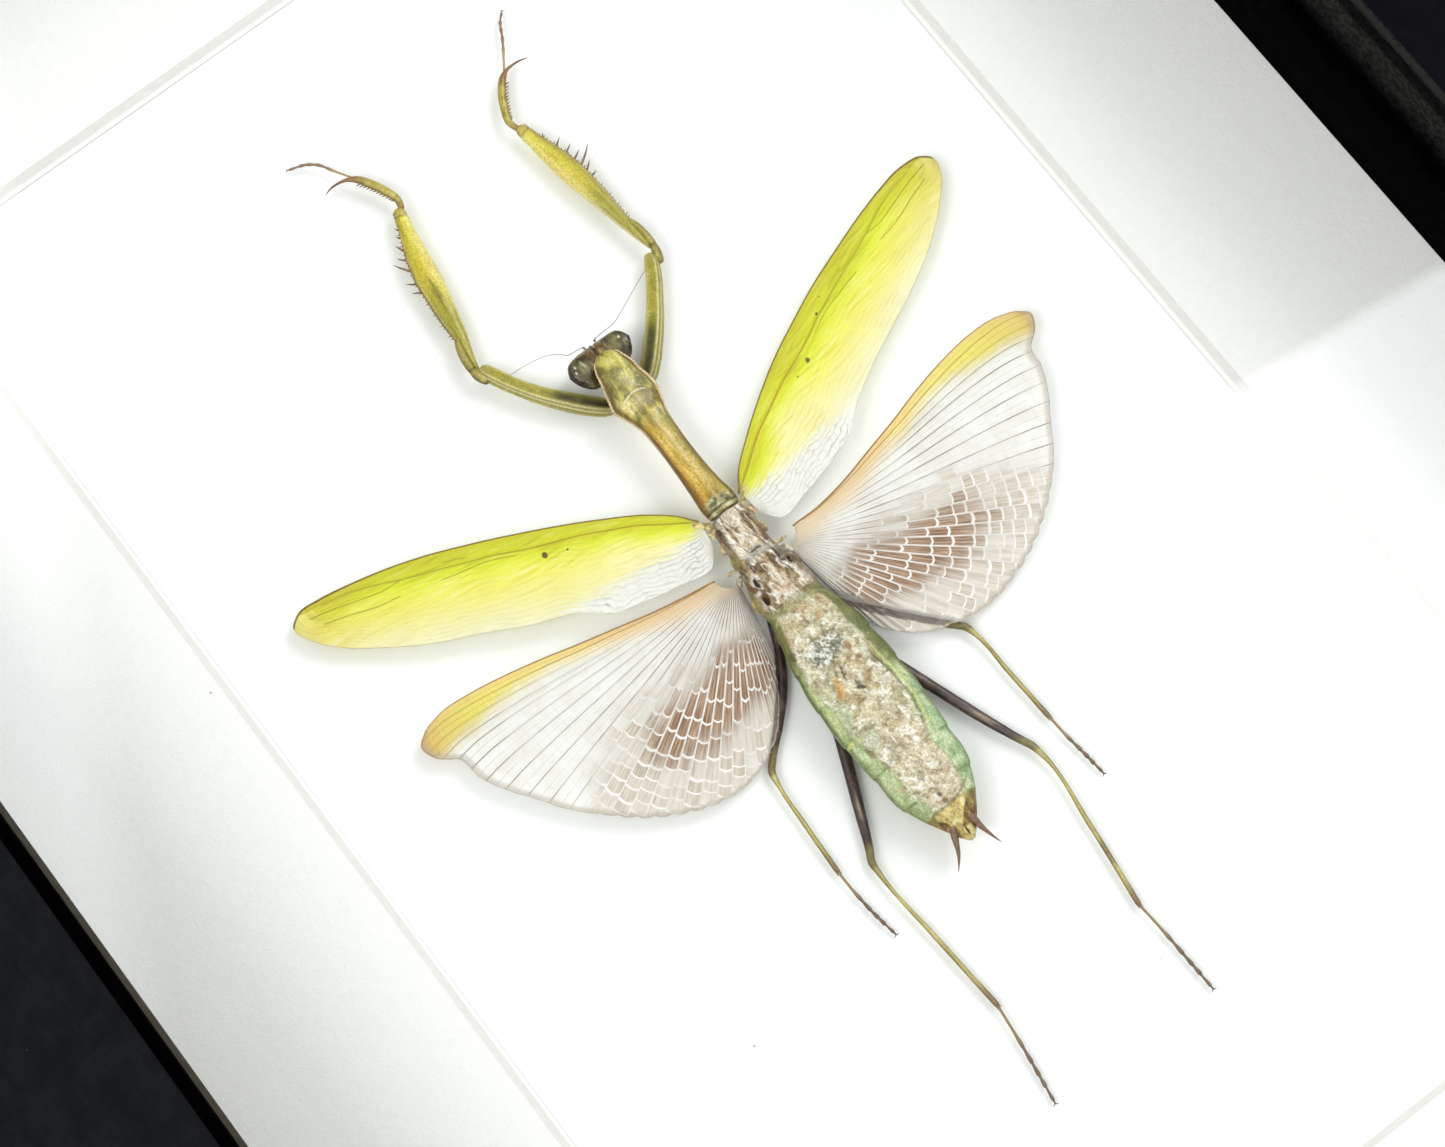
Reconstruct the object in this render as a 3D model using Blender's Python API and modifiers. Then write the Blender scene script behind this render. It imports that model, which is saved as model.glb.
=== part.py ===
# Framed praying mantis, lying on its back: +Z points out of the frame at the viewer,
# +Y from the mantis's abdomen to its head. The origin is under the middle of the frame,
# at the back face of the rails. The specimen is a female about 82 mm long with its wings
# spread, laid on white board behind a mat with a bevelled window.

import math

import bmesh
import bpy
from mathutils import Matrix, Vector

MM = 0.001

# Frame
SIGHT_WIDTH = 191.7 * MM        # between the inner faces of the side rails
SIGHT_HEIGHT = 271.3 * MM
RAIL_FACE = 25.0 * MM           # width of a rail's front face
RAIL_DEPTH = 50.0 * MM
LIP_DEPTH = 18.5 * MM           # part of the rail in front of the glass
RABBET_WIDTH = 6.0 * MM
EDGE_EASE = 0.8 * MM            # rounding of the rail's front edges
MITRE_GAP = 0.3 * MM

# Layers behind the lip
GAP = 0.3 * MM                  # kept between pieces that touch
SIDE_CLEARANCE = 0.5 * MM       # between a layer's edge and the rabbet
GLASS_THICKNESS = 2.0 * MM
MAT_DROP = 38.0 * MM            # from the rail's front face down to the mat
MAT_THICKNESS = 1.4 * MM
WINDOW_WIDTH = 129.8 * MM       # at the mat's front face
WINDOW_HEIGHT = 209.4 * MM
BOARD_THICKNESS = 5.0 * MM
PANEL_THICKNESS = 3.0 * MM

GLASS_TOP = RAIL_DEPTH - LIP_DEPTH - GAP
GLASS_BOTTOM = GLASS_TOP - GLASS_THICKNESS
MAT_TOP = RAIL_DEPTH - MAT_DROP
MAT_BOTTOM = MAT_TOP - MAT_THICKNESS
BOARD_TOP = MAT_BOTTOM - GAP
BOARD_BOTTOM = BOARD_TOP - BOARD_THICKNESS
PANEL_TOP = BOARD_BOTTOM - GAP
PANEL_BOTTOM = PANEL_TOP - PANEL_THICKNESS
LAYER_WIDTH = SIGHT_WIDTH + 2 * (RABBET_WIDTH - SIDE_CLEARANCE)
LAYER_HEIGHT = SIGHT_HEIGHT + 2 * (RABBET_WIDTH - SIDE_CLEARANCE)

# Mantis. Every table below is in millimetres: x and y from the middle of the window,
# h above the backing board.
FOREWING_THICKNESS = 0.35 * MM
HINDWING_THICKNESS = 0.25 * MM
ANTENNA_RADIUS = 0.13 * MM
BODY_SIDES = 16
PRONOTUM_SIDES = 14
HEAD_SIDES = 14
LIMB_SIDES = 8
SPINE_SIDES = 5
SEGMENT_NOTCH = 0.3             # how far the abdomen narrows behind each segment
SEGMENT_STEP = 0.5              # and over what length

# y, left x, right x, low h, high h
PRONOTUM = (
    (34.7, -0.5, 1.0, 6.1, 6.8),
    (34.1, -1.3, 1.9, 5.9, 7.1),
    (32.7, -2.1, 2.6, 5.8, 7.4),
    (31.4, -2.4, 3.0, 5.7, 7.5),
    (30.5, -2.6, 3.2, 4.4, 7.4),
    (28.9, -3.0, 3.6, 3.8, 7.3),
    (27.4, -3.3, 3.7, 3.7, 7.2),
    (25.8, -2.7, 3.3, 3.7, 7.0),
    (23.8, -2.0, 2.7, 3.7, 6.9),
    (20.5, -1.7, 2.3, 3.7, 6.8),
    (16.0, -1.8, 2.2, 3.7, 6.7),
    (12.0, -2.1, 2.4, 3.7, 6.7),
    (9.5, -2.3, 2.7, 3.8, 6.8),
    (8.1, -2.1, 2.5, 4.0, 6.6),
)
THORAX = (
    (7.7, -2.2, 2.5, 3.8, 6.3),
    (6.4, -2.7, 2.9, 3.1, 6.8),
    (3.6, -3.0, 2.8, 2.8, 6.9),
    (1.6, -3.1, 2.8, 2.7, 6.6),
    (-0.6, -3.5, 3.2, 2.7, 6.9),
    (-3.2, -4.2, 3.7, 2.7, 7.0),
    (-5.8, -4.4, 4.1, 2.7, 6.7),
    (-6.8, -4.2, 4.1, 2.7, 6.4),
)
# y where the segment ends, left x, right x, high h
ABDOMEN = (
    (-10.0, -5.0, 5.0, 7.2),
    (-15.0, -6.1, 5.7, 7.6),
    (-20.2, -6.7, 6.0, 7.7),
    (-26.0, -6.8, 5.9, 7.7),
    (-31.4, -6.4, 5.5, 7.5),
    (-37.0, -5.8, 4.8, 7.0),
    (-40.3, -4.2, 3.1, 6.4),
)
ABDOMEN_LOW = 2.7
ABDOMEN_END = (
    (-42.6, -2.9, 1.5, 3.0, 5.8),
    (-44.2, -1.9, 0.1, 3.4, 5.2),
    (-44.9, -1.3, -0.6, 3.9, 4.7),
)

# x, front y, rear y, low h, high h
HEAD = (
    (-4.8, 35.3, 34.6, 4.1, 4.9),
    (-4.5, 36.0, 33.9, 3.4, 5.3),
    (-3.9, 36.6, 33.0, 2.9, 5.5),
    (-3.0, 37.0, 32.2, 2.3, 5.5),
    (-2.0, 37.3, 31.9, 1.8, 5.4),
    (-0.9, 37.4, 32.0, 0.9, 5.3),
    (0.1, 37.4, 32.1, 0.6, 5.3),
    (1.1, 37.4, 32.1, 0.9, 5.3),
    (2.1, 37.3, 32.3, 1.8, 5.4),
    (3.1, 37.1, 32.7, 2.3, 5.5),
    (4.0, 36.7, 33.3, 2.9, 5.5),
    (4.6, 36.0, 34.1, 3.4, 5.3),
    (4.9, 35.4, 34.7, 4.1, 4.9),
)

# x, y, h along the middle of each antenna
ANTENNA_LEFT = ((-2.9, 37.5, 4.7), (-3.9, 38.8, 4.1), (-5.0, 39.8, 3.4), (-6.7, 40.6, 2.4),
                (-8.6, 41.2, 1.5), (-10.1, 41.5, 0.8), (-11.3, 41.8, 0.55))
ANTENNA_RIGHT = ((4.0, 37.4, 4.7), (6.1, 38.6, 3.8), (8.3, 39.9, 2.6), (10.5, 41.2, 1.5),
                 (12.4, 42.2, 0.8), (13.7, 42.9, 0.55))

# x, y, h, half width, half height along each limb
COXA_LEFT = ((-1.9, 28.7, 2.3, 0.8, 0.6), (-3.1, 29.7, 2.3, 1.25, 0.8), (-4.7, 31.2, 2.3, 1.35, 1.0),
             (-6.6, 33.4, 2.3, 1.35, 1.1), (-8.8, 36.2, 2.3, 1.2, 1.1), (-10.7, 39.2, 2.3, 1.1, 1.0),
             (-12.1, 42.0, 2.3, 1.1, 1.0), (-12.7, 43.5, 2.3, 0.85, 0.8), (-12.9, 44.1, 2.3, 0.3, 0.4))
COXA_RIGHT = ((2.6, 28.9, 2.3, 0.8, 0.6), (3.8, 29.8, 2.3, 1.25, 0.8), (5.2, 31.0, 2.3, 1.35, 1.0),
              (7.0, 32.9, 2.3, 1.35, 1.1), (8.9, 35.0, 2.3, 1.25, 1.1), (10.8, 37.5, 2.3, 1.15, 1.0),
              (12.6, 40.1, 2.3, 1.1, 1.0), (13.8, 42.1, 2.3, 1.0, 0.9), (14.2, 43.5, 2.3, 0.3, 0.4))
TROCHANTER_LEFT = ((-13.2, 41.8, 2.2, 0.35, 0.4), (-13.7, 43.2, 2.2, 0.6, 0.7), (-13.9, 44.8, 2.2, 0.55, 0.7),
                   (-13.7, 46.7, 2.2, 0.55, 0.7), (-13.1, 48.6, 2.2, 0.5, 0.6), (-12.6, 49.8, 2.2, 0.2, 0.3))
TROCHANTER_RIGHT = ((14.7, 41.2, 2.2, 0.35, 0.4), (15.1, 42.6, 2.2, 0.55, 0.7), (15.4, 44.2, 2.2, 0.5, 0.7),
                    (15.4, 46.0, 2.2, 0.5, 0.7), (15.1, 47.8, 2.2, 0.5, 0.6), (14.7, 49.2, 2.2, 0.2, 0.3))
FEMUR_LEFT = ((-12.8, 45.0, 2.2, 0.3, 0.4), (-12.6, 46.6, 2.2, 0.75, 0.7), (-12.2, 49.0, 2.2, 1.2, 0.9),
              (-11.8, 52.5, 2.2, 1.65, 1.1), (-11.3, 56.0, 2.2, 1.9, 1.15), (-10.8, 59.5, 2.2, 1.95, 1.1),
              (-10.1, 62.8, 2.1, 1.6, 1.0), (-9.2, 66.0, 2.1, 1.15, 0.85), (-8.6, 68.2, 2.1, 0.95, 0.8),
              (-8.4, 69.1, 2.1, 0.5, 0.5))
FEMUR_RIGHT = ((14.8, 44.5, 2.2, 0.3, 0.4), (14.5, 46.2, 2.2, 0.75, 0.7), (14.1, 48.8, 2.2, 1.15, 0.9),
               (13.8, 52.3, 2.2, 1.5, 1.1), (13.4, 56.0, 2.2, 1.8, 1.15), (12.95, 59.5, 2.2, 1.9, 1.1),
               (12.4, 62.6, 2.1, 1.6, 1.0), (11.8, 65.6, 2.1, 1.2, 0.85), (11.4, 67.6, 2.1, 0.95, 0.8),
               (11.3, 68.6, 2.1, 0.5, 0.5))
TIBIA_LEFT = ((-8.0, 68.6, 2.1, 0.35, 0.35), (-7.6, 70.1, 2.1, 0.6, 0.55), (-8.2, 72.3, 2.0, 0.75, 0.6),
              (-9.2, 74.4, 2.0, 0.72, 0.6), (-10.3, 76.0, 2.0, 0.6, 0.55), (-11.3, 76.7, 2.0, 0.35, 0.35),
              (-12.7, 77.05, 2.0, 0.22, 0.22), (-13.9, 77.0, 2.0, 0.15, 0.16), (-14.8, 76.7, 2.0, 0.05, 0.06))
TIBIA_RIGHT = ((11.1, 68.3, 2.1, 0.35, 0.35), (10.7, 69.9, 2.1, 0.55, 0.55), (11.4, 72.0, 2.0, 0.7, 0.6),
               (12.6, 74.2, 2.0, 0.7, 0.6), (13.9, 75.7, 2.0, 0.55, 0.5), (14.8, 76.25, 2.0, 0.33, 0.35),
               (16.0, 76.4, 2.0, 0.22, 0.22), (17.2, 76.3, 2.0, 0.15, 0.16), (18.2, 76.0, 2.0, 0.05, 0.06))
# base x, base y, tip x, tip y of each femoral spine
SPINES_LEFT = ((-12.2, 57.4, -13.9, 58.2), (-12.0, 58.5, -13.8, 59.8), (-11.8, 60.4, -13.5, 63.0),
               (-11.3, 62.0, -12.6, 63.4), (-10.9, 63.2, -11.7, 65.0), (-10.0, 65.0, -10.9, 66.0),
               (-9.6, 66.0, -10.4, 67.0))
SPINES_RIGHT = ((14.2, 56.8, 15.8, 57.2), (14.2, 57.6, 16.0, 59.0), (14.2, 58.8, 17.2, 61.0),
                (13.8, 60.0, 15.7, 61.0), (13.4, 61.4, 15.3, 62.4), (12.9, 63.0, 14.7, 64.0),
                (12.3, 64.8, 13.3, 65.9))
SPINE_RADIUS = 0.2
SPINE_TAPER = 0.15              # tip radius as a share of the base radius
TOOTH_COUNT = 7                 # short teeth along the inner edge of each front tibia
TOOTH_LENGTH = 0.55
TOOTH_LEAN = 0.28               # how far a tooth's tip leans towards the claw
TOOTH_RADIUS = 0.14

MID_LEG_LEFT = ((-2.4, -3.6, 1.6, 0.6, 0.5), (-3.9, -7.4, 1.4, 0.55, 0.5), (-5.1, -10.2, 1.3, 0.65, 0.55),
                (-7.3, -13.6, 1.25, 0.75, 0.6), (-11.2, -17.9, 1.2, 0.62, 0.5), (-14.4, -20.9, 1.2, 0.5, 0.45),
                (-15.4, -22.1, 1.15, 0.48, 0.45), (-15.7, -23.6, 1.1, 0.36, 0.35), (-16.2, -30.0, 1.0, 0.33, 0.32),
                (-16.6, -37.5, 0.9, 0.35, 0.32))
MID_LEG_RIGHT = ((2.4, -3.6, 1.6, 0.6, 0.5), (3.9, -7.4, 1.4, 0.55, 0.5), (5.3, -10.1, 1.3, 0.65, 0.55),
                 (7.9, -13.4, 1.25, 0.75, 0.6), (11.4, -17.4, 1.2, 0.65, 0.5), (14.6, -20.8, 1.2, 0.5, 0.45),
                 (15.9, -22.2, 1.15, 0.48, 0.45), (16.3, -23.7, 1.1, 0.36, 0.35), (16.6, -30.0, 1.0, 0.33, 0.32),
                 (17.0, -38.0, 0.9, 0.35, 0.32))
HIND_LEG_LEFT = ((-1.3, -7.6, 1.6, 0.6, 0.5), (-2.1, -12.0, 1.4, 0.6, 0.5), (-4.1, -19.5, 1.3, 0.8, 0.6),
                 (-7.1, -27.0, 1.3, 0.8, 0.6), (-9.8, -33.2, 1.2, 0.72, 0.55), (-11.8, -37.7, 1.2, 0.55, 0.5),
                 (-12.5, -39.1, 1.15, 0.5, 0.48), (-12.6, -40.6, 1.1, 0.38, 0.36), (-12.0, -51.0, 1.0, 0.34, 0.32),
                 (-11.15, -63.0, 0.9, 0.36, 0.32))
HIND_LEG_RIGHT = ((1.3, -7.6, 1.6, 0.6, 0.5), (2.6, -12.0, 1.4, 0.6, 0.5), (5.2, -19.0, 1.3, 0.8, 0.6),
                  (7.9, -26.6, 1.3, 0.75, 0.6), (10.2, -33.0, 1.2, 0.7, 0.55), (12.1, -37.8, 1.2, 0.55, 0.5),
                  (12.9, -39.6, 1.15, 0.5, 0.48), (13.2, -41.2, 1.1, 0.38, 0.36), (12.3, -52.0, 1.0, 0.34, 0.32),
                  (10.8, -63.8, 0.9, 0.36, 0.32))
# x, y, h along the middle of each foot, from its leg's end to the claw
TARSUS_FORE_LEFT = ((-10.3, 76.2, 1.9), (-11.9, 79.0, 1.6), (-13.1, 81.2, 1.3), (-14.2, 82.2, 1.1),
                    (-16.8, 83.3, 0.8))
TARSUS_FORE_RIGHT = ((14.3, 76.0, 1.9), (15.7, 78.1, 1.6), (17.3, 80.6, 1.3), (18.6, 82.9, 1.1), (19.8, 84.2, 0.8))
TARSUS_MID_LEFT = ((-16.6, -37.3, 0.9), (-16.5, -41.0, 0.8), (-16.2, -44.5, 0.7), (-15.6, -48.3, 0.6))
TARSUS_MID_RIGHT = ((17.0, -37.8, 0.9), (17.2, -41.0, 0.8), (17.6, -44.5, 0.7), (18.0, -48.0, 0.6))
TARSUS_HIND_LEFT = ((-11.15, -62.8, 0.9), (-11.7, -67.5, 0.8), (-12.4, -72.5, 0.7), (-13.1, -77.0, 0.6))
TARSUS_HIND_RIGHT = ((10.8, -63.6, 0.9), (11.1, -68.0, 0.8), (11.3, -73.0, 0.7), (11.5, -77.8, 0.6))
TARSUS_JOINTS = 5
TARSUS_NARROW = 0.2             # half width near the start of each joint of the foot
TARSUS_WIDE = 0.3               # and near its end
TARSUS_NARROW_AT = 0.08         # shares of the joint's length
TARSUS_WIDE_AT = 0.85

CERCUS_LEFT = ((-2.1, -40.2, 4.2, 0.3, 0.3), (-2.3, -42.8, 4.2, 0.38, 0.35), (-3.4, -44.8, 3.9, 0.3, 0.3),
               (-4.9, -47.0, 3.4, 0.08, 0.08))
CERCUS_RIGHT = ((0.5, -40.2, 4.2, 0.3, 0.3), (0.8, -42.8, 4.2, 0.38, 0.35), (1.2, -45.0, 3.9, 0.3, 0.3),
                (1.8, -47.3, 3.4, 0.08, 0.08))

# Pairs of x, y on the leading and the trailing edge of each forewing, from base to tip
FOREWING_LEFT = (
    ((-3.3, 9.1), (-3.7, 5.5)), ((-4.7, 11.1), (-5.6, 3.3)), ((-8.0, 14.1), (-10.0, 3.9)),
    ((-13.0, 17.3), (-15.5, 5.2)), ((-18.5, 20.4), (-19.5, 6.5)), ((-23.0, 22.7), (-22.3, 9.0)),
    ((-28.0, 25.1), (-28.0, 11.5)), ((-33.5, 27.5), (-34.0, 14.7)), ((-39.0, 29.4), (-40.0, 17.7)),
    ((-44.0, 30.7), (-45.0, 21.0)), ((-48.0, 31.5), (-49.4, 24.5)), ((-51.3, 31.6), (-51.9, 27.6)),
    ((-52.9, 30.3), (-52.9, 30.3)))
FOREWING_RIGHT = (
    ((3.2, 9.0), (3.6, 5.5)), ((4.8, 11.3), (5.6, 3.2)), ((8.5, 14.5), (10.0, 3.9)),
    ((13.0, 17.8), (15.5, 5.4)), ((18.0, 21.0), (19.5, 6.9)), ((23.0, 23.6), (22.3, 9.2)),
    ((28.0, 26.0), (28.0, 12.7)), ((33.6, 28.2), (34.1, 15.7)), ((39.1, 30.2), (40.1, 18.8)),
    ((43.7, 31.6), (45.2, 22.1)), ((47.8, 32.4), (49.3, 25.7)), ((50.8, 32.1), (51.7, 28.6)),
    ((52.2, 30.8), (52.2, 30.8)))
FOREWING_BASE_H = 4.9
FOREWING_TIP_H = 2.0
FOREWING_ARCH = 0.7             # rise of the middle of the chord
FOREWING_ROWS = 4

# Hinge x, y, then the margin of each hindwing from the leading edge's root round to the inner edge
HINDWING_LEFT = (
    (-3.9, 0.9), (-5.6, 1.5), (-10.0, 2.3), (-15.0, 3.3), (-20.0, 4.6), (-25.0, 5.9), (-30.0, 7.3),
    (-35.0, 8.5), (-40.0, 9.4), (-44.0, 9.7), (-47.2, 9.1), (-49.0, 7.5), (-48.4, 5.4), (-45.8, 3.0),
    (-45.5, 0.3), (-43.8, -3.3), (-41.5, -6.6), (-38.8, -10.5), (-35.5, -14.0), (-32.1, -17.1),
    (-28.2, -19.5), (-23.9, -21.3), (-19.7, -21.8), (-16.1, -21.1), (-12.6, -19.3), (-9.8, -16.4),
    (-7.7, -13.2), (-6.1, -10.2), (-5.2, -6.8), (-4.8, -3.0))
HINDWING_RIGHT = (
    (3.6, 0.7), (5.4, 1.3), (10.0, 1.5), (15.0, 2.3), (20.0, 3.6), (25.0, 4.9), (30.1, 6.4),
    (35.2, 7.6), (40.3, 8.3), (44.1, 8.2), (47.2, 7.3), (48.7, 5.8), (48.0, 4.1), (45.6, 1.8),
    (45.3, -0.6), (43.7, -4.2), (41.3, -7.7), (39.1, -11.1), (36.1, -14.3), (32.5, -17.2),
    (28.6, -19.5), (24.2, -21.1), (19.8, -21.9), (15.7, -21.4), (11.8, -20.2), (8.7, -17.9),
    (6.7, -15.0), (5.7, -11.8), (5.1, -7.6), (4.6, -3.2))
HINDWING_ROOT_H = 4.4
HINDWING_MARGIN_H = 2.4
HINDWING_ROWS = 4


def empty_scene():
    for old in list(bpy.data.objects):
        bpy.data.objects.remove(old, do_unlink=True)


def new_collection(name):
    collection = bpy.data.collections.new(name)
    bpy.context.scene.collection.children.link(collection)
    return collection


def new_material(name, colour, roughness, transmission=0.0):
    material = bpy.data.materials.new(name)
    material.use_nodes = True
    shader = material.node_tree.nodes["Principled BSDF"]
    shader.inputs["Base Color"].default_value = (*colour, 1.0)
    shader.inputs["Roughness"].default_value = roughness
    shader.inputs["Transmission Weight"].default_value = transmission
    return material


def add_object(name, data, collection, material=None):
    item = bpy.data.objects.new(name, data)
    collection.objects.link(item)
    if material:
        data.materials.append(material)
    return item


def add_bmesh(name, bm, collection, material=None, smooth=False):
    mesh = bpy.data.meshes.new(name)
    bmesh.ops.recalc_face_normals(bm, faces=bm.faces)
    bm.to_mesh(mesh)
    bm.free()
    if smooth:
        mesh.shade_smooth()
    return add_object(name, mesh, collection, material)


def on_board(x, y, h):
    """A point of the mantis from millimetres and height above the board."""
    return Vector((x * MM, y * MM, BOARD_TOP + h * MM))


def box(name, width, height, low, high, centre, collection, material=None):
    bm = bmesh.new()
    bmesh.ops.create_cube(bm, size=1.0)
    bmesh.ops.scale(bm, vec=(width, height, high - low), verts=bm.verts)
    item = add_bmesh(name, bm, collection, material)
    item.location = (centre[0], centre[1], (low + high) / 2)
    return item


def rail_profile():
    """Rail section as (distance out from the sight edge, height): a lip over a rabbet."""
    lip_low = RAIL_DEPTH - LIP_DEPTH
    slant = EDGE_EASE * (1 - math.cos(math.pi / 4))
    return (
        (RABBET_WIDTH, 0.0),
        (RAIL_FACE, 0.0),
        (RAIL_FACE, RAIL_DEPTH - EDGE_EASE),
        (RAIL_FACE - slant, RAIL_DEPTH - slant),
        (RAIL_FACE - EDGE_EASE, RAIL_DEPTH),
        (EDGE_EASE, RAIL_DEPTH),
        (slant, RAIL_DEPTH - slant),
        (0.0, RAIL_DEPTH - EDGE_EASE),
        (0.0, lip_low),
        (RABBET_WIDTH, lip_low),
    )


def rail(name, sight_length, sight_offset, turn, collection, material):
    """Extrude the section along X and slide each end's points along their mitre."""
    bm = bmesh.new()
    half = sight_length / 2 - MITRE_GAP / math.sqrt(2)
    profile = rail_profile()
    near = [bm.verts.new((-half - out, out, z)) for out, z in profile]
    bm.faces.new(near)
    moved = bmesh.ops.extrude_face_region(bm, geom=bm.faces[:])["geom"]
    for vert in (piece for piece in moved if isinstance(piece, bmesh.types.BMVert)):
        vert.co.x = -vert.co.x
    item = add_bmesh(name, bm, collection, material)
    item.matrix_world = Matrix.Rotation(turn, 4, "Z") @ Matrix.Translation((0, sight_offset, 0))
    return item


def frame_rails(collection):
    black = new_material("black_moulding", (0.012, 0.012, 0.014), 0.55)
    half_width = SIGHT_WIDTH / 2
    half_height = SIGHT_HEIGHT / 2
    rail("frame_rail_top", SIGHT_WIDTH, half_height, 0.0, collection, black)
    rail("frame_rail_bottom", SIGHT_WIDTH, half_height, math.pi, collection, black)
    rail("frame_rail_left", SIGHT_HEIGHT, half_width, math.pi / 2, collection, black)
    rail("frame_rail_right", SIGHT_HEIGHT, half_width, -math.pi / 2, collection, black)


def layers(collection, cutters):
    """Glass, spacers, mat, backing board and back panel, from the front to the back."""
    clear = new_material("picture_glass", (1.0, 1.0, 1.0), 0.0, 1.0)
    black = new_material("black_spacer", (0.01, 0.01, 0.01), 0.6)
    white = new_material("white_mat_board", (0.9, 0.9, 0.88), 0.9)
    paper = new_material("white_backing_board", (0.92, 0.92, 0.91), 0.85)
    brown = new_material("brown_hardboard", (0.18, 0.11, 0.06), 0.8)

    box("glass_pane", LAYER_WIDTH, LAYER_HEIGHT, GLASS_BOTTOM, GLASS_TOP, (0, 0), collection, clear)
    box("backing_board", LAYER_WIDTH, LAYER_HEIGHT, BOARD_BOTTOM, BOARD_TOP, (0, 0), collection, paper)
    box("back_panel", LAYER_WIDTH, LAYER_HEIGHT, PANEL_BOTTOM, PANEL_TOP, (0, 0), collection, brown)

    low = MAT_TOP + GAP
    high = GLASS_BOTTOM - GAP
    thickness = (LAYER_WIDTH - SIGHT_WIDTH) / 2
    side_length = SIGHT_HEIGHT - 2 * GAP
    for name, side in (("spacer_top", 1), ("spacer_bottom", -1)):
        y = side * (SIGHT_HEIGHT + thickness) / 2
        box(name, LAYER_WIDTH, thickness, low, high, (0, y), collection, black)
    for name, side in (("spacer_left", -1), ("spacer_right", 1)):
        x = side * (SIGHT_WIDTH + thickness) / 2
        box(name, thickness, side_length, low, high, (x, 0), collection, black)

    mat = box("mat", LAYER_WIDTH, LAYER_HEIGHT, MAT_BOTTOM, MAT_TOP, (0, 0), collection, white)
    window = window_cutter(cutters)
    cut = mat.modifiers.new("window", "BOOLEAN")
    cut.operation = "DIFFERENCE"
    cut.object = window


def window_cutter(cutters):
    """A block whose sides lean at 45 degrees, so that the mat's window gets its bevel."""
    margin = 1.0 * MM
    bm = bmesh.new()
    bmesh.ops.create_cube(bm, size=1.0)
    for vert in bm.verts:
        above = margin if vert.co.z > 0 else -MAT_THICKNESS - margin
        vert.co.x = math.copysign(WINDOW_WIDTH / 2 + above, vert.co.x)
        vert.co.y = math.copysign(WINDOW_HEIGHT / 2 + above, vert.co.y)
        vert.co.z = MAT_TOP + above
    return as_tool(add_bmesh("window_cutter", bm, cutters))


def as_tool(item):
    item.hide_render = True
    item.display_type = "WIRE"
    return item


def skin(rings):
    """Close a skin over rings with the same number of points, with a flat face at both ends."""
    bm = bmesh.new()
    loops = [[bm.verts.new(point) for point in ring] for ring in rings]
    count = len(loops[0])
    for lower, upper in zip(loops, loops[1:]):
        for i in range(count):
            j = (i + 1) % count
            bm.faces.new((lower[i], lower[j], upper[j], upper[i]))
    bm.faces.new(loops[0])
    bm.faces.new(loops[-1])
    return bm


def oval(sides):
    """Cosine and sine round an oval, starting half a step off its widest point."""
    turn = 2 * math.pi / sides
    return [(math.cos((i + 0.5) * turn), math.sin((i + 0.5) * turn)) for i in range(sides)]


def trunk_rings(stations, sides):
    """Upright ovals across Y, from stations of y, left x, right x, low h and high h."""
    rings = []
    for y, left, right, low, high in stations:
        middle_x = (left + right) / 2
        middle_h = (low + high) / 2
        rings.append([on_board(middle_x + c * (right - left) / 2, y, middle_h + s * (high - low) / 2)
                      for c, s in oval(sides)])
    return rings


def head_rings():
    """Upright ovals across X, from one eye to the other."""
    rings = []
    for x, front, rear, low, high in HEAD:
        middle_y = (front + rear) / 2
        middle_h = (low + high) / 2
        rings.append([on_board(x, middle_y + c * (front - rear) / 2, middle_h + s * (high - low) / 2)
                      for c, s in oval(HEAD_SIDES)])
    return rings


def limb_rings(stations, sides=LIMB_SIDES):
    """Ovals square to a limb's path, from stations of x, y, h, half width and half height."""
    points = [Vector(station[:3]) for station in stations]
    rings = []
    for i, (x, y, h, half_width, half_height) in enumerate(stations):
        ahead = points[min(i + 1, len(points) - 1)] - points[max(i - 1, 0)]
        across = Vector((ahead.y, -ahead.x, 0)).normalized() * half_width
        rings.append([on_board(x + c * across.x, y + c * across.y, h + s * half_height)
                      for c, s in oval(sides)])
    return rings


def tarsus_stations(path):
    """Five joints of a foot, each widening towards its end, along a path of points."""
    points = [Vector(point) for point in path]
    lengths = [(b - a).length for a, b in zip(points, points[1:])]
    total = sum(lengths)
    stations = []
    for joint in range(TARSUS_JOINTS):
        for part, half in ((TARSUS_NARROW_AT, TARSUS_NARROW), (TARSUS_WIDE_AT, TARSUS_WIDE)):
            point = along(points, lengths, total * (joint + part) / TARSUS_JOINTS)
            stations.append((*point, half, half))
    stations.append((*points[-1], TARSUS_NARROW / 2, TARSUS_NARROW / 2))
    return stations


def along(points, lengths, distance):
    for start, end, length in zip(points, points[1:], lengths):
        if distance <= length:
            return start.lerp(end, distance / length)
        distance -= length
    return points[-1]


def spike(base, tip, radius):
    """A slender cone from one point to another."""
    axis = tip - base
    bm = bmesh.new()
    bmesh.ops.create_cone(bm, cap_ends=True, segments=SPINE_SIDES, radius1=radius,
                          radius2=radius * SPINE_TAPER, depth=axis.length)
    turn = axis.to_track_quat("Z", "Y").to_matrix().to_4x4()
    bm.transform(Matrix.Translation((base + tip) / 2) @ turn)
    return bm


def fused(name, first, others, collection, cutters, material):
    """One object from a first mesh and the meshes that grow from it, by a Boolean union."""
    item = add_bmesh(name, first, collection, material)
    group = bpy.data.collections.new(name + "_grown_parts")
    cutters.children.link(group)
    for number, bm in enumerate(others):
        as_tool(add_bmesh(f"{name}_grown_part_{number}", bm, group))
    join = item.modifiers.new("grown_together", "BOOLEAN")
    join.operation = "UNION"
    join.operand_type = "COLLECTION"
    join.collection = group
    return item


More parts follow.
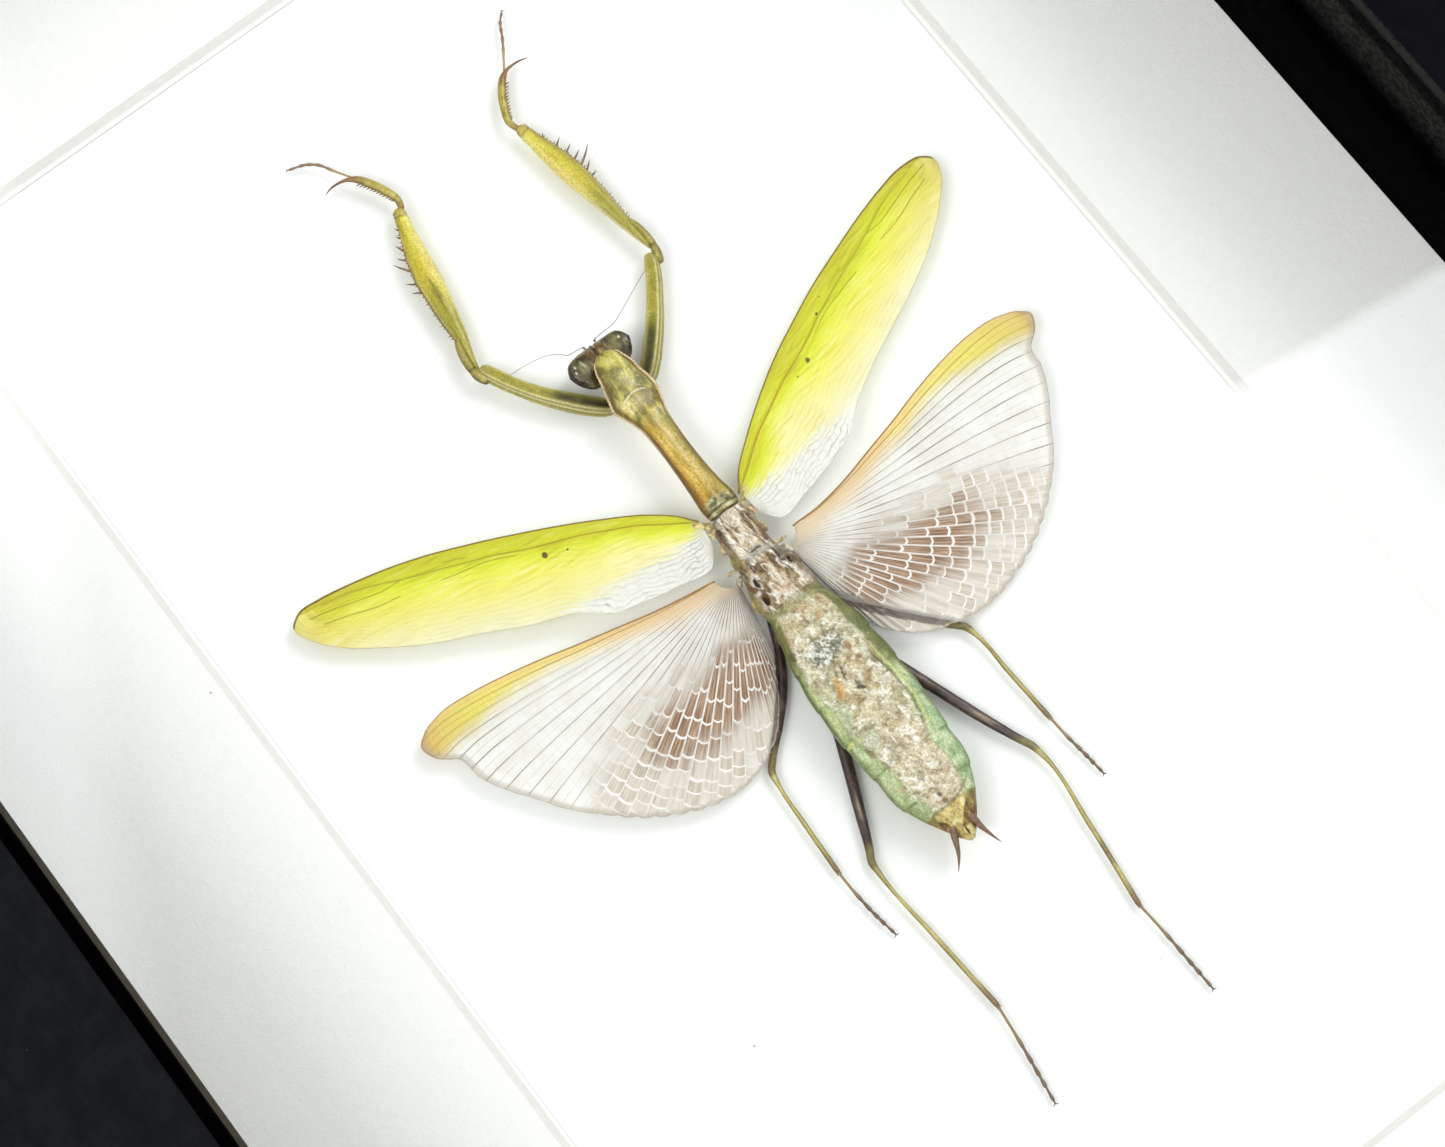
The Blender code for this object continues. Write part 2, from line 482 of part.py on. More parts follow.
def mantis_trunk(collection, cutters):
    green = new_material("green_cuticle", (0.33, 0.42, 0.16), 0.5)
    dark = new_material("dark_head", (0.10, 0.09, 0.05), 0.35)
    tan = new_material("tan_pronotum", (0.42, 0.30, 0.10), 0.45)
    hair = new_material("antenna_brown", (0.2, 0.16, 0.13), 0.5)

    add_bmesh("head", skin(head_rings()), collection, dark, smooth=True)
    add_bmesh("pronotum", skin(trunk_rings(PRONOTUM, PRONOTUM_SIDES)), collection, tan, smooth=True)

    stations = list(THORAX)
    for y, left, right, high in ABDOMEN:
        stations.append((y, left, right, ABDOMEN_LOW, high))
        stations.append((y - SEGMENT_STEP, left + SEGMENT_NOTCH, right - SEGMENT_NOTCH,
                         ABDOMEN_LOW, high - SEGMENT_NOTCH))
    stations.extend(ABDOMEN_END)
    cerci = [skin(limb_rings(path)) for path in (CERCUS_LEFT, CERCUS_RIGHT)]
    fused("body", skin(trunk_rings(stations, BODY_SIDES)), cerci, collection, cutters, green)

    for name, path in (("antenna_left", ANTENNA_LEFT), ("antenna_right", ANTENNA_RIGHT)):
        antenna(name, path, collection, hair)


def antenna(name, path, collection, material):
    curve = bpy.data.curves.new(name, "CURVE")
    curve.dimensions = "3D"
    curve.bevel_depth = ANTENNA_RADIUS
    curve.bevel_resolution = 2
    curve.use_fill_caps = True
    spline = curve.splines.new("POLY")
    spline.points.add(len(path) - 1)
    for point, place in zip(spline.points, path):
        point.co = (*on_board(*place), 1.0)
    add_object(name, curve, collection, material)


def tibia_teeth(tibia, side):
    """Short teeth along the spined edge of a front tibia; side is -1 on the left leg."""
    toothed = tibia[1:6]
    points = [Vector(station[:3]) for station in toothed]
    lengths = [(b - a).length for a, b in zip(points, points[1:])]
    total = sum(lengths)
    teeth = []
    for number in range(TOOTH_COUNT):
        share = (number + 0.5) / TOOTH_COUNT
        middle = along(points, lengths, share * total)
        ahead = (middle - along(points, lengths, number / TOOTH_COUNT * total)).normalized()
        outward = Vector((ahead.y, -ahead.x, 0)) * side
        half_width = toothed[int(share * len(toothed))][3]
        base = middle + outward * half_width / 2
        tip = middle + outward * (half_width + TOOTH_LENGTH) + ahead * TOOTH_LEAN
        teeth.append(spike(on_board(*base), on_board(*tip), TOOTH_RADIUS * MM))
    return teeth


def foreleg(name, side, coxa, trochanter, femur, tibia, foot, spines, collection, cutters, material):
    grown = [skin(limb_rings(path)) for path in (trochanter, femur, tibia, tarsus_stations(foot))]
    h = femur[4][2]
    for x0, y0, x1, y1 in spines:
        grown.append(spike(on_board(x0, y0, h), on_board(x1, y1, h), SPINE_RADIUS * MM))
    grown.extend(tibia_teeth(tibia, side))
    fused(name, skin(limb_rings(coxa)), grown, collection, cutters, material)


def walking_leg(name, leg, foot, collection, cutters, material):
    fused(name, skin(limb_rings(leg)), [skin(limb_rings(tarsus_stations(foot)))], collection, cutters, material)


def mantis_legs(collection, cutters):
    green = new_material("green_foreleg", (0.38, 0.40, 0.10), 0.5)
    brown = new_material("brown_leg", (0.16, 0.12, 0.07), 0.5)
    foreleg("foreleg_left", -1, COXA_LEFT, TROCHANTER_LEFT, FEMUR_LEFT, TIBIA_LEFT, TARSUS_FORE_LEFT,
            SPINES_LEFT, collection, cutters, green)
    foreleg("foreleg_right", 1, COXA_RIGHT, TROCHANTER_RIGHT, FEMUR_RIGHT, TIBIA_RIGHT, TARSUS_FORE_RIGHT,
            SPINES_RIGHT, collection, cutters, green)
    walking_leg("mid_leg_left", MID_LEG_LEFT, TARSUS_MID_LEFT, collection, cutters, brown)
    walking_leg("mid_leg_right", MID_LEG_RIGHT, TARSUS_MID_RIGHT, collection, cutters, brown)
    walking_leg("hind_leg_left", HIND_LEG_LEFT, TARSUS_HIND_LEFT, collection, cutters, brown)
    walking_leg("hind_leg_right", HIND_LEG_RIGHT, TARSUS_HIND_RIGHT, collection, cutters, brown)


def sheet(name, rows, thickness, collection, material):
    """A wing: an open surface over rows of points, thickened evenly to both sides."""
    bm = bmesh.new()
    grid = [[bm.verts.new(point) for point in row] for row in rows]
    for near, far in zip(grid, grid[1:]):
        for i in range(len(near) - 1):
            bm.faces.new((near[i], near[i + 1], far[i + 1], far[i]))
    bmesh.ops.remove_doubles(bm, verts=bm.verts, dist=0.01 * MM)
    wing = add_bmesh(name, bm, collection, material, smooth=True)
    shell = wing.modifiers.new("thickness", "SOLIDIFY")
    shell.thickness = thickness
    shell.offset = 0.0


def forewing(name, edges, collection, material):
    """Chords from the leading to the trailing edge, arched, falling from the base to the tip."""
    rows = []
    for number, (lead, trail) in enumerate(edges):
        fall = number / (len(edges) - 1)
        h = FOREWING_BASE_H + (FOREWING_TIP_H - FOREWING_BASE_H) * fall
        row = []
        for step in range(FOREWING_ROWS + 1):
            share = step / FOREWING_ROWS
            x = lead[0] + (trail[0] - lead[0]) * share
            y = lead[1] + (trail[1] - lead[1]) * share
            row.append(on_board(x, y, h + FOREWING_ARCH * math.sin(math.pi * share) * (1 - fall)))
        rows.append(row)
    sheet(name, rows, FOREWING_THICKNESS, collection, material)


def hindwing(name, outline, collection, material):
    """A fan: spokes from the hinge to the margin, falling outwards."""
    hinge = outline[0]
    rows = []
    for x, y in outline[1:]:
        row = []
        for step in range(HINDWING_ROWS + 1):
            share = step / HINDWING_ROWS
            h = HINDWING_ROOT_H + (HINDWING_MARGIN_H - HINDWING_ROOT_H) * share
            row.append(on_board(hinge[0] + (x - hinge[0]) * share, hinge[1] + (y - hinge[1]) * share, h))
        rows.append(row)
    sheet(name, rows, HINDWING_THICKNESS, collection, material)


def mantis_wings(collection):
    lime = new_material("lime_forewing", (0.72, 0.78, 0.20), 0.4)
    clear = new_material("clear_hindwing", (0.86, 0.80, 0.74), 0.4)
    forewing("forewing_left", FOREWING_LEFT, collection, lime)
    forewing("forewing_right", FOREWING_RIGHT, collection, lime)
    hindwing("hindwing_left", HINDWING_LEFT, collection, clear)
    hindwing("hindwing_right", HINDWING_RIGHT, collection, clear)


def main():
    empty_scene()
    part = new_collection("framed_praying_mantis")
    cutters = new_collection("cutters")
    frame_rails(part)
    layers(part, cutters)
    mantis_trunk(part, cutters)
    mantis_legs(part, cutters)
    mantis_wings(part)


main()
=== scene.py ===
# Framed praying mantis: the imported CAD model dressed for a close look.
# Lengths in the tables are millimetres: x and y from the middle of the window,
# h above the backing board. Meshes are made in metres.
import math

import bmesh
import bpy
import numpy as np
from mathutils import Matrix, Vector


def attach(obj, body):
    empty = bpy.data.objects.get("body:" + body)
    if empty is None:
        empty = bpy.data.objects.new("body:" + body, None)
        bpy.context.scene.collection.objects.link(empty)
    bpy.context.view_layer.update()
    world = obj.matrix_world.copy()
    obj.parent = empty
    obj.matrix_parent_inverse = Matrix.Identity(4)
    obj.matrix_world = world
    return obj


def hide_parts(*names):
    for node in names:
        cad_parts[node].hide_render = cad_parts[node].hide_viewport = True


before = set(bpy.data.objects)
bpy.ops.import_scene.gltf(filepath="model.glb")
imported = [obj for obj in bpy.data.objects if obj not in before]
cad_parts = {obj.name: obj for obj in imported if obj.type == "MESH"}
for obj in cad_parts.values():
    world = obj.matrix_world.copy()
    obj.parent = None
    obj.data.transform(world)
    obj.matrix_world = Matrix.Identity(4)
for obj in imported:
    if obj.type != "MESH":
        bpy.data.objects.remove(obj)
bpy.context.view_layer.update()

mm = 0.001
boardTop = 0.0103         # height of the backing board's face, in metres


# Numbers on whole arrays

def ease(value, low, high):
    # 0 below low, 1 above high, and 3t2 - 2t3 in between
    t = np.clip((value - low) / (high - low), 0, 1)
    return t * t * (3 - 2 * t)


def lengthAlong(points):
    # running length of a line of points, from 0
    steps = np.linalg.norm(np.diff(points, axis=0), axis=1)
    return np.concatenate([[0.0], np.cumsum(steps)])


def smoothThrough(keys, table, at):
    # Cubic pieces through every row of the table. The slope at a row is the mean of the
    # slopes on its two sides, each weighted by the other side's length.
    keys = np.asarray(keys, float)
    table = np.asarray(table, float)
    gaps = np.diff(keys)
    slopes = np.diff(table, axis=0) / gaps[:, None]
    both = (slopes[:-1] * gaps[1:, None] + slopes[1:] * gaps[:-1, None]) / (gaps[1:] + gaps[:-1])[:, None]
    tangents = np.vstack([slopes[:1], both, slopes[-1:]])
    place = np.clip(np.searchsorted(keys, at, side="right") - 1, 0, len(gaps) - 1)
    gap = gaps[place][:, None]
    t = np.clip((np.asarray(at)[:, None] - keys[place][:, None]) / gap, 0, 1)
    start = table[place] * (2 * t**3 - 3 * t**2 + 1) + tangents[place] * gap * (t**3 - 2 * t**2 + t)
    end = table[place + 1] * (3 * t**2 - 2 * t**3) + tangents[place + 1] * gap * (t**3 - t**2)
    return start + end


def smoothLine(points, count, columns=3):
    # count rows spaced evenly by length along a smooth line through the points
    points = np.array(points, float)
    keys = lengthAlong(points[:, :columns])
    return smoothThrough(keys, points, np.linspace(0, keys[-1], count))


def cloud(x, y, z, seed=0):
    # Value noise from -1 to 1: a scrambled number at each whole-number corner, blended by smooth weights
    x, y, z = np.broadcast_arrays(x, y, z)
    cells = [np.floor(v).astype(np.int64) for v in (x, y, z)]
    parts = [v - c for v, c in zip((x, y, z), cells)]
    smooth = [p * p * (3 - 2 * p) for p in parts]
    total = np.zeros(x.shape)
    for corner in range(8):
        bits = [(corner >> k) & 1 for k in range(3)]
        code = ((cells[0] + bits[0]) * 374761393 + (cells[1] + bits[1]) * 668265263
                + (cells[2] + bits[2]) * 1440662683 + seed * 982451653) & 0x7FFFFFFF
        code = ((code ^ (code >> 13)) * 1274126177) & 0x7FFFFFFF
        code = ((code ^ (code >> 15)) * 1103515245) & 0x7FFFFFFF
        weight = 1.0
        for k in range(3):
            weight = weight * (smooth[k] if bits[k] else 1 - smooth[k])
        total += weight * (((code >> 8) & 0xFFFF) / 32767.5 - 1)
    return total


def clouds(x, y, z, size, seed=0, layers=3):
    # sum of value noise, each layer half the size and half the strength of the one before
    total = 0.0
    for layer in range(layers):
        scale = 2**layer / size
        total = total + cloud(x * scale + layer * 7.3, y * scale, z * scale, seed + layer) / 2**layer
    return total / (2 - 2.0 ** (1 - layers))


def spot(x, y, centreX, centreY, radiusX, radiusY, turn=0.0):
    # bell over an ellipse turned by an angle in radians: exp of minus the squared distance in radii
    across = ((x - centreX) * math.cos(turn) + (y - centreY) * math.sin(turn)) / radiusX
    along = ((y - centreY) * math.cos(turn) - (x - centreX) * math.sin(turn)) / radiusY
    return np.exp(-(across**2 + along**2))


def fromLine(points, x, y):
    # signed distance of each x, y from a line: positive on the left of its direction
    line = np.asarray(points, float)[:, :2]
    flat = np.stack([x.ravel(), y.ravel()], 1)
    start, step = line[:-1], np.diff(line, axis=0)
    best = np.full(len(flat), 1e9)
    signed = np.zeros(len(flat))
    for origin, run in zip(start, step):
        toPoint = flat - origin
        share = np.clip(toPoint @ run / (run @ run), 0, 1)
        apart = toPoint - share[:, None] * run
        distance = np.linalg.norm(apart, axis=1)
        side = np.sign(run[0] * toPoint[:, 1] - run[1] * toPoint[:, 0])
        closer = distance < best
        best = np.where(closer, distance, best)
        signed = np.where(closer, distance * side, signed)
    return signed.reshape(x.shape)


def tone(red, green, blue):
    # display colour from 0 to 255 as the linear colour that a shader takes
    value = np.array([red, green, blue], float) / 255
    return np.where(value <= 0.04045, value / 12.92, ((value + 0.055) / 1.055) ** 2.4)


def linear(colour):
    # a triple from 0 to 255 becomes linear; arrays and four numbers are linear already
    return tone(*colour) if isinstance(colour, tuple) and len(colour) == 3 else colour


def bell(value, centre, width, power=2):
    # exp(-((value - centre) / width) ** power), 1 at the centre
    return np.exp(-((value - centre) / width) ** power)


def over(paint, colour, mask):
    # a colour laid over the paint through a mask from 0 to 1
    mask = np.clip(mask, 0, 1)[..., None]
    return paint * (1 - mask) + linear(colour) * mask


def layered(paint, layers):
    # the paint with each layer's colour laid over it through its mask, in turn
    for colour, mask in layers:
        paint = over(paint, colour, mask)
    return paint


# From arrays to meshes

def gridFaces(rows, columns, wrapColumns=False):
    # quads of a grid whose points run along the columns first
    row = np.arange(rows - 1)[:, None]
    column = np.arange(columns if wrapColumns else columns - 1)[None, :]
    nextColumn = (column + 1) % columns
    quads = np.stack([row * columns + column, (row + 1) * columns + column,
                      (row + 1) * columns + nextColumn, row * columns + nextColumn], -1)
    return quads.reshape(-1, 4)


def facingOut(points, quads, triangles):
    # faces turned round if the volume that they enclose comes out negative
    both = np.vstack([quads[:, [0, 1, 2]], quads[:, [0, 2, 3]], triangles])
    centred = points - points.mean(0)
    a, b, c = (centred[both[:, k]] for k in range(3))
    if np.einsum("ij,ij->", a, np.cross(b, c)) < 0:
        return quads[:, ::-1], triangles[:, ::-1]
    return quads, triangles


def closedSkin(rings, marks):
    # A skin over rings of points (rows x sides x 3, millimetres), closed by a pole in the
    # middle of the first and of the last ring. marks holds one array per attribute.
    rows, sides, _ = rings.shape
    points = np.vstack([rings.reshape(-1, 3), rings[0].mean(0), rings[-1].mean(0)])
    quads = gridFaces(rows, sides, True)
    side = np.arange(sides)
    following = (side + 1) % sides
    first, last = rows * sides, rows * sides + 1
    triangles = np.vstack([
        np.stack([np.full(sides, first), side, following], 1),
        np.stack([np.full(sides, last), (rows - 1) * sides + following, (rows - 1) * sides + side], 1)])
    quads, triangles = facingOut(points, quads, triangles)
    kept = {}
    for name, values in marks.items():
        flat = values.reshape(rows * sides, -1)
        kept[name] = np.vstack([flat, flat[:sides].mean(0), flat[-sides:].mean(0)])
    return {"points": points, "quads": quads, "triangles": triangles, "marks": kept}


def tubeRings(path, halfWidth, halfHeight, sides):
    # Ovals square to a path: centre + cos * half width * sideways + sin * half height * upwards
    path = np.asarray(path, float)
    ahead = np.gradient(path, axis=0)
    ahead /= np.linalg.norm(ahead, axis=1)[:, None]
    sideways = np.stack([ahead[:, 1], -ahead[:, 0], np.zeros(len(path))], 1)
    sideways /= np.linalg.norm(sideways, axis=1)[:, None] + 1e-12
    upwards = np.cross(sideways, ahead)
    angle = np.arange(sides) / sides * 2 * math.pi
    wide = np.asarray(halfWidth, float)[:, None, None] * np.cos(angle)[None, :, None]
    high = np.asarray(halfHeight, float)[:, None, None] * np.sin(angle)[None, :, None]
    return path[:, None] + wide * sideways[:, None] + high * upwards[:, None], angle


def addMark(mesh, name, kind, label, values):
    # one attribute on a mesh's points
    values = np.asarray(values, np.float32)
    mesh.attributes.new(name, kind, "POINT").data.foreach_set(label, values.ravel())


def placeMesh(name, mesh, material, nodes):
    # the mesh as a piece that rides on the frame in place of its CAD nodes
    mesh.materials.append(material)
    mesh.shade_smooth()
    piece = bpy.data.objects.new(name, mesh)
    bpy.context.scene.collection.objects.link(piece)
    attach(piece, "root")
    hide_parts(*nodes)


def putPiece(name, parts, material, nodes):
    # parts joined in one mesh at the origin, in metres
    offset = 0
    points, quads, triangles, marks = [], [], [], {}
    for part in parts:
        points.append(part["points"])
        quads.append(part["quads"] + offset)
        if len(part["triangles"]):
            triangles.append(part["triangles"] + offset)
        for key, values in part["marks"].items():
            marks.setdefault(key, []).append(values)
        offset += len(part["points"])
    place = np.vstack(points) * mm + np.array([0, 0, boardTop])
    faces = np.vstack(quads).tolist()
    if triangles:
        faces += np.vstack(triangles).tolist()
    mesh = bpy.data.meshes.new(name)
    mesh.from_pydata(place.tolist(), [], faces)
    for key, values in marks.items():
        values = np.vstack(values)
        if values.shape[1] == 3:
            opaque = np.hstack([values, np.ones((len(values), 1))])
            addMark(mesh, key, "FLOAT_COLOR", "color", opaque)
        else:
            addMark(mesh, key, "FLOAT", "value", values)
    placeMesh(name, mesh, material, nodes)


# Shader nodes

building = {}     # under "tree", the node tree that is being made


class Field:
    # The output of a node, so that a formula in plain arithmetic makes its own Math nodes
    def __init__(self, socket):
        self.socket = socket

    def __add__(self, other):
        return maths("ADD", self, other)

    def __radd__(self, other):
        return maths("ADD", other, self)

    def __sub__(self, other):
        return maths("SUBTRACT", self, other)

    def __rsub__(self, other):
        return maths("SUBTRACT", other, self)

    def __mul__(self, other):
        return maths("MULTIPLY", self, other)

    def __rmul__(self, other):
        return maths("MULTIPLY", other, self)

    def __truediv__(self, other):
        return maths("DIVIDE", self, other)


class Outputs:
    # the outputs of a node as fields, by name, by number or in turn
    def __init__(self, sockets):
        self.sockets = sockets

    def __getitem__(self, key):
        return Field(self.sockets[key])

    def __iter__(self):
        return (Field(socket) for socket in self.sockets)


def join(value, target):
    # a link from a field or a socket to an input
    building["tree"].links.new(value.socket if isinstance(value, Field) else value, target)


def plug(node, sockets):
    # links or fixed values for a node's inputs; a colour may come as three numbers
    for key, value in sockets.items():
        if isinstance(value, (Field, bpy.types.NodeSocket)):
            join(value, node.inputs[key])
        else:
            node.inputs[key].default_value = (*value, 1) if isinstance(value, np.ndarray) else value
    return Outputs(node.outputs)


def addNode(kind, sockets=None, **settings):
    # a shader node with its settings and inputs; its outputs come back
    node = building["tree"].nodes.new("ShaderNode" + kind)
    for key, value in settings.items():
        setattr(node, key, value)
    return plug(node, sockets or {})


def maths(operation, first, second=0.0):
    return addNode("Math", {0: first, 1: second}, operation=operation)[0]


def highest(first, second):
    return maths("MAXIMUM", first, second)


def lowest(first, second):
    return maths("MINIMUM", first, second)


def above(value, limit):
    return maths("GREATER_THAN", value, limit)


def below(value, limit):
    return maths("LESS_THAN", value, limit)


def absolute(value):
    return maths("ABSOLUTE", value)


def mixed(factor, first, second, blend="MIX"):
    # first where the factor is 0, second where it is 1, or blended another way
    sockets = {0: factor, 6: linear(first), 7: linear(second)}
    return addNode("Mix", sockets, data_type="RGBA", blend_type=blend)[2]


def between(value, low, high, outLow=0.0, outHigh=1.0):
    # a smooth step from outLow at low to outHigh at high
    sockets = {"Value": value, "From Min": low, "From Max": high, "To Min": outLow, "To Max": outHigh}
    return addNode("MapRange", sockets, interpolation_type="SMOOTHSTEP")[0]


def noiseOf(vector, scale, detail=3.0, roughness=0.55, lengthen=None):
    # noise on coordinates in metres; lengthen stretches the pattern by a factor along each axis
    if lengthen:
        vector = addNode("Mapping", {"Vector": vector, "Scale": lengthen})[0]
    sockets = {"Vector": vector, "Scale": scale, "Detail": detail, "Roughness": roughness}
    return addNode("TexNoise", sockets)[0]


def rampOf(factor, stops):
    # colours by position, from a list of (position, colour)
    node = building["tree"].nodes.new("ShaderNodeValToRGB")
    elements = node.color_ramp.elements
    while len(elements) < len(stops):
        elements.new(0.5)
    for element, (position, colour) in zip(elements, stops):
        element.position = position
        element.color = (*linear(colour), 1.0)
    return plug(node, {0: factor})[0]


def attributeOf(name, output="Fac"):
    return addNode("Attribute", attribute_name=name)[output]


def objectPlace():
    return addNode("TexCoord")["Object"]


def pairOf(first, second):
    return addNode("CombineXYZ", {0: first, 1: second})[0]


def newGroup(name, inputs, outputs):
    # a node group; colour sockets are those named Color, Dust or Worn, all others take numbers
    tree = building["tree"] = bpy.data.node_groups.new(name, "ShaderNodeTree")
    for direction, labels in (("INPUT", inputs), ("OUTPUT", outputs)):
        for label in labels:
            kind = "NodeSocketColor" if label in ("Color", "Dust", "Worn") else "NodeSocketFloat"
            tree.interface.new_socket(name=label, in_out=direction, socket_type=kind)
    given = Outputs(tree.nodes.new("NodeGroupInput").outputs)
    return tree, given, tree.nodes.new("NodeGroupOutput").inputs


def useGroup(group, sockets):
    node = building["tree"].nodes.new("ShaderNodeGroup")
    node.node_tree = group
    return plug(node, sockets)


def newMaterial(name, roughness, **fixed):
    # a Principled material; fixed values go straight onto the shader's sockets
    material = bpy.data.materials.new(name)
    material.use_nodes = True
    building["tree"] = material.node_tree
    shader = material.node_tree.nodes["Principled BSDF"]
    plug(shader, {"Roughness": roughness})
    plug(shader, {label.replace("_", " "): value for label, value in fixed.items()})
    return material, shader


def feed(value, shader, label):
    join(value, shader.inputs[label])


def bumpFrom(height, shader, strength, distance):
    # small relief from a height field
    bump = addNode("Bump", {"Height": height, "Strength": strength, "Distance": distance})
    feed(bump[0], shader, "Normal")


def makeGrainGroup():
    # light and dark grain at one size with finer speckle on top, and its height
    tree, given, result = newGroup("fineGrain", ["Color", "Scale", "Contrast", "Speckle"],
                                   ["Color", "Height"])
    place = objectPlace()
    coarse = noiseOf(place, given["Scale"], 4.0, 0.6)
    fine = noiseOf(place, given["Scale"] * 4.1, 2.0, 0.6)
    light = (coarse - 0.5) * given["Contrast"] + 1.0 + (fine - 0.5) * given["Speckle"]
    grey = addNode("CombineColor", {0: light, 1: light, 2: light})[0]
    join(mixed(1.0, given["Color"], grey, "MULTIPLY"), result["Color"])
    join(fine * 0.35 + coarse, result["Height"])
    return tree


def makeDustGroup():
    # sparse round specks: the cells of a Voronoi pattern whose random number is high, near their middles
    tree, given, result = newGroup("looseDust", ["Color", "Dust", "Scale", "Size", "Share", "Strength"],
                                   ["Color", "Mask"])
    place = objectPlace()
    cells = addNode("TexVoronoi", {"Vector": place, "Scale": given["Scale"]})
    chance = addNode("SeparateColor", {0: cells["Color"]})
    size = given["Size"] * (chance[1] * 1.2 + 0.4)
    near = 1 - between(cells["Distance"], size * 0.5, size)
    chosen = below(chance[0], given["Share"])
    mask = near * chosen * given["Strength"]
    join(mixed(mask, given["Color"], given["Dust"]), result["Color"])
    join(mask, result["Mask"])
    return tree


def makeWearGroup():
    # an edge attribute broken up by noise, from the covered face to the worn edge
    tree, given, result = newGroup("wornEdge", ["Color", "Worn", "Edge", "Amount", "Scale"],
                                   ["Color", "Mask"])
    place = objectPlace()
    broken = noiseOf(place, given["Scale"], 4.0, 0.65)
    mask = between(given["Edge"] + broken * 0.6, 0.95, 1.25) * given["Amount"]
    join(mixed(mask, given["Color"], given["Worn"]), result["Color"])
    join(mask, result["Mask"])
    return tree


def makeCellGroup():
    # The net of a fan wing. Ray counts the spokes and Phase the cells along them; Spacing is
    # the gap between spokes and Length the length of a cell, both in millimetres.
    tree, given, result = newGroup("wingCells", ["Ray", "Phase", "Spacing", "Length", "Rib", "Bar"],
                                   ["Rib", "Bar", "Chance"])
    strip, share = maths("FLOOR", given["Ray"]), maths("FRACT", given["Ray"])
    apart = lowest(share, 1 - share) * given["Spacing"]
    rib = 1 - between(apart, given["Rib"] * 0.4, given["Rib"])
    shift = addNode("TexWhiteNoise", {"W": strip}, noise_dimensions="1D")[0]
    bow = share * (1 - share) * -0.4
    wobble = noiseOf(pairOf(strip * 0.42, given["Phase"] * 0.4), 1.0, 1.0)
    along = shift * 0.45 + given["Phase"] + wobble * 1.5 + bow
    cell, step = maths("FLOOR", along), maths("FRACT", along)
    nearBar = lowest(step, 1 - step) * given["Length"]
    bar = 1 - between(nearBar, given["Bar"] * 0.4, given["Bar"])
    chance = addNode("TexWhiteNoise", {"Vector": pairOf(strip, cell)}, noise_dimensions="2D")[0]
    join(rib, result["Rib"])
    join(bar, result["Bar"])
    join(chance, result["Chance"])
    return tree


fineGrain = makeGrainGroup()
looseDust = makeDustGroup()
wornEdge = makeWearGroup()
wingCells = makeCellGroup()
print("shader groups made")


def grainOn(colour, scale, contrast, speckle):
    # the colour times 1 + (coarse noise - 0.5) * contrast + (fine noise - 0.5) * speckle
    return useGroup(fineGrain, {"Color": colour, "Scale": scale, "Contrast": contrast, "Speckle": speckle})


def dustOn(colour, dust, scale, size, share, strength):
    # the colour with specks of dust in a share of the cells
    return useGroup(looseDust, {"Color": colour, "Dust": linear(dust), "Scale": scale, "Size": size,
                                "Share": share, "Strength": strength})["Color"]


def cellNet(ray, phase, spacing, length, rib, bar):
    # veins of width rib along whole rays, cross veins of width bar at whole phases
    return useGroup(wingCells, {"Ray": ray, "Phase": phase, "Spacing": spacing, "Length": length,
                                "Rib": rib, "Bar": bar})


# The frame: four mitred rails with eased edges, in black paint
frameLook = {
    "sight": (191.7, 271.3),      # between the inner faces of the rails
    "face": 25.0,
    "depth": 50.0,
    "lip": 18.5,                  # the part in front of the glass
    "rabbet": 6.0,
    "ease": 0.75,                 # rounding of the two front edges
    "backEase": 0.3,
    "mitreGap": 0.1,
    "sharpAngle": 35,             # corners sharper than this stay sharp, in degrees
    "grainLength": 0.06,          # the grain's scale along a rail over its scale across
    "paint": tone(22, 23, 26),
    "far": tone(7, 7, 12),        # painted shade: the face's paint, darker towards the right rail
    "wall": tone(2, 2, 3),        # the inner and outer walls, in the dark
    "dust": tone(44, 44, 42),     # painted light: a grey band near the front of the right rail's inner wall, where light falls on it
    "bare": tone(52, 52, 50),
}


def railSection(look):
    # Section as (distance out from the sight edge, height, how near a worn edge): quarter
    # circles at the two front edges, with more points where the wear fades over the face
    turn = np.linspace(0, math.pi / 2, 7)
    face, depth, eased, rabbet = look["face"], look["depth"], look["ease"], look["rabbet"]
    low = depth - look["lip"]
    fade = np.array([0.4, 1.0, 1.8, 3.0])
    rounded = [(eased * math.cos(t), eased * math.sin(t), 1 - 0.25 * abs(t - 0.8)) for t in turn]
    inner = [(eased - c, depth - eased + s, worn) for c, s, worn in rounded]
    outer = [(face - eased + s, depth - eased + c, worn) for c, s, worn in rounded]
    onFace = [(eased + d, depth, 0.75 * math.exp(-d / 0.7)) for d in fade]
    onFace += [(face / 2, depth, 0.0)]
    onFace += [(face - eased - d, depth, 0.75 * math.exp(-d / 0.7)) for d in fade[::-1]]
    innerWall = [(0.0, low, 0.2), (0.0, low + 6, 0.0), (0.0, depth - 4, 0.0), (0.0, depth - 1.6, 0.35)]
    outerWall = [(face, depth - 1.6, 0.35), (face, depth - 4, 0.0), (face, 12.0, 0.0),
                 (face, look["backEase"], 0.5), (face - look["backEase"], 0.0, 0.5)]
    back = [(face / 2, 0.0, 0.0), (rabbet, 0.0, 0.1), (rabbet, low, 0.0)]
    return np.array(innerWall + inner + onFace + outer + outerWall + back)


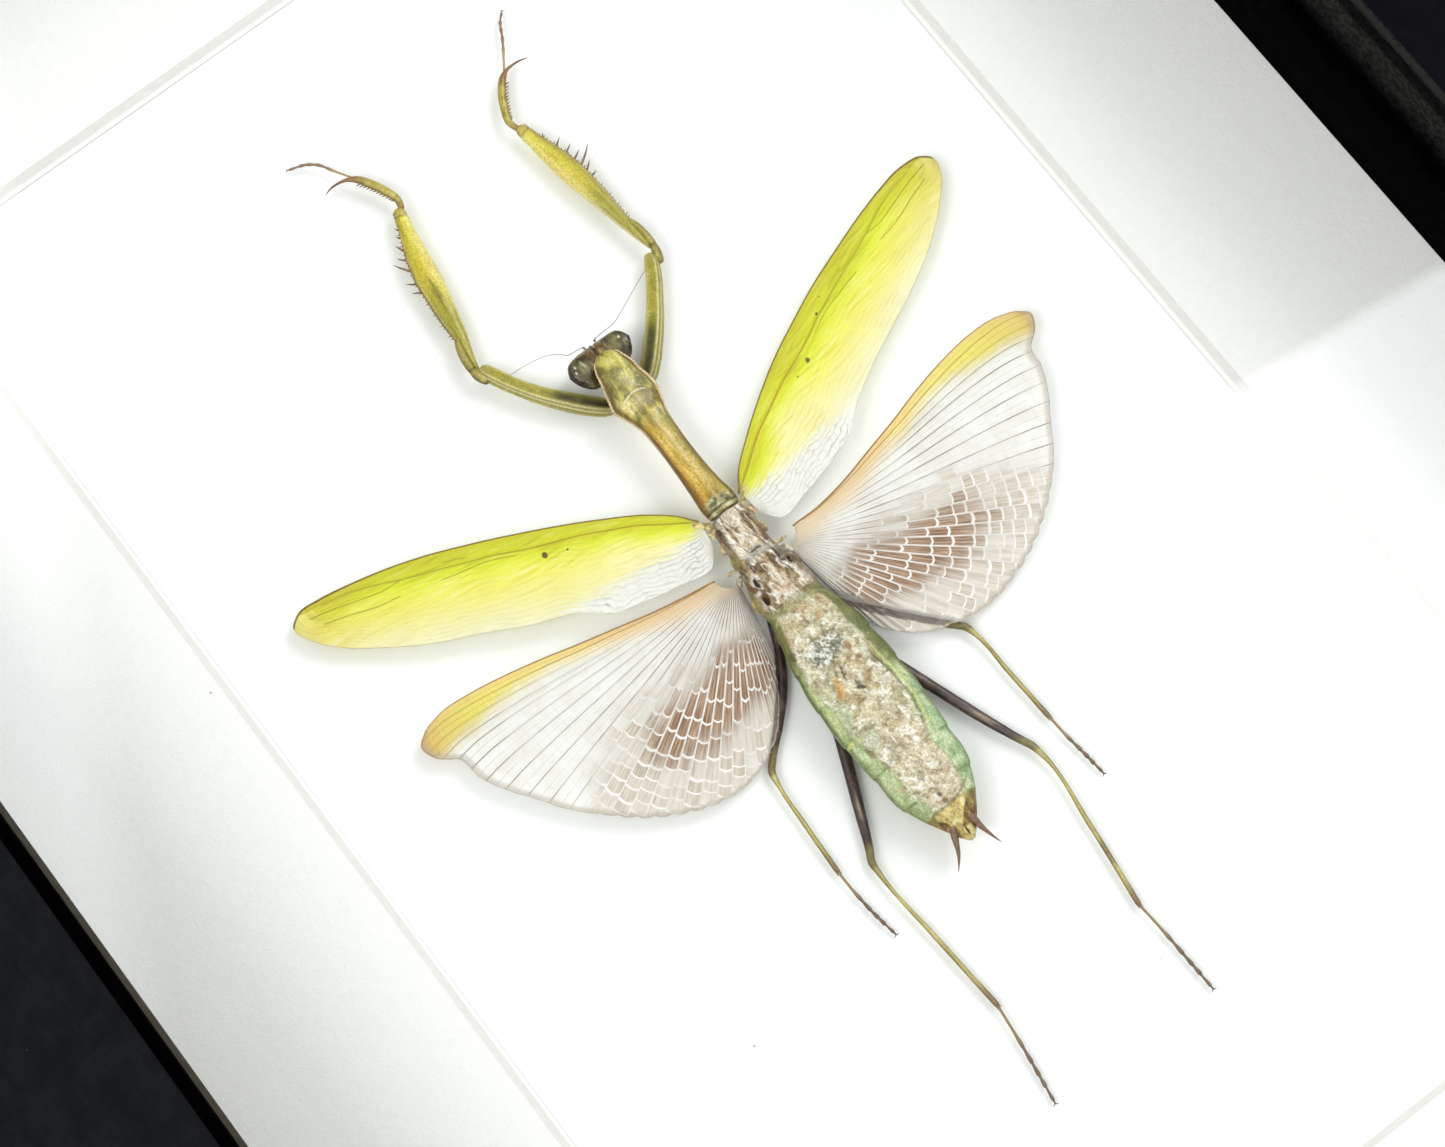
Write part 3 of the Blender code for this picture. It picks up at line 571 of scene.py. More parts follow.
def frameRail(name, sightLength, sightOffset, turn, material, look):
    # The section carried along X; each end slides outwards with the distance from the sight
    # edge, so that it is cut at 45 degrees; flat faces close both ends
    section = railSection(look)
    out, height, edge = section.T
    half = sightLength / 2 - look["mitreGap"] / math.sqrt(2)
    stations = np.linspace(-1, 1, 41)
    x = stations[:, None] * (half + out[None, :])
    out, height = np.broadcast_to(out, x.shape), np.broadcast_to(height, x.shape)
    rings = np.stack([x, sightOffset + out, height], -1)
    rows, sides, _ = rings.shape
    flat = rings.reshape(-1, 3) @ np.array(Matrix.Rotation(turn, 3, "Z")).T
    quads = gridFaces(rows, sides, True)
    ends = [list(range(sides)), list(range((rows - 1) * sides, rows * sides))]
    mesh = bpy.data.meshes.new(name)
    mesh.from_pydata((flat * mm).tolist(), [], quads.tolist() + [ends[0], ends[1][::-1]])
    addMark(mesh, "edge", "FLOAT", "value", np.broadcast_to(edge, x.shape))
    addMark(mesh, "fromSight", "FLOAT", "value", out)
    addMark(mesh, "grainAlong", "FLOAT_VECTOR", "vector",
            np.stack([x * look["grainLength"], out, height], -1))
    mesh.validate()
    fixNormals(mesh)
    placeMesh(name, mesh, material, [name.replace("Rail", "_rail_").lower()])
    mesh.set_sharp_from_angle(angle=math.radians(look["sharpAngle"]))


def fixNormals(mesh):
    # faces turned outwards
    work = bmesh.new()
    work.from_mesh(mesh)
    bmesh.ops.recalc_face_normals(work, faces=work.faces)
    work.to_mesh(mesh)
    work.free()


def paintedWood(look):
    # black paint: grain streaks and blotches, painted light as a grey band on the right rail's inner wall,
    # and rubbed edges
    material, shader = newMaterial("blackMoulding", 0.62, Specular_IOR_Level=0.0, Coat_Roughness=0.42)
    place = objectPlace()
    grainPlace = attributeOf("grainAlong", "Vector")
    streaks = noiseOf(grainPlace, 2.2, 4.0, 0.6)
    blotches = noiseOf(place, 260.0, 5.0, 0.62)
    paint = mixed(between(blotches, 0.35, 0.7), look["paint"] * 0.82, look["paint"] * 1.22)
    paint = mixed(between(streaks, 0.45, 0.72) * 0.35, paint, look["paint"] * 0.55)
    edge = attributeOf("edge")
    upward = addNode("SeparateXYZ", {0: addNode("NewGeometry")["Normal"]})[2]
    sideways, _, height = addNode("SeparateXYZ", {0: place})
    fromSight = attributeOf("fromSight")
    outer = between(fromSight, look["face"] - 1.2, look["face"] - 0.3)
    # the right rail's inner wall stands 0.0959 m from the middle; a mottled grey band of painted light lies
    # on its upper part
    onRight = between(sideways, 0.0955, 0.0957) * between(fromSight, 0.9, 3.5, 1.0, 0.0)
    mottle = noiseOf(place, 700.0, 5.0, 0.75)
    litWallBand = between(mottle * 0.008 + height, 0.0385, 0.0475)
    litWallBand = litWallBand * between(mottle * 0.002 + height, 0.0462, 0.0474, 1.0, 0.3)
    litWallBand = litWallBand * between(noiseOf(place, 1300.0, 4.0, 0.7), 0.4, 0.62, 0.35, 1.0)
    wall = mixed(litWallBand * onRight, look["wall"], look["dust"])
    # painted shade: the face turns darker towards the right rail
    paint = mixed(between(sideways, -0.05, 0.1, 0.0, 0.6), paint, look["far"])
    facing = highest(above(upward, 0.7), outer)
    paint = mixed(facing, wall, paint)
    edge = edge * highest(onRight, outer * 0.6)
    worn = useGroup(wornEdge, {"Color": paint, "Worn": look["bare"], "Edge": edge, "Amount": 0.5,
                               "Scale": 1500.0})
    feed(dustOn(worn["Color"], (70, 70, 72), 260.0, 0.055, 0.2, 0.5), shader, "Base Color")
    feed(between(blotches, 0.3, 0.75, 0.5, 0.66), shader, "Roughness")
    feed(outer * 0.35, shader, "Coat Weight")
    height = noiseOf(place, 1500.0, 4.0, 0.6) + streaks * 0.8
    bumpFrom(height, shader, 0.25, 0.00012)
    return material


blackPaint = paintedWood(frameLook)
halfWide, halfTall = frameLook["sight"][0] / 2, frameLook["sight"][1] / 2
for side, sightLength, offset, turn in (("Top", 2 * halfWide, halfTall, 0.0),
                                        ("Bottom", 2 * halfWide, halfTall, math.pi),
                                        ("Left", 2 * halfTall, halfWide, math.pi / 2),
                                        ("Right", 2 * halfTall, halfWide, -math.pi / 2)):
    frameRail("frameRail" + side, sightLength, offset, turn, blackPaint, frameLook)
print("frame rails made")


# The layers behind the lip keep their CAD meshes and get their finishes
def matBoardMaterial():
    # white face paper; the 45 degree cut of the window shows the paler core
    material, shader = newMaterial("whiteMatBoard", 0.9)
    normal = addNode("NewGeometry")["Normal"]
    upward = addNode("SeparateXYZ", {0: normal})[2]
    place = objectPlace()
    face = above(upward, 0.9)
    fibres = noiseOf(place, 1100.0, 6.0, 0.7)
    paper = mixed(between(fibres, 0.3, 0.7), (250, 250, 247), (254, 254, 252))
    layers = noiseOf(place, 900.0, 3.0, 0.6, (1.0, 1.0, 7.0))
    core = mixed(between(layers, 0.35, 0.65), (224, 224, 219), (232, 232, 227))
    # painted light: the foot of the cut, by the board, is painted as pale as the face, for light that
    # bounces onto it
    depth = addNode("SeparateXYZ", {0: place})[2]
    core = mixed(between(depth, 0.0109, 0.0112), (250, 250, 247), core)
    grained = grainOn(mixed(face, core, paper), 2600.0, 0.05, 0.05)
    feed(dustOn(grained["Color"], (120, 112, 104), 150.0, 0.03, 0.1, 0.55), shader, "Base Color")
    bumpFrom(grained["Height"] + fibres, shader, 0.4, 0.00014)
    return material


def backingMaterial():
    # smooth white board with a faint tooth and a few specks shed by the specimen
    material, shader = newMaterial("whiteBackingBoard", 0.85)
    place = objectPlace()
    tooth = noiseOf(place, 2200.0, 4.0, 0.6)
    broad = noiseOf(place, 40.0, 3.0, 0.5)
    paper = mixed(between(broad, 0.35, 0.65), (249, 250, 249), (252, 253, 253))
    grained = grainOn(paper, 1700.0, 0.025, 0.02)
    feed(dustOn(grained["Color"], (110, 100, 88), 130.0, 0.03, 0.16, 0.6), shader, "Base Color")
    bumpFrom(tooth, shader, 0.2, 0.00005)
    return material


def spacerMaterial():
    # black coated strip, a little glossier than the frame
    material, shader = newMaterial("blackSpacer", 0.6, Specular_IOR_Level=0.0)
    place = objectPlace()
    blotches = noiseOf(place, 500.0, 4.0, 0.6)
    coat = mixed(between(blotches, 0.3, 0.7), (3, 3, 3), (8, 8, 9))
    # painted light: the lower part of the left strip's inner face is painted warm grey, for the white mat
    # that it reflects
    sideways, _, height = addNode("SeparateXYZ", {0: place})
    litStrip = below(sideways, -0.0957) * between(height, 0.0235, 0.026, 1.0, 0.0)
    coat = mixed(litStrip, coat, mixed(blotches, (44, 41, 37), (92, 87, 78)))
    feed(dustOn(coat, (110, 110, 110), 240.0, 0.04, 0.15, 0.5), shader, "Base Color")
    feed(between(blotches, 0.3, 0.7, 0.5, 0.66), shader, "Roughness")
    bumpFrom(noiseOf(place, 1800.0, 3.0), shader, 0.2, 0.00008)
    return material


def hardboardMaterial():
    # pressed brown fibres, darker flecks and the faint net of the press screen
    material, shader = newMaterial("brownHardboard", 0.72)
    place = objectPlace()
    fibres = noiseOf(place, 700.0, 6.0, 0.7, (1.0, 0.35, 1.0))
    flecks = noiseOf(place, 420.0, 3.0, 0.75)
    colour = rampOf(fibres, [(0.3, (74, 50, 32)), (0.5, (112, 80, 52)), (0.72, (146, 110, 76))])
    colour = mixed(between(flecks, 0.62, 0.72, 0.0, 0.6), colour, (58, 38, 24))
    screen = addNode("TexVoronoi", {"Vector": place, "Scale": 700.0}, distance="MANHATTAN")["Distance"]
    feed(colour, shader, "Base Color")
    bumpFrom(fibres + screen, shader, 0.5, 0.00012)
    return material


def glassMaterial():
    # clear glass; light that only passes through on its way to the mount goes straight on
    material, shader = newMaterial("pictureGlass", 0.0, Transmission_Weight=1.0, IOR=1.46)
    place = objectPlace()
    tint = noiseOf(place, 9.0, 2.0)
    feed(mixed(tint, (0.985, 0.992, 0.99, 1), (0.992, 0.996, 0.996, 1)), shader, "Base Color")
    through = addNode("BsdfTransparent", {0: (0.97, 0.98, 0.98, 1)})
    path = addNode("LightPath")
    soft = highest(path["Is Shadow Ray"], path["Is Diffuse Ray"])
    choice = addNode("MixShader", {0: soft, 1: shader.outputs[0], 2: through[0]})
    output = material.node_tree.nodes["Material Output"]
    join(choice[0], output.inputs["Surface"])
    return material


def dressNode(name, material):
    # the material in place of a CAD node's own
    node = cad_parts[name]
    node.data.materials.clear()
    node.data.materials.append(material)


dressNode("mat", matBoardMaterial())
dressNode("backing_board", backingMaterial())
dressNode("back_panel", hardboardMaterial())
dressNode("glass_pane", glassMaterial())
spacerCoat = spacerMaterial()
for side in ("top", "bottom", "left", "right"):
    dressNode("spacer_" + side, spacerCoat)
print("layers dressed")


def closedSheet(grid, thickness, marks):
    # A thin closed sheet: the grid moved half its thickness along its normal to both sides,
    # with a rim of faces between the two borders
    rows, columns, _ = grid.shape
    normal = np.cross(np.gradient(grid, axis=0), np.gradient(grid, axis=1))
    normal /= np.linalg.norm(normal, axis=2)[..., None] + 1e-12
    shift = normal * np.broadcast_to(thickness, (rows, columns))[..., None] / 2
    points = np.vstack([(grid + shift).reshape(-1, 3), (grid - shift).reshape(-1, 3)])
    number = np.arange(rows * columns).reshape(rows, columns)
    border = np.concatenate([number[0, :-1], number[:-1, -1], number[-1, :0:-1], number[:0:-1, 0]])
    following = np.roll(border, -1)
    count = rows * columns
    top = gridFaces(rows, columns)
    rim = np.stack([border, following, following + count, border + count], 1)
    quads = np.vstack([top, top[:, ::-1] + count, rim])
    quads, _ = facingOut(points, quads, np.zeros((0, 3), int))
    kept = {name: np.vstack([values.reshape(count, -1)] * 2) for name, values in marks.items()}
    return {"points": points, "quads": quads, "triangles": np.zeros((0, 3), int), "marks": kept}


def ribTube(path, radius, marks, sides=8):
    # a round rib along a path, with the same marks all along
    rings, _ = tubeRings(path, radius, radius, sides)
    shape = rings.shape[:2]
    return closedSkin(rings, {name: np.broadcast_to(value, shape) for name, value in marks.items()})


def laidOn(grid, line, rise):
    # the height of the nearest grid point under each point of a flat line, plus a rise
    flat = grid.reshape(-1, 3)
    apart = ((line[:, None, :2] - flat[None, :, :2]) ** 2).sum(2)
    return np.hstack([line[:, :2], flat[apart.argmin(1), 2:3] + rise])


forewingLook = {
    "left": (
        ((-3.3, 9.1), (-3.7, 5.5)), ((-4.7, 11.1), (-5.6, 3.3)), ((-8.0, 14.1), (-10.0, 3.9)),
        ((-13.0, 17.3), (-15.5, 5.2)), ((-18.5, 20.4), (-19.5, 6.5)), ((-23.0, 22.7), (-22.3, 9.0)),
        ((-28.0, 25.1), (-28.0, 11.5)), ((-33.5, 27.5), (-34.0, 14.7)), ((-39.0, 29.4), (-40.0, 17.7)),
        ((-44.0, 30.7), (-45.0, 21.0)), ((-48.0, 31.5), (-49.4, 24.5)), ((-51.3, 31.6), (-51.9, 27.6)),
        ((-52.9, 30.3), (-52.9, 30.3))),
    "right": (
        ((3.2, 9.0), (3.6, 5.5)), ((4.8, 11.3), (5.6, 3.2)), ((8.5, 14.5), (10.0, 3.9)),
        ((13.0, 17.8), (15.5, 5.4)), ((18.0, 21.0), (19.5, 6.9)), ((23.0, 23.6), (22.3, 9.2)),
        ((28.0, 26.0), (28.0, 12.7)), ((33.6, 28.2), (34.1, 15.7)), ((39.1, 30.2), (40.1, 18.8)),
        ((43.7, 31.6), (45.2, 22.1)), ((47.8, 32.4), (49.3, 25.7)), ((50.8, 32.1), (51.7, 28.6)),
        ((52.2, 30.8), (52.2, 30.8))),
    "baseHeight": 4.9,
    "tipHeight": 2.0,
    "arch": 0.7,
    "veins": 17,                  # lengthwise veins between the two edges
    "thickness": 0.1,
    "rows": 290,
    "columns": 88,
    # veins on the left wing; the right wing has them mirrored and a little higher
    "mainVein": ((-3.6, 9.2), (-7.0, 11.6), (-10.0, 13.8), (-13.0, 15.4), (-16.0, 17.0), (-21.0, 19.2),
                 (-23.4, 20.3), (-26.2, 21.8), (-30.0, 23.5), (-32.8, 24.7), (-38.4, 27.1), (-41.5, 28.6),
                 (-44.0, 29.6), (-48.0, 30.6)),
    "branches": (((-38.4, 27.0), (-40.8, 27.2), (-43.2, 27.9), (-47.0, 29.2), (-50.4, 30.1)),
                 ((-34.0, 23.6), (-31.0, 22.8), (-28.0, 22.0), (-24.5, 20.3)),
                 ((-49.4, 28.4), (-46.4, 27.4), (-42.8, 26.0), (-39.4, 25.2)),
                 ((-32.6, 25.4), (-31.2, 24.9), (-29.8, 24.2))),
    "lobeLine": ((-24.0, 9.6), (-22.0, 9.0), (-16.0, 8.6), (-10.0, 7.6), (-5.0, 7.4), (-3.0, 7.2)),
    "spotsLeft": ((-21.5, 17.9, 0.36), (-18.8, 16.7, 0.17), (-26.8, 21.4, 0.12)),
    "spotsRight": ((21.3, 18.2, 0.34), (18.9, 17.1, 0.15), (26.2, 22.6, 0.2), (28.0, 24.3, 0.16)),
}


def forewingGrid(pairs, look):
    # One smooth outline runs along the leading edge, round the tip and back; chords join the
    # two edges, arched by a sine, falling evenly from the base to the tip
    lead = np.array([pair[0] for pair in pairs])
    trail = np.array([pair[1] for pair in pairs])
    outline = np.vstack([lead, trail[-2::-1]])
    keys = lengthAlong(outline)
    count = len(lead)
    step = np.linspace(0, 1, look["rows"])
    row = (1 - (1 - step) ** 1.35) * (count - 1 - 0.03)
    leadPoint = smoothThrough(keys, outline, np.interp(row, np.arange(count), keys[:count]))
    trailPoint = smoothThrough(keys, outline, np.interp(row, np.arange(count), keys[count - 1:][::-1]))
    share = np.linspace(0, 1, look["columns"])
    flat = leadPoint[:, None] + (trailPoint - leadPoint)[:, None] * share[None, :, None]
    fall = (row / (count - 1))[:, None]
    height = look["baseHeight"] + (look["tipHeight"] - look["baseHeight"]) * fall
    height = height + look["arch"] * np.sin(math.pi * share)[None, :] * (1 - fall)
    return np.concatenate([flat, height[..., None]], 2), fall, share


def forewing(side, material, look):
    # the wing's sheet: crinkled lobe, flat rays and a raised main vein; ribs along edge, vein and branches
    title = side.capitalize()
    mirror = 1 if side == "left" else -1
    lift = 0.0 if side == "left" else 0.016

    def across(points):
        # a vein of the left wing carried over to this wing
        points = np.array(points, float)
        return np.stack([points[:, 0] * mirror, points[:, 1] + lift * np.abs(points[:, 0])], 1)

    grid, fall, share = forewingGrid(look[side], look)
    x, y = grid[..., 0], grid[..., 1]
    main = smoothLine(across(look["mainVein"]), 120, 2)
    lobe = across(look["lobeLine"])
    band = fromLine(main, x, y) * mirror * -1
    lobePlace = fromLine(lobe, x, y) * mirror * -1
    chord = np.linalg.norm(grid[:, -1] - grid[:, 0], axis=1)[:, None]
    edge = np.minimum(share[None, :], 1 - share[None, :]) * chord
    branches = [smoothLine(across(branch), 40, 2) for branch in look["branches"]]
    branch = np.min([np.abs(fromLine(line, x, y)) for line in branches], 0)
    spots = [np.hypot(x - sx, (y - sy) * 0.8) / radius for sx, sy, radius in look["spots" + title]]
    spotPlace = np.min(spots, 0)
    inLobe = ease(lobePlace, 0.0, 0.8)
    crinkle = clouds(x, y * 1.6, 0.0, 2.2, 11, 3)
    ripple = clouds(x * 0.35, y, 0.0, 1.1, 5, 2)
    margin = ease(edge, 0.0, 0.6)
    grid[..., 2] += 0.16 * crinkle * inLobe + 0.05 * ripple * (1 - inLobe)
    wander = 2.4 * clouds(x * 0.16, y * 0.16, 0.0, 1.0, 8, 2)
    grid[..., 2] += (0.016 * np.cos((share * look["veins"])[None, :] * 2 * math.pi + wander) * (1 - inLobe)
                     * margin)
    grid[..., 2] += 0.07 * bell(band, 0.0, 0.22) - 0.06 * bell(np.abs(band), 0.55, 0.3)
    thickness = look["thickness"] * (0.45 + 0.55 * margin)
    along = np.broadcast_to(lengthAlong(grid[:, 0])[:, None], x.shape)
    marks = {"band": band, "lobe": lobePlace, "edge": edge, "branch": branch, "spot": spotPlace,
             "fall": np.broadcast_to(fall, x.shape), "along": along,
             "share": np.broadcast_to(share[None, :], x.shape),
             "chord": np.broadcast_to(chord, x.shape), "rib": np.zeros(x.shape)}
    sheet = closedSheet(grid, thickness, marks)
    edgeLine = grid[:, 0] + np.array([0.0, 0.0, 0.01])
    size = 0.085 + 0.04 * ease(fall[:, 0], 0.6, 0.95) + 0.07 * (1 - ease(fall[:, 0], 0.0, 0.12))
    parts = [sheet, ribTube(edgeLine[::2], (size * ease(1 - fall[:, 0], -0.02, 0.03))[::2] + 0.02,
                            ribMarks(marks, 1.0))]
    veinPath = laidOn(grid, main, 0.03)
    parts.append(ribTube(veinPath, np.linspace(0.1, 0.04, len(veinPath)), ribMarks(marks, 0.6), 6))
    for line in branches:
        path = laidOn(grid, line, 0.02)
        parts.append(ribTube(path, np.full(len(path), 0.05), ribMarks(marks, 0.55), 6))
    putPiece("forewing" + title, parts, material, ["forewing_" + side])


def ribMarks(marks, value):
    # a rib carries the same attributes as its wing, with only rib set
    kept = {name: 3.0 for name in marks}
    kept["rib"] = value
    kept["lobe"] = -5.0
    kept["fall"] = 0.5
    return kept


def forewingMaterial(look):
    # Colour by distance from the main vein, from the cream trailing field through lime to the
    # leading strip, then the net of fine veins, the spots and the clear lobe
    material, shader = newMaterial("forewingMembrane", 0.42, Specular_IOR_Level=0.45)
    place = objectPlace()
    band, lobe, edge = attributeOf("band"), attributeOf("lobe"), attributeOf("edge")
    fall, share, chord = attributeOf("fall"), attributeOf("share"), attributeOf("chord")
    drift = noiseOf(place, 110.0, 3.0) - 0.5
    factor = (drift * 3.2 + band + 12.0) / 17.0
    colour = rampOf(factor, [
        (0.03, (253, 251, 238)), (0.12, (251, 249, 220)), (0.235, (251, 247, 192)),
        (0.35, (250, 244, 152)), (0.47, (248, 242, 112)), (0.56, (240, 240, 84)),
        (0.635, (228, 234, 54)), (0.69, (214, 222, 34)), (0.74, (210, 212, 30)),
        (0.9, (200, 192, 36))])
    towardsTip = between(drift * 0.12 + fall, 0.66, 0.93)
    tipColour = rampOf(factor, [
        (0.2, (246, 234, 176)), (0.5, (242, 228, 124)), (0.66, (224, 214, 62)), (0.8, (202, 182, 52))])
    colour = mixed(towardsTip * 0.75, colour, tipColour)
    fromVein = absolute(drift * 0.8 + band + 0.1)
    midSpan = between(fall, 0.1, 0.17) * (1 - between(fall, 0.36, 0.5))
    golden = (1 - between(fromVein, 0.15, 0.75)) * midSpan
    golden = golden * between(noiseOf(place, 260.0, 3.0), 0.3, 0.6, 0.3, 0.9)
    colour = mixed(golden * 0.5, colour, (222, 196, 26))
    rootWard = 1 - between(drift * 0.05 + fall, 0.015, 0.09)
    colour = mixed(rootWard * 0.7, colour, (214, 200, 140))
    creamRoot = between(drift * 0.2 + fall, 0.12, 0.4, 0.75, 0.0) * between(factor, 0.42, 0.66, 1.0, 0.0)
    colour = mixed(creamRoot, colour, (252, 249, 212))

    # faint streaks that lean from the main vein to the tip, pale ones behind it, deep ones in the lime
    along = attributeOf("along")
    leaning = pairOf((along * 0.24 + band) * 2.4, (band * -0.24 + along) * 0.12)
    streaks = noiseOf(leaning, 1.0, 4.0, 0.62)
    paleStreak = between(streaks, 0.53, 0.66) * between(factor, 0.5, 0.7, 0.42, 0.12)
    colour = mixed(paleStreak, colour, (252, 247, 196))
    deepStreak = between(streaks, 0.47, 0.36) * between(factor, 0.3, 0.62, 0.2, 0.45)
    colour = mixed(deepStreak, colour, mixed(1.0, colour, (214, 210, 120), "MULTIPLY"))

    distort = (noiseOf(place, 150.0, 4.0) - 0.5) * 0.2
    veins, fineVeins, lobeVeins = look["veins"], look["veins"] * 3, 16
    cell, fineCell, lobeCell = 0.75, 0.32, 1.7
    net = cellNet((share + distort) * veins, along / cell, chord / veins, cell, 0.08, 0.05)
    fineRay = (share + distort * 1.4) * fineVeins
    fineNet = cellNet(fineRay, along / fineCell, chord / fineVeins, fineCell, 0.05, 0.035)
    deeper = mixed(1.0, colour, (222, 206, 152), "MULTIPLY")
    lines = highest(net["Rib"] * 0.5, net["Bar"] * 0.14)
    lines = highest(lines, highest(fineNet["Rib"], fineNet["Bar"]) * 0.2)
    patchy = between(noiseOf(place, 210.0, 3.0), 0.4, 0.66, 0.08, 1.0)
    colour = mixed(lines * patchy, colour, deeper)
    branchMask = 1 - between(attributeOf("branch"), 0.03, 0.13)
    colour = mixed(branchMask * 0.7, colour, (150, 146, 30))
    mainMask = 1 - between(absolute(band), 0.04, 0.2)
    colour = mixed(mainMask * 0.5, colour, (176, 168, 26))

    # the clear lobe keeps only grey veins
    streaky = noiseOf(pairOf(share * 34.0, along * 0.07), 1.0, 3.0, 0.6) - 0.5
    toLobe = streaky * 4.5 + drift * 2.0 + lobe
    inLobe = between(toLobe, -1.5, 0.6)
    lobeRay = (share + distort * 2.2) * lobeVeins
    lobeNet = cellNet(lobeRay, along / lobeCell, chord / lobeVeins, lobeCell, 0.1, 0.09)
    lobeVein = highest(lobeNet["Rib"] * 0.9, lobeNet["Bar"] * 0.7)
    lobeVein = lobeVein * between(noiseOf(place, 300.0, 3.0), 0.3, 0.7, 0.4, 0.9)
    lobeColour = mixed(lobeVein, (255, 255, 251), (180, 176, 158))
    colour = mixed(inLobe, colour, lobeColour)

    spotMask = 1 - between((noiseOf(place, 1400.0, 2.0) - 0.5) * 1.4 + attributeOf("spot"), 0.8, 1.15)
    colour = mixed(spotMask * 0.92, colour, (66, 50, 18))
    thinEdge = 1 - between(edge, 0.0, 0.16)
    edgeBrown = thinEdge * between(fall, 0.25, 0.95, 0.15, 0.8)
    colour = mixed(edgeBrown * (1 - inLobe), colour, (164, 132, 72))
    ribColour = rampOf(attributeOf("rib"), [(0.0, (160, 150, 40)), (0.6, (178, 168, 34)),
                                            (0.99, (136, 116, 48))])
    isRib = above(attributeOf("rib"), 0.3)
    ribColour = mixed(noiseOf(place, 2400.0, 2.0), ribColour, mixed(0.4, ribColour, (74, 58, 24)))
    colour = mixed(isRib, colour, ribColour)
    grained = grainOn(colour, 2600.0, 0.1, 0.08)
    feed(grained["Color"], shader, "Base Color")

    opacity = ((0.1, 0.6), (0.45, 0.74), (0.7, 0.86))
    wingAlpha = rampOf(factor, [(at, np.full(3, alpha)) for at, alpha in opacity])
    alpha = mixed(inLobe, wingAlpha, mixed(lobeVein, (0.5, 0.5, 0.5, 1), (0.72, 0.72, 0.72, 1)))
    alpha = mixed(highest(isRib, spotMask), alpha, (1, 1, 1, 1))
    feed(alpha, shader, "Alpha")
    bumpFrom(lines + grained["Height"] * 0.35 + lobeVein * 1.2, shader, 0.5, 0.00006)
    return material


limeMembrane = forewingMaterial(forewingLook)
forewing("left", limeMembrane, forewingLook)
forewing("right", limeMembrane, forewingLook)
print("forewings made")


hindwingLook = {
    # the leading edge from the hinge to the tip, then the margin round to the inner edge
    "leftLead": ((-3.9, 0.9), (-5.6, 1.5), (-10.0, 2.3), (-15.0, 3.3), (-20.0, 4.6), (-25.0, 5.9),
                 (-30.0, 7.3), (-35.0, 8.5), (-40.0, 9.4), (-44.0, 9.7), (-47.2, 9.1)),
    "leftMargin": ((-47.2, 9.1), (-49.0, 7.5), (-48.4, 5.4), (-45.8, 3.0), (-45.5, 0.3), (-43.8, -3.3),
                   (-41.5, -6.6), (-38.8, -10.5), (-35.5, -14.0), (-32.1, -17.1), (-28.2, -19.5),
                   (-23.9, -21.3), (-19.7, -21.8), (-16.1, -21.1), (-12.6, -19.3), (-9.8, -16.4),
                   (-7.7, -13.2), (-6.1, -10.2), (-5.2, -6.8), (-4.8, -3.0)),
    "rightLead": ((3.6, 0.7), (5.4, 1.3), (10.0, 1.5), (15.0, 2.3), (20.0, 3.6), (25.0, 4.9), (30.1, 6.4),
                  (35.2, 7.6), (40.3, 8.3), (44.1, 8.2), (47.2, 7.3)),
    "rightMargin": ((47.2, 7.3), (48.7, 5.8), (48.0, 4.1), (45.6, 1.8), (45.3, -0.6), (43.7, -4.2),
                    (41.3, -7.7), (39.1, -11.1), (36.1, -14.3), (32.5, -17.2), (28.6, -19.5), (24.2, -21.1),
                    (19.8, -21.9), (15.7, -21.4), (11.8, -20.2), (8.7, -17.9), (6.7, -15.0), (5.7, -11.8),
                    (5.1, -7.6), (4.6, -3.2)),
    # lower border of the coloured strip behind the leading edge
    "leftBand": ((-4.5, -0.5), (-8.0, -0.8), (-15.0, 0.8), (-20.0, 2.2), (-25.0, 3.8), (-30.0, 5.2),
                 (-35.0, 6.0), (-43.0, 5.5), (-48.5, 4.2)),
    "rightBand": ((4.5, -0.9), (8.0, -1.4), (15.0, -0.2), (20.0, 1.2), (25.0, 2.7), (30.0, 4.2),
                  (35.0, 5.0), (43.0, 4.1), (48.5, 2.6)),
    # the middle leg's thigh under the wing, where the membrane lies on it and shows it
    "leftLeg": ((-4.2, -8.0), (-7.3, -13.6), (-11.2, -17.9), (-14.4, -20.9), (-15.2, -22.4)),
    "rightLeg": ((4.2, -8.0), (7.9, -13.4), (11.4, -17.4), (14.6, -20.8), (15.6, -22.6)),
    # how far apart the radiating veins reach the margin, at lengths along it
    "spacingAt": (0, 9, 16, 22, 30, 40, 52, 60, 74),
    "spacing": (1.7, 2.2, 3.0, 2.8, 2.3, 2.3, 2.2, 1.9, 1.3),
    # upper border of the net of brown and grey cells, mirrored for the right wing
    "netLine": ((-3.0, -6.5), (-8.0, -6.2), (-17.0, -5.2), (-26.0, -5.4), (-32.0, -8.5), (-38.0, -14.5)),
    "perRay": 6,
    "innerCell": 3.9,
    "outerCell": 1.75,
    "rows": 120,
    "rootHeight": 4.4,
    "marginHeight": 2.4,
    "thickness": 0.08,
    "pleat": 0.14,
}


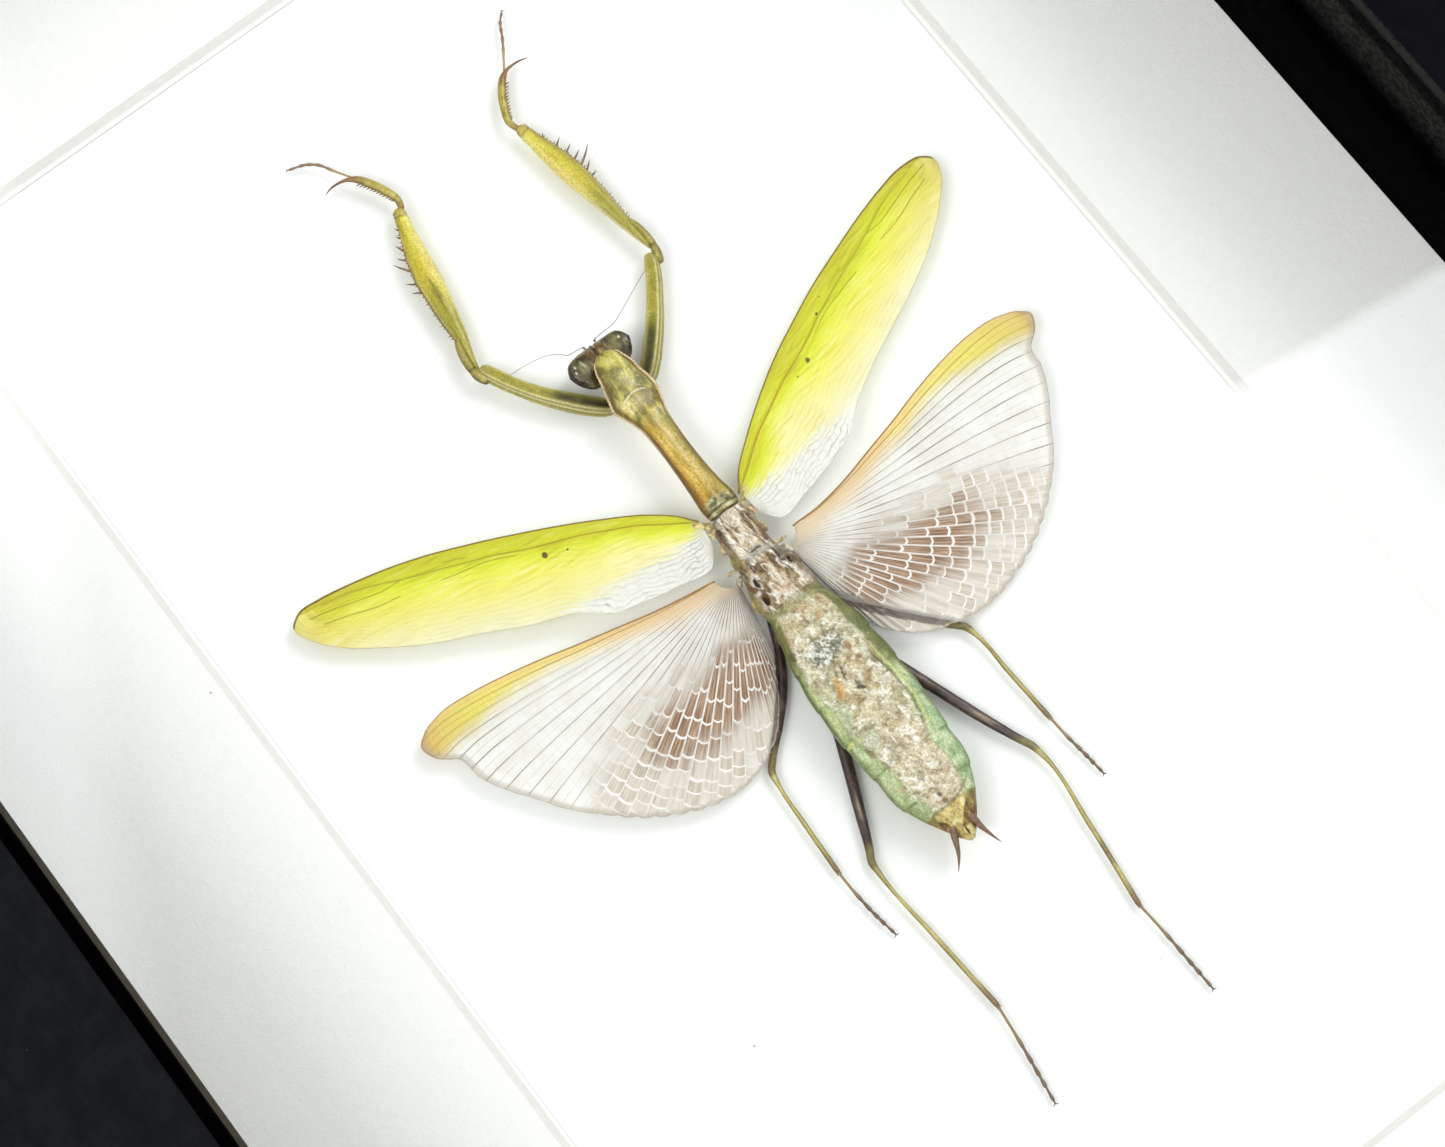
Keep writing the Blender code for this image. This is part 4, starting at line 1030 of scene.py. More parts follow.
def hindwing(side, material, look):
    # A fan of rays: straight from the hinge to the margin, plus the leading edge's own bow,
    # which fades away over the first rays. Each ray is a ridge, each gap a valley.
    lead = smoothLine(look[side + "Lead"], 200, 2)
    margin = np.array(look[side + "Margin"], float)
    keys = lengthAlong(margin)
    finely = np.linspace(0, keys[-1], 600)
    density = 1 / np.interp(finely, look["spacingAt"], look["spacing"])
    rayAt = np.concatenate([[0.0], np.cumsum((density[1:] + density[:-1]) / 2 * np.diff(finely))])
    rays = int(round(rayAt[-1]))
    rayAt *= rays / rayAt[-1]
    columns = rays * look["perRay"] + 1
    ray = np.linspace(0, rays, columns)
    rim = smoothThrough(keys, margin, np.interp(ray, rayAt, finely))
    hinge = lead[0]
    out = np.linspace(0.035, 1, look["rows"]) ** 0.85
    straight = hinge + (rim - hinge)[None] * out[:, None, None]
    own = np.stack([np.interp(out, np.linspace(0, 1, 200), lead[:, k]) for k in range(2)], 1)
    bow = own - (hinge + (rim[0] - hinge) * out[:, None])
    fade = np.clip(1 - ray / 11.0, 0, 1) ** 1.6
    flat = straight + bow[:, None] * fade[None, :, None]
    scallop = 0.35 * (1 - np.abs(np.cos(math.pi * ray))) * ease(ray, 9, 14)
    toHinge = rim - hinge
    toHinge /= np.linalg.norm(toHinge, axis=1)[:, None]
    flat = flat - toHinge[None] * (scallop[None, :] * (out**6)[:, None])[..., None]
    x, y = flat[..., 0], flat[..., 1]
    reach = np.linalg.norm(flat - hinge, axis=2)
    spacing = np.linalg.norm(np.gradient(flat, axis=1), axis=2) * look["perRay"]
    band = fromLine(look[side + "Band"], x, y) * (-1 if side == "left" else 1)
    inBand = ease(band, -0.4, 0.6)
    height = look["rootHeight"] + (look["marginHeight"] - look["rootHeight"]) * out[:, None]
    deep = np.minimum(spacing * 0.16, look["pleat"]) * (1 - 0.75 * inBand)
    height = height + deep * np.cos(2 * math.pi * ray)[None, :]
    loose = ease(out, 0.55, 1.0)[:, None] * ease(ray, 8, 16)[None, :]
    height = height + 0.22 * clouds(x, y, 0.0, 5.0, 21, 2) * loose + 0.03 * clouds(x, y, 0.0, 0.9, 22, 2)
    grid = np.concatenate([flat, height[..., None]], 2)
    edge = np.minimum(ease(1 - out, 0, 1)[:, None] * 100, (1 - out[:, None]) * reach.max(0)[None])
    leadEdge = np.linalg.norm(flat - flat[:, :1], axis=2)
    away = np.abs(x)
    netLine = np.array(look["netLine"]) * ((1, 1) if side == "left" else (-1, 1))
    inside = fromLine(netLine, x, y) * (1 if side == "left" else -1)
    brown = spot(away, y, 15.5, -11.2, 7.4, 4.2, -0.35) + 0.6 * spot(away, y, 24.0, -10.5, 6.0, 3.6, -0.5)
    brown += 0.55 * spot(away, y, 9.0, -9.5, 3.0, 5.4, -0.3)
    inner = 0.6 * ease(ray, rays - 10, rays - 4)[None, :] + np.zeros(x.shape)
    inner = np.maximum(inner, 1 - ease(np.abs(fromLine(look[side + "Leg"], x, y)), 0.45, 0.95))
    grey = ease(inside, -4.0, 3.0)
    # cells are longest by the hinge and shorter outwards; the phase counts them along each ray
    cellLength = look["innerCell"] + (look["outerCell"] - look["innerCell"]) * ease(reach, 16.0, 27.0)
    steps = np.diff(reach, axis=0, prepend=0.0)
    phase = np.cumsum(steps / cellLength, axis=0)
    lay = np.broadcast_to
    marks = {"ray": lay(ray[None, :], x.shape), "reach": reach, "phase": phase, "cellLength": cellLength,
             "spacing": spacing, "band": band, "edge": edge, "leadEdge": leadEdge, "inner": inner,
             "brown": brown, "grey": grey, "out": lay(out[:, None], x.shape), "rib": np.zeros(x.shape)}
    parts = [closedSheet(grid, look["thickness"], marks)]
    edgeMarks = {name: 3.0 for name in marks}
    edgeMarks["brown"] = edgeMarks["grey"] = edgeMarks["inner"] = 0.0
    for path, thick, thin, rib, sides in (
        (grid[::2, 0], 0.13, 0.07, 1.0, 8), (grid[-1, :look["perRay"] * 5], 0.06, 0.025, 1.0, 6),
        (grid[3::2, look["perRay"]], 0.09, 0.04, 0.6, 6)):
        parts.append(ribTube(path, np.linspace(thick, thin, len(path)), {**edgeMarks, "rib": rib}, sides))
    putPiece("hindwing" + side.capitalize(), parts, material, ["hindwing_" + side])


def hindwingMaterial():
    # Clear membrane with grey rays; a net of pale cross veins over brown cells; a warm strip
    # behind the leading edge, brown at the tip
    material, shader = newMaterial("hindwingMembrane", 0.4, Specular_IOR_Level=0.45)
    place = objectPlace()
    ray, reach, spacing = attributeOf("ray"), attributeOf("reach"), attributeOf("spacing")
    band, brown, grey = attributeOf("band"), attributeOf("brown"), attributeOf("grey")
    out, rib = attributeOf("out"), attributeOf("rib")
    soft = noiseOf(place, 130.0, 3.0) - 0.5
    cellLength = attributeOf("cellLength")
    net = cellNet(ray, attributeOf("phase"), spacing, cellLength, 0.15, 0.24)
    # streaks lie along the rays: about six across a cell, many cells long
    stripes = between(noiseOf(pairOf(ray * 6.0, reach * 0.22), 1.0, 3.0, 0.65), 0.36, 0.62)
    chanceLift = net["Chance"] * 0.26 - 0.13
    inNet = between(soft * 0.7 + grey + chanceLift, 0.1, 0.95)
    amount = between(soft * 0.6 + brown + chanceLift, 0.15, 0.8) * inNet
    brownCell = mixed(stripes, (200, 172, 144), (140, 106, 80))
    greyCell = mixed(stripes * 0.7, (238, 230, 218), (192, 174, 156))
    greyAmount = inNet * (net["Chance"] * 0.45 + 0.55)
    clear = mixed(between(noiseOf(place, 330.0, 3.0), 0.35, 0.65), (255, 255, 252), (248, 245, 238))
    colour = mixed(greyAmount, clear, greyCell)
    colour = mixed(amount, colour, brownCell)
    pale = highest(net["Bar"], net["Rib"]) * highest(greyAmount, amount)
    colour = mixed(pale, colour, (254, 251, 248))
    fromRay = absolute(maths("FRACT", ray + 0.5) - 0.5) * spacing
    rayWidth = lowest(spacing * 0.24, 0.11)
    greyRay = 1 - between(fromRay, rayWidth * 0.3, rayWidth)
    inClear = highest(1 - inNet, between(out, 0.2, 0.5, 1.0, 0.2))
    inClear = inClear * between(noiseOf(place, 120.0, 3.0), 0.34, 0.62, 0.35, 0.95)
    greyRay = greyRay * inClear
    colour = mixed(greyRay, colour, (142, 124, 104))
    midRay = (1 - between(spacing * 0.5 - fromRay, 0.02, 0.09)) * inClear
    midRay = midRay * between(out, 0.1, 0.6, 0.8, 0.45)
    colour = mixed(midRay, colour, (184, 168, 152))

    strip = between(soft * 2.2 + band, -1.0, 1.5)
    warm = rampOf((soft * 5.0 + reach) / 50.0, [
        (0.04, (244, 228, 196)), (0.16, (248, 216, 164)), (0.32, (250, 220, 150)),
        (0.42, (248, 226, 136)), (0.55, (244, 230, 120)), (0.74, (236, 224, 100)),
        (0.85, (228, 206, 104)), (0.925, (214, 160, 80)), (0.97, (178, 112, 52))])
    greenish = between(soft * 2.0 + attributeOf("leadEdge"), 0.3, 1.4)
    warm = mixed((1 - greenish) * 0.45, warm, (236, 196, 130))
    lines = cellNet(ray * 2.0, reach / 0.9, spacing * 0.5, 0.9, 0.09, 0.05)
    for mask in (lines["Rib"] * 0.5, lines["Bar"] * 0.2):
        warm = mixed(mask, warm, mixed(1.0, warm, (214, 190, 130), "MULTIPLY"))
    stripStrength = between(out, 0.02, 0.5, 0.7, 0.97)
    colour = mixed(strip * stripStrength, colour, warm)
    thinEdge = 1 - between(attributeOf("edge"), 0.0, 0.2)
    colour = mixed(thinEdge * 0.55, colour, (176, 160, 140))
    isRib = above(rib, 0.3)
    ribTone = rampOf(rib, [(0.3, (168, 150, 120)), (0.62, (204, 164, 96)), (0.98, (168, 128, 78))])
    ribTone = mixed(noiseOf(place, 2200.0, 2.0), ribTone, mixed(0.4, ribTone, (80, 60, 44)))
    colour = mixed(isRib, colour, ribTone)
    feed(grainOn(colour, 2400.0, 0.06, 0.06)["Color"], shader, "Base Color")

    solid = amount * 0.8
    for layer in (greyAmount * 0.5, pale * 0.85, midRay * 0.6, greyRay * 0.7,
                  strip * between(out, 0.1, 0.45, 0.35, 0.78)):
        solid = highest(solid, layer)
    solid = highest(solid, 0.6) * between(attributeOf("inner"), 0.0, 1.0, 1.0, 0.16)
    solid = highest(solid, highest(isRib, thinEdge * 0.4))
    feed(solid, shader, "Alpha")
    height = highest(net["Bar"], net["Rib"]) * between(out, 0.2, 0.4) + noiseOf(place, 1600.0, 3.0) * 0.5
    bumpFrom(height, shader, 0.6, 0.00008)
    return material


clearMembrane = hindwingMaterial()
hindwing("left", clearMembrane, hindwingLook)
hindwing("right", clearMembrane, hindwingLook)
print("hindwings made")


# The specimen's shell: colours are painted on the points by formulas, and the material adds
# grain, small relief and gloss
def cuticleMaterial(name, roughness, grainSize, contrast, relief, coat, spread=0.14):
    material, shader = newMaterial(name, roughness, Coat_Weight=coat, Coat_Roughness=0.22)
    place = objectPlace()
    paint = attributeOf("paint", "Color")
    grained = grainOn(paint, 1000.0 / grainSize, contrast, contrast * 0.8)
    pits = addNode("TexVoronoi", {"Vector": place, "Scale": 1400.0 / grainSize})["Distance"]
    dark = mixed(1.0, grained["Color"], (196, 184, 160), "MULTIPLY")
    colour = mixed(between(pits, 0.32, 0.7, 0.0, 0.55), grained["Color"], dark)
    feed(dustOn(colour, (232, 228, 216), 1500.0, 0.12, 0.08, 0.6), shader, "Base Color")
    rough = noiseOf(place, 900.0 / grainSize, 3.0)
    feed(between(rough, 0.3, 0.7, roughness - spread, roughness + spread), shader, "Roughness")
    bumpFrom(pits * -0.5 + grained["Height"], shader, 0.7, relief * mm)
    return material


def halfAndHalf(upper, lower):
    # angles round an oval with more points over the top half
    return np.concatenate([np.linspace(0, math.pi, upper, endpoint=False),
                           np.linspace(math.pi, 2 * math.pi, lower, endpoint=False)])


def mottled(x, y, z, size, dark, middle, light, seed=0, sharp=1.0):
    # three colours by value noise: dark hollows, the middle tone, light crowns
    n = clouds(x, y, z, size, seed, 3) * sharp
    paint = np.broadcast_to(linear(middle), (*np.shape(n), 3))
    paint = over(paint, dark, ease(-n, 0.05, 0.55))
    return over(paint, light, ease(n, 0.05, 0.55))


bodyLook = {
    # y, left x, right x, low h, high h, from the neck to the tip
    "stations": ((7.7, -2.2, 2.5, 3.8, 6.3), (6.4, -2.7, 2.9, 3.1, 6.8), (3.6, -3.0, 2.8, 2.8, 6.9),
                 (1.6, -3.1, 2.8, 2.7, 6.6), (-0.6, -3.5, 3.2, 2.7, 6.9), (-3.2, -4.2, 3.7, 2.7, 7.0),
                 (-5.8, -4.4, 4.1, 2.7, 6.7), (-6.8, -4.2, 4.1, 2.7, 6.4), (-10.0, -5.0, 5.0, 2.7, 7.2),
                 (-15.0, -6.1, 5.7, 2.7, 7.6), (-20.2, -6.7, 6.0, 2.7, 7.7), (-26.0, -6.8, 5.9, 2.7, 7.7),
                 (-31.4, -6.4, 5.5, 2.7, 7.5), (-37.0, -5.8, 4.8, 2.7, 7.0), (-40.3, -4.2, 3.1, 2.7, 6.4),
                 (-42.6, -2.9, 1.5, 3.0, 5.8), (-44.2, -1.9, 0.1, 3.4, 5.2), (-44.9, -1.3, -0.6, 3.9, 4.7)),
    "segmentEnds": (-10.0, -15.0, -20.2, -26.0, -31.4, -37.0, -40.3),
    "notch": 0.15,                # how far the outline draws in behind a segment's end
    "ceiling": 8.1,               # height that nothing rises above
    "cercusJoints": 14,
    "rows": 420,
    "top": 112,
    "bottom": 44,
    "cercusLeft": ((-1.9, -41.4, 4.9), (-2.4, -42.6, 4.95), (-2.85, -43.7, 4.6), (-3.6, -45.3, 4.1),
                   (-4.9, -47.0, 3.4)),
    "cercusRight": ((0.3, -41.4, 5.1), (0.55, -42.8, 5.05), (0.75, -44.1, 4.6), (1.15, -45.6, 4.1),
                    (1.75, -47.3, 3.4)),
    "seam": ((3.3, -17.0), (3.4, -18.7), (3.9, -21.8), (4.0, -26.0), (3.3, -29.3), (2.6, -31.5)),
    # pits and lumps: x, y, radii and rise
    "bumps": ((-2.2, 6.1, 0.42, 0.8, -0.9), (2.1, 5.6, 0.4, 0.6, -0.7), (-1.2, 6.0, 0.3, 0.9, -0.4),
              (1.35, 6.2, 0.3, 0.9, -0.4), (-2.6, -2.3, 0.4, 0.65, -1.0), (-3.0, -5.0, 0.45, 0.65, -0.9),
              (2.8, -2.2, 0.5, 0.6, -0.8), (2.1, -3.4, 0.35, 0.5, -0.5), (-1.9, -0.4, 0.18, 1.1, -0.4),
              (1.85, -0.5, 0.18, 1.2, -0.4), (0.1, 1.3, 1.1, 0.22, -0.35), (-1.25, -18.6, 0.3, 1.4, -0.35),
              (-0.45, -21.4, 0.8, 0.4, -0.4), (-1.1, -38.2, 0.4, 0.4, -0.35), (-2.0, -42.4, 0.4, 0.9, -0.3),
              (0.3, -42.6, 0.4, 0.9, -0.3), (-0.95, -43.8, 0.12, 0.7, -0.35), (-2.0, 4.0, 0.3, 1.0, 0.4),
              (2.3, 2.6, 0.4, 0.9, 0.3), (-2.4, 1.6, 0.5, 0.8, 0.3), (-1.3, -3.6, 0.5, 1.2, 0.3),
              (1.3, -3.8, 0.5, 1.2, 0.3), (-2.6, -6.6, 0.9, 0.3, 0.35), (2.4, -6.5, 0.9, 0.3, 0.35),
              (-2.9, -20.1, 0.7, 1.7, 0.4), (2.9, -18.2, 0.9, 1.5, 0.3), (3.1, -22.1, 0.5, 0.3, 0.35),
              (-1.0, -41.0, 1.7, 0.9, 0.35), (-4.2, -22.7, 0.9, 2.0, 0.25), (-3.6, -27.6, 1.1, 1.2, 0.25),
              (-6.0, -26.4, 0.9, 0.4, 0.2)),
    # smooth glassy patches in the crumbled middle: x, y, radii, turn, strength and paint
    "glassy": ((2.8, -18.0, 0.8, 1.6, 0.0, 0.85, (208, 210, 188)),
               (0.2, -20.3, 0.45, 1.5, -0.2, 0.8, (220, 222, 206)),
               (-4.4, -19.4, 0.9, 1.6, 0.0, 0.8, (204, 204, 168)),
               (-4.2, -22.7, 0.8, 2.1, -0.3, 0.85, (196, 204, 172)),
               (-3.6, -27.6, 1.3, 1.4, 0.0, 0.8, (206, 210, 190)),
               (2.7, -22.6, 1.1, 0.9, 0.3, 0.7, (214, 214, 196)),
               (-1.6, -24.0, 1.0, 1.0, 0.0, 0.5, (222, 208, 172)),
               (-2.0, -30.8, 1.2, 0.9, 0.0, 0.4, (206, 200, 176))),
    # marks on the abdomen: x, y, radii, turn, strength and paint
    "marks": ((1.4, -16.1, 0.55, 0.75, -0.3, 0.85, (150, 106, 62)),
              (0.4, -17.7, 0.35, 0.7, -0.3, 0.7, (176, 140, 96)),
              (1.0, -10.6, 0.9, 0.5, 0.6, 0.6, (196, 150, 98)),
              (-2.9, -20.1, 0.6, 1.65, -0.31, 0.9, (222, 178, 108)),
              (-3.3, -20.7, 0.26, 1.1, -0.31, 0.8, (170, 122, 62)),
              (-1.25, -18.5, 0.2, 1.5, -0.27, 0.85, (86, 66, 46)),
              (-2.0, -18.1, 0.22, 0.6, -0.4, 0.8, (110, 84, 46)),
              (-0.5, -21.4, 0.75, 0.34, -0.66, 0.9, (66, 56, 46)),
              (-0.7, -20.7, 0.26, 0.6, 0.0, 0.8, (84, 70, 56)),
              # painted highlights: the next two near-white marks are glints, the first on a raised lump
              (3.1, -22.1, 0.48, 0.24, 0.3, 0.95, (254, 254, 252)),
              (0.5, -29.5, 0.24, 0.5, -0.4, 0.95, (254, 252, 246)),
              (-3.0, -11.7, 0.6, 0.5, 0.0, 0.9, (252, 252, 248)),
              (-0.9, -11.4, 0.5, 0.4, 0.0, 0.9, (252, 250, 242)),
              (-4.9, -13.0, 0.5, 0.9, 0.0, 0.8, (92, 86, 42)),
              (-6.1, -15.3, 0.6, 0.26, 0.0, 0.8, (90, 88, 44)),
              (-6.1, -26.4, 0.8, 0.3, 0.15, 0.9, (214, 220, 122)),
              (-5.0, -26.8, 0.8, 0.24, 0.3, 0.8, (206, 210, 140)),
              (-4.8, -29.0, 0.3, 1.2, 0.2, 0.75, (132, 116, 62)),
              (-4.2, -31.2, 0.3, 1.0, 0.35, 0.7, (148, 130, 78)),
              (-4.4, -34.9, 0.6, 0.6, 0.0, 0.6, (186, 158, 100)),
              (-1.1, -38.2, 0.45, 0.42, 0.0, 0.85, (84, 78, 68)),
              (-1.3, -39.2, 0.7, 0.5, 0.0, 0.7, (146, 116, 92)),
              (-0.6, -33.5, 0.6, 0.5, 0.0, 0.5, (120, 112, 96)),
              (0.6, -24.6, 0.3, 0.8, -0.4, 0.5, (236, 226, 206))),
    # small hard pieces where the wings are hinged: line, half width and paint
    "hinges": (
        (((-2.2, 7.3, 5.3), (-3.0, 8.0, 5.2), (-4.3, 9.2, 5.0)), 0.5, (204, 186, 122)),
        (((-2.3, 6.9, 5.6), (-2.9, 6.5, 5.5), (-3.3, 5.9, 5.2)), 0.3, (190, 166, 118)),
        (((-2.5, 6.2, 5.1), (-3.3, 6.9, 5.0), (-4.4, 7.4, 4.9)), 0.36, (226, 214, 176)),
        (((-2.6, 5.0, 5.2), (-3.0, 4.3, 4.9), (-3.1, 3.4, 4.7)), 0.28, (176, 152, 104)),
        (((-2.8, 2.8, 4.6), (-3.1, 1.6, 4.5), (-2.9, 0.6, 4.4)), 0.32, (158, 148, 84)),
        (((2.3, 7.2, 5.3), (3.1, 8.0, 5.2), (4.3, 9.4, 5.0)), 0.46, (206, 188, 126)),
        (((2.5, 6.9, 5.6), (3.0, 6.3, 5.5), (3.3, 5.4, 5.2)), 0.3, (196, 170, 124)),
        (((2.7, 6.0, 5.1), (3.4, 6.6, 5.0), (4.4, 7.2, 4.9)), 0.34, (224, 212, 178)),
        (((2.7, 4.6, 5.2), (3.1, 3.8, 4.9), (3.0, 2.8, 4.7)), 0.26, (168, 144, 104)),
        (((2.6, 1.0, 4.9), (3.4, 0.8, 4.8), (4.6, 0.9, 4.5)), 0.26, (206, 192, 150)),
        (((2.9, 0.2, 4.8), (3.6, -0.4, 4.6), (4.1, -1.2, 4.3)), 0.38, (206, 198, 176)),
        (((-3.0, 0.0, 4.7), (-3.8, -0.3, 4.6), (-4.2, -1.2, 4.3)), 0.38, (204, 194, 168)),
        (((-3.0, 1.0, 4.9), (-3.9, 1.1, 4.7), (-4.9, 1.3, 4.4)), 0.26, (208, 190, 148)),
        (((3.2, -1.4, 4.9), (3.7, -2.2, 4.7), (3.7, -3.2, 4.5)), 0.32, (132, 118, 98)),
        (((-3.4, -3.4, 5.0), (-4.2, -4.0, 4.6), (-4.4, -5.2, 4.3)), 0.34, (168, 152, 84))),
}


def bodyRings(look):
    # upright ovals across Y through smoothed stations, narrowing just behind each segment's end
    table = np.array(look["stations"], float)
    y = np.linspace(table[0, 0], table[-1, 0], look["rows"])
    left, right, low, high = smoothThrough(-table[:, 0], table[:, 1:], -y).T
    behind = np.zeros(len(y))
    for end in look["segmentEnds"]:
        past = end - y
        behind += ease(past, 0.0, 0.3) * (1 - ease(past, 0.5, 3.4)) * (1.0 if end > -40 else 0.4)
    behind *= look["notch"]
    left, right, high = left + behind, right - behind, high - behind
    angle = halfAndHalf(look["top"], look["bottom"])
    middle, half = (left + right) / 2, (right - left) / 2
    x = middle[:, None] + half[:, None] * np.cos(angle)[None, :]
    h = ((low + high) / 2)[:, None] + ((high - low) / 2)[:, None] * np.sin(angle)[None, :]
    across = np.broadcast_to(np.cos(angle)[None, :], x.shape)
    upper = np.broadcast_to(ease(np.sin(angle), 0.08, 0.45)[None, :], x.shape)
    return x, np.broadcast_to(y[:, None], x.shape), h, across, upper


def bodyRelief(x, y, across, upper, look):
    # Height in millimetres added to the back: sums of bells for pits, ridges and lumps,
    # with crumbled noise over the middle of the abdomen
    lift = 0.55 * spot(x, y, 0.15, 4.8, 0.38, 3.0) + 0.3 * spot(x, y, 0.2, 6.8, 1.1, 1.0)
    lift += 0.5 * spot(x, y, 0.05, -3.2, 0.34, 2.2) + 0.45 * spot(x, y, 0.14, 0.1, 0.6, 0.5)
    for cx, cy, rx, ry, rise in look["bumps"]:
        lift += rise * spot(x, y, cx, cy, rx, ry)
    arch = np.abs(y + 6.2 + 0.12 * x**2)
    lift += 0.2 * bell(arch, 0.0, 0.25)
    ragged = np.abs(across + 0.05 + 0.1 * clouds(x, y, 0.0, 2.4, 29, 3)) + 0.14 * ease(-y, 25.0, 33.0)
    middle = (1 - ease(ragged, 0.7, 0.8)) * ease(-y, 7.0, 8.5) * (1 - ease(-y, 39.4, 40.2))
    seam = fromLine(look["seam"], x, y)
    alongSeam = ease(-y, 17.5, 19.5) * (1 - ease(-y, 30.0, 31.5))
    lift += (0.3 * bell(seam, 0.4, 0.3) - 0.2 * bell(seam, -0.1, 0.22)) * alongSeam
    grain = 1 - np.abs(clouds(x, y * 0.8, 0.0, 0.95, 31, 3)) * 2.1
    fine = 1 - np.abs(clouds(x, y * 0.7, 0.0, 0.42, 37, 2)) * 2.0
    lift += middle * (0.3 * grain + 0.08 * fine)
    thorax = 1 - ease(-y, 6.0, 8.0)
    lift += thorax * (0.24 * (1 - np.abs(clouds(x, y * 0.7, 0.0, 1.0, 41, 3)) * 2.2) + 0.08 * fine)
    sides = (1 - middle) * (1 - thorax)
    lift += sides * 0.12 * clouds(x, y, 0.0, 1.4, 43, 3)
    return lift * upper, middle, grain, fine, seam


def dabs(paint, x, y, rough, rows):
    # an oval patch of colour for each row, its border broken up by the rough noise
    for cx, cy, rx, ry, turn, strength, colour in rows:
        paint = over(paint, colour, strength * ease(spot(x, y, cx, cy, rx, ry, turn) + rough, 0.35, 0.65))
    return paint


def bodyPaint(x, y, h, across, upper, middle, grain, fine, seam, look):
    # layers of colour through masks, from the green sides to the crumbled cream middle
    low = np.clip(-y, 0, 45)
    n = clouds(x, y, h, 1.5, 51, 3)
    wide = clouds(x, y, 0.0, 2.8, 57, 3)
    patch = clouds(x * 1.3, y, 0.0, 1.5, 58, 3)
    tiny = clouds(x + 0.4 * y, y * 0.7 - 0.3 * x, 0.0, 0.45, 59, 2)
    edge = np.abs(across)
    paint = layered(np.broadcast_to(tone(172, 192, 136), (*x.shape, 3)), [
        ((152, 186, 144), 0.8 * ease(x, 2.0, 4.5) * ease(low, 20.0, 25.0)),
        ((214, 226, 184), ease(n + 0.3 * tiny, -0.05, 0.4) * 0.8),
        ((116, 140, 78), ease(-n - 0.3 * tiny, 0.1, 0.5) * 0.55),
        ((206, 216, 180), 0.6 * ease(low, 29.0, 34.0) * ease(edge, 0.9, 0.7)
         * ease(tiny + 0.5 * patch, -0.1, 0.4)),
        ((118, 114, 56), 0.85 * (1 - ease(low + 2 * n - 1.3 * (x > 0) * x, 12.0, 17.0))),
        ((168, 168, 104), 0.6 * (1 - ease(low, 14.0, 19.0)) * ease(tiny + n, 0.1, 0.6)),
        ((100, 110, 56), 0.8 * ease(across, 0.5, 0.7) * (1 - ease(low + 1.5 * n, 19.0, 23.0))
         * ease(patch, -0.5, 0.1)),
        ((208, 218, 158), 0.8 * bell(across + 0.84 + 0.03 * n, 0.0, 0.06) * ease(low, 15.0, 17.0)
         * (1 - ease(low, 24.0, 26.0))),
        ((88, 100, 38), 0.9 * ease(edge + 0.04 * n, 0.9, 0.985) * (1 - 0.35 * ease(low, 22.0, 32.0)))])
    for end in look["segmentEnds"][1:-1]:
        shadow = bell(y - end + 0.22 + 0.3 * n, 0.0, 0.18)
        paint = over(paint, (84, 98, 48), 0.35 * shadow * ease(edge, 0.6, 0.85))
    crumb = mottled(x, y, 0 * x, 1.5, (134, 118, 78), (190, 178, 140), (232, 226, 198), 58, 1.3)
    crumb = layered(crumb, [
        ((214, 200, 164), 0.6 * (1 - ease(low, 10.0, 13.5))),
        ((236, 228, 200), 0.6 * ease(low, 23.0, 32.0)),
        ((164, 174, 138), ease(wide, 0.1, 0.5) * 0.5),
        ((176, 138, 88), ease(-wide + 0.3 * tiny, 0.15, 0.6) * (0.5 - 0.25 * ease(low, 22.0, 28.0))),
        # painted shade: dark brown in the hollows of the crumbled relief
        ((122, 104, 66), ease(-grain - 0.2 * tiny, 0.0, 0.5) * 0.6)])
    flake = clouds(x + 0.5 * y, y - 0.4 * x, 0.0, 1.3, 91, 2)
    crumb = layered(crumb, [
        ((230, 224, 198), ease(flake, 0.0, 0.3) * 0.6),
        ((178, 192, 150), 0.55 * ease(edge, 0.4, 0.66) * ease(low, 16, 26) * ease(-patch, -0.3, 0.3))])
    # painted highlights: thin white lines along the flakes' edges and small white spots are glints; the
    # dark lines are cracks
    glintRidge = np.abs(clouds(x, y * 0.8 + 0.4 * x, 0.0, 1.0, 93, 2))
    crumb = layered(crumb, [
        ((255, 254, 248), (1 - ease(glintRidge, 0.04, 0.13)) * ease(flake + 0.3 * tiny, -0.2, 0.2) * 0.85),
        ((104, 84, 50), (1 - ease(np.abs(flake + 0.12), 0.02, 0.08)) * ease(-tiny, -0.1, 0.3) * 0.7),
        ((255, 254, 250), ease(tiny + 0.35 * patch, 0.5, 0.7) * 0.9)])
    crumb = dabs(crumb, x, y, 0.25 * tiny, look["glassy"])
    paint = over(paint, crumb, middle)
    # a grey patch in front of the crumbled middle: its dark is painted shade in the hollows of the fine
    # relief, its white painted glints on the crowns
    bed = spot(x, y, -1.2, -14.9, 2.7, 1.9)
    paint = layered(paint, [
        ((118, 124, 112), 0.75 * ease(bed + 0.3 * n, 0.3, 0.7)),
        ((66, 80, 74), 0.8 * ease(bed, 0.3, 0.7) * ease(-fine - 0.5 * tiny, 0.0, 0.4)),
        ((246, 248, 246), 0.95 * ease(bed, 0.2, 0.5) * ease(fine + 0.6 * tiny, 0.5, 0.85))])
    alongSeam = ease(low, 17.0, 19.5) * (1 - ease(low, 29.5, 31.5))
    paint = layered(paint, [
        ((206, 216, 140), 0.85 * bell(seam - 0.42, 0.2 * n, 0.26) * alongSeam),
        ((104, 112, 58), 0.85 * bell(seam + 0.1 + 0.3 * n, 0.0, 0.2) * alongSeam)])
    paint = dabs(paint, x, y, 0.3 * tiny, look["marks"])

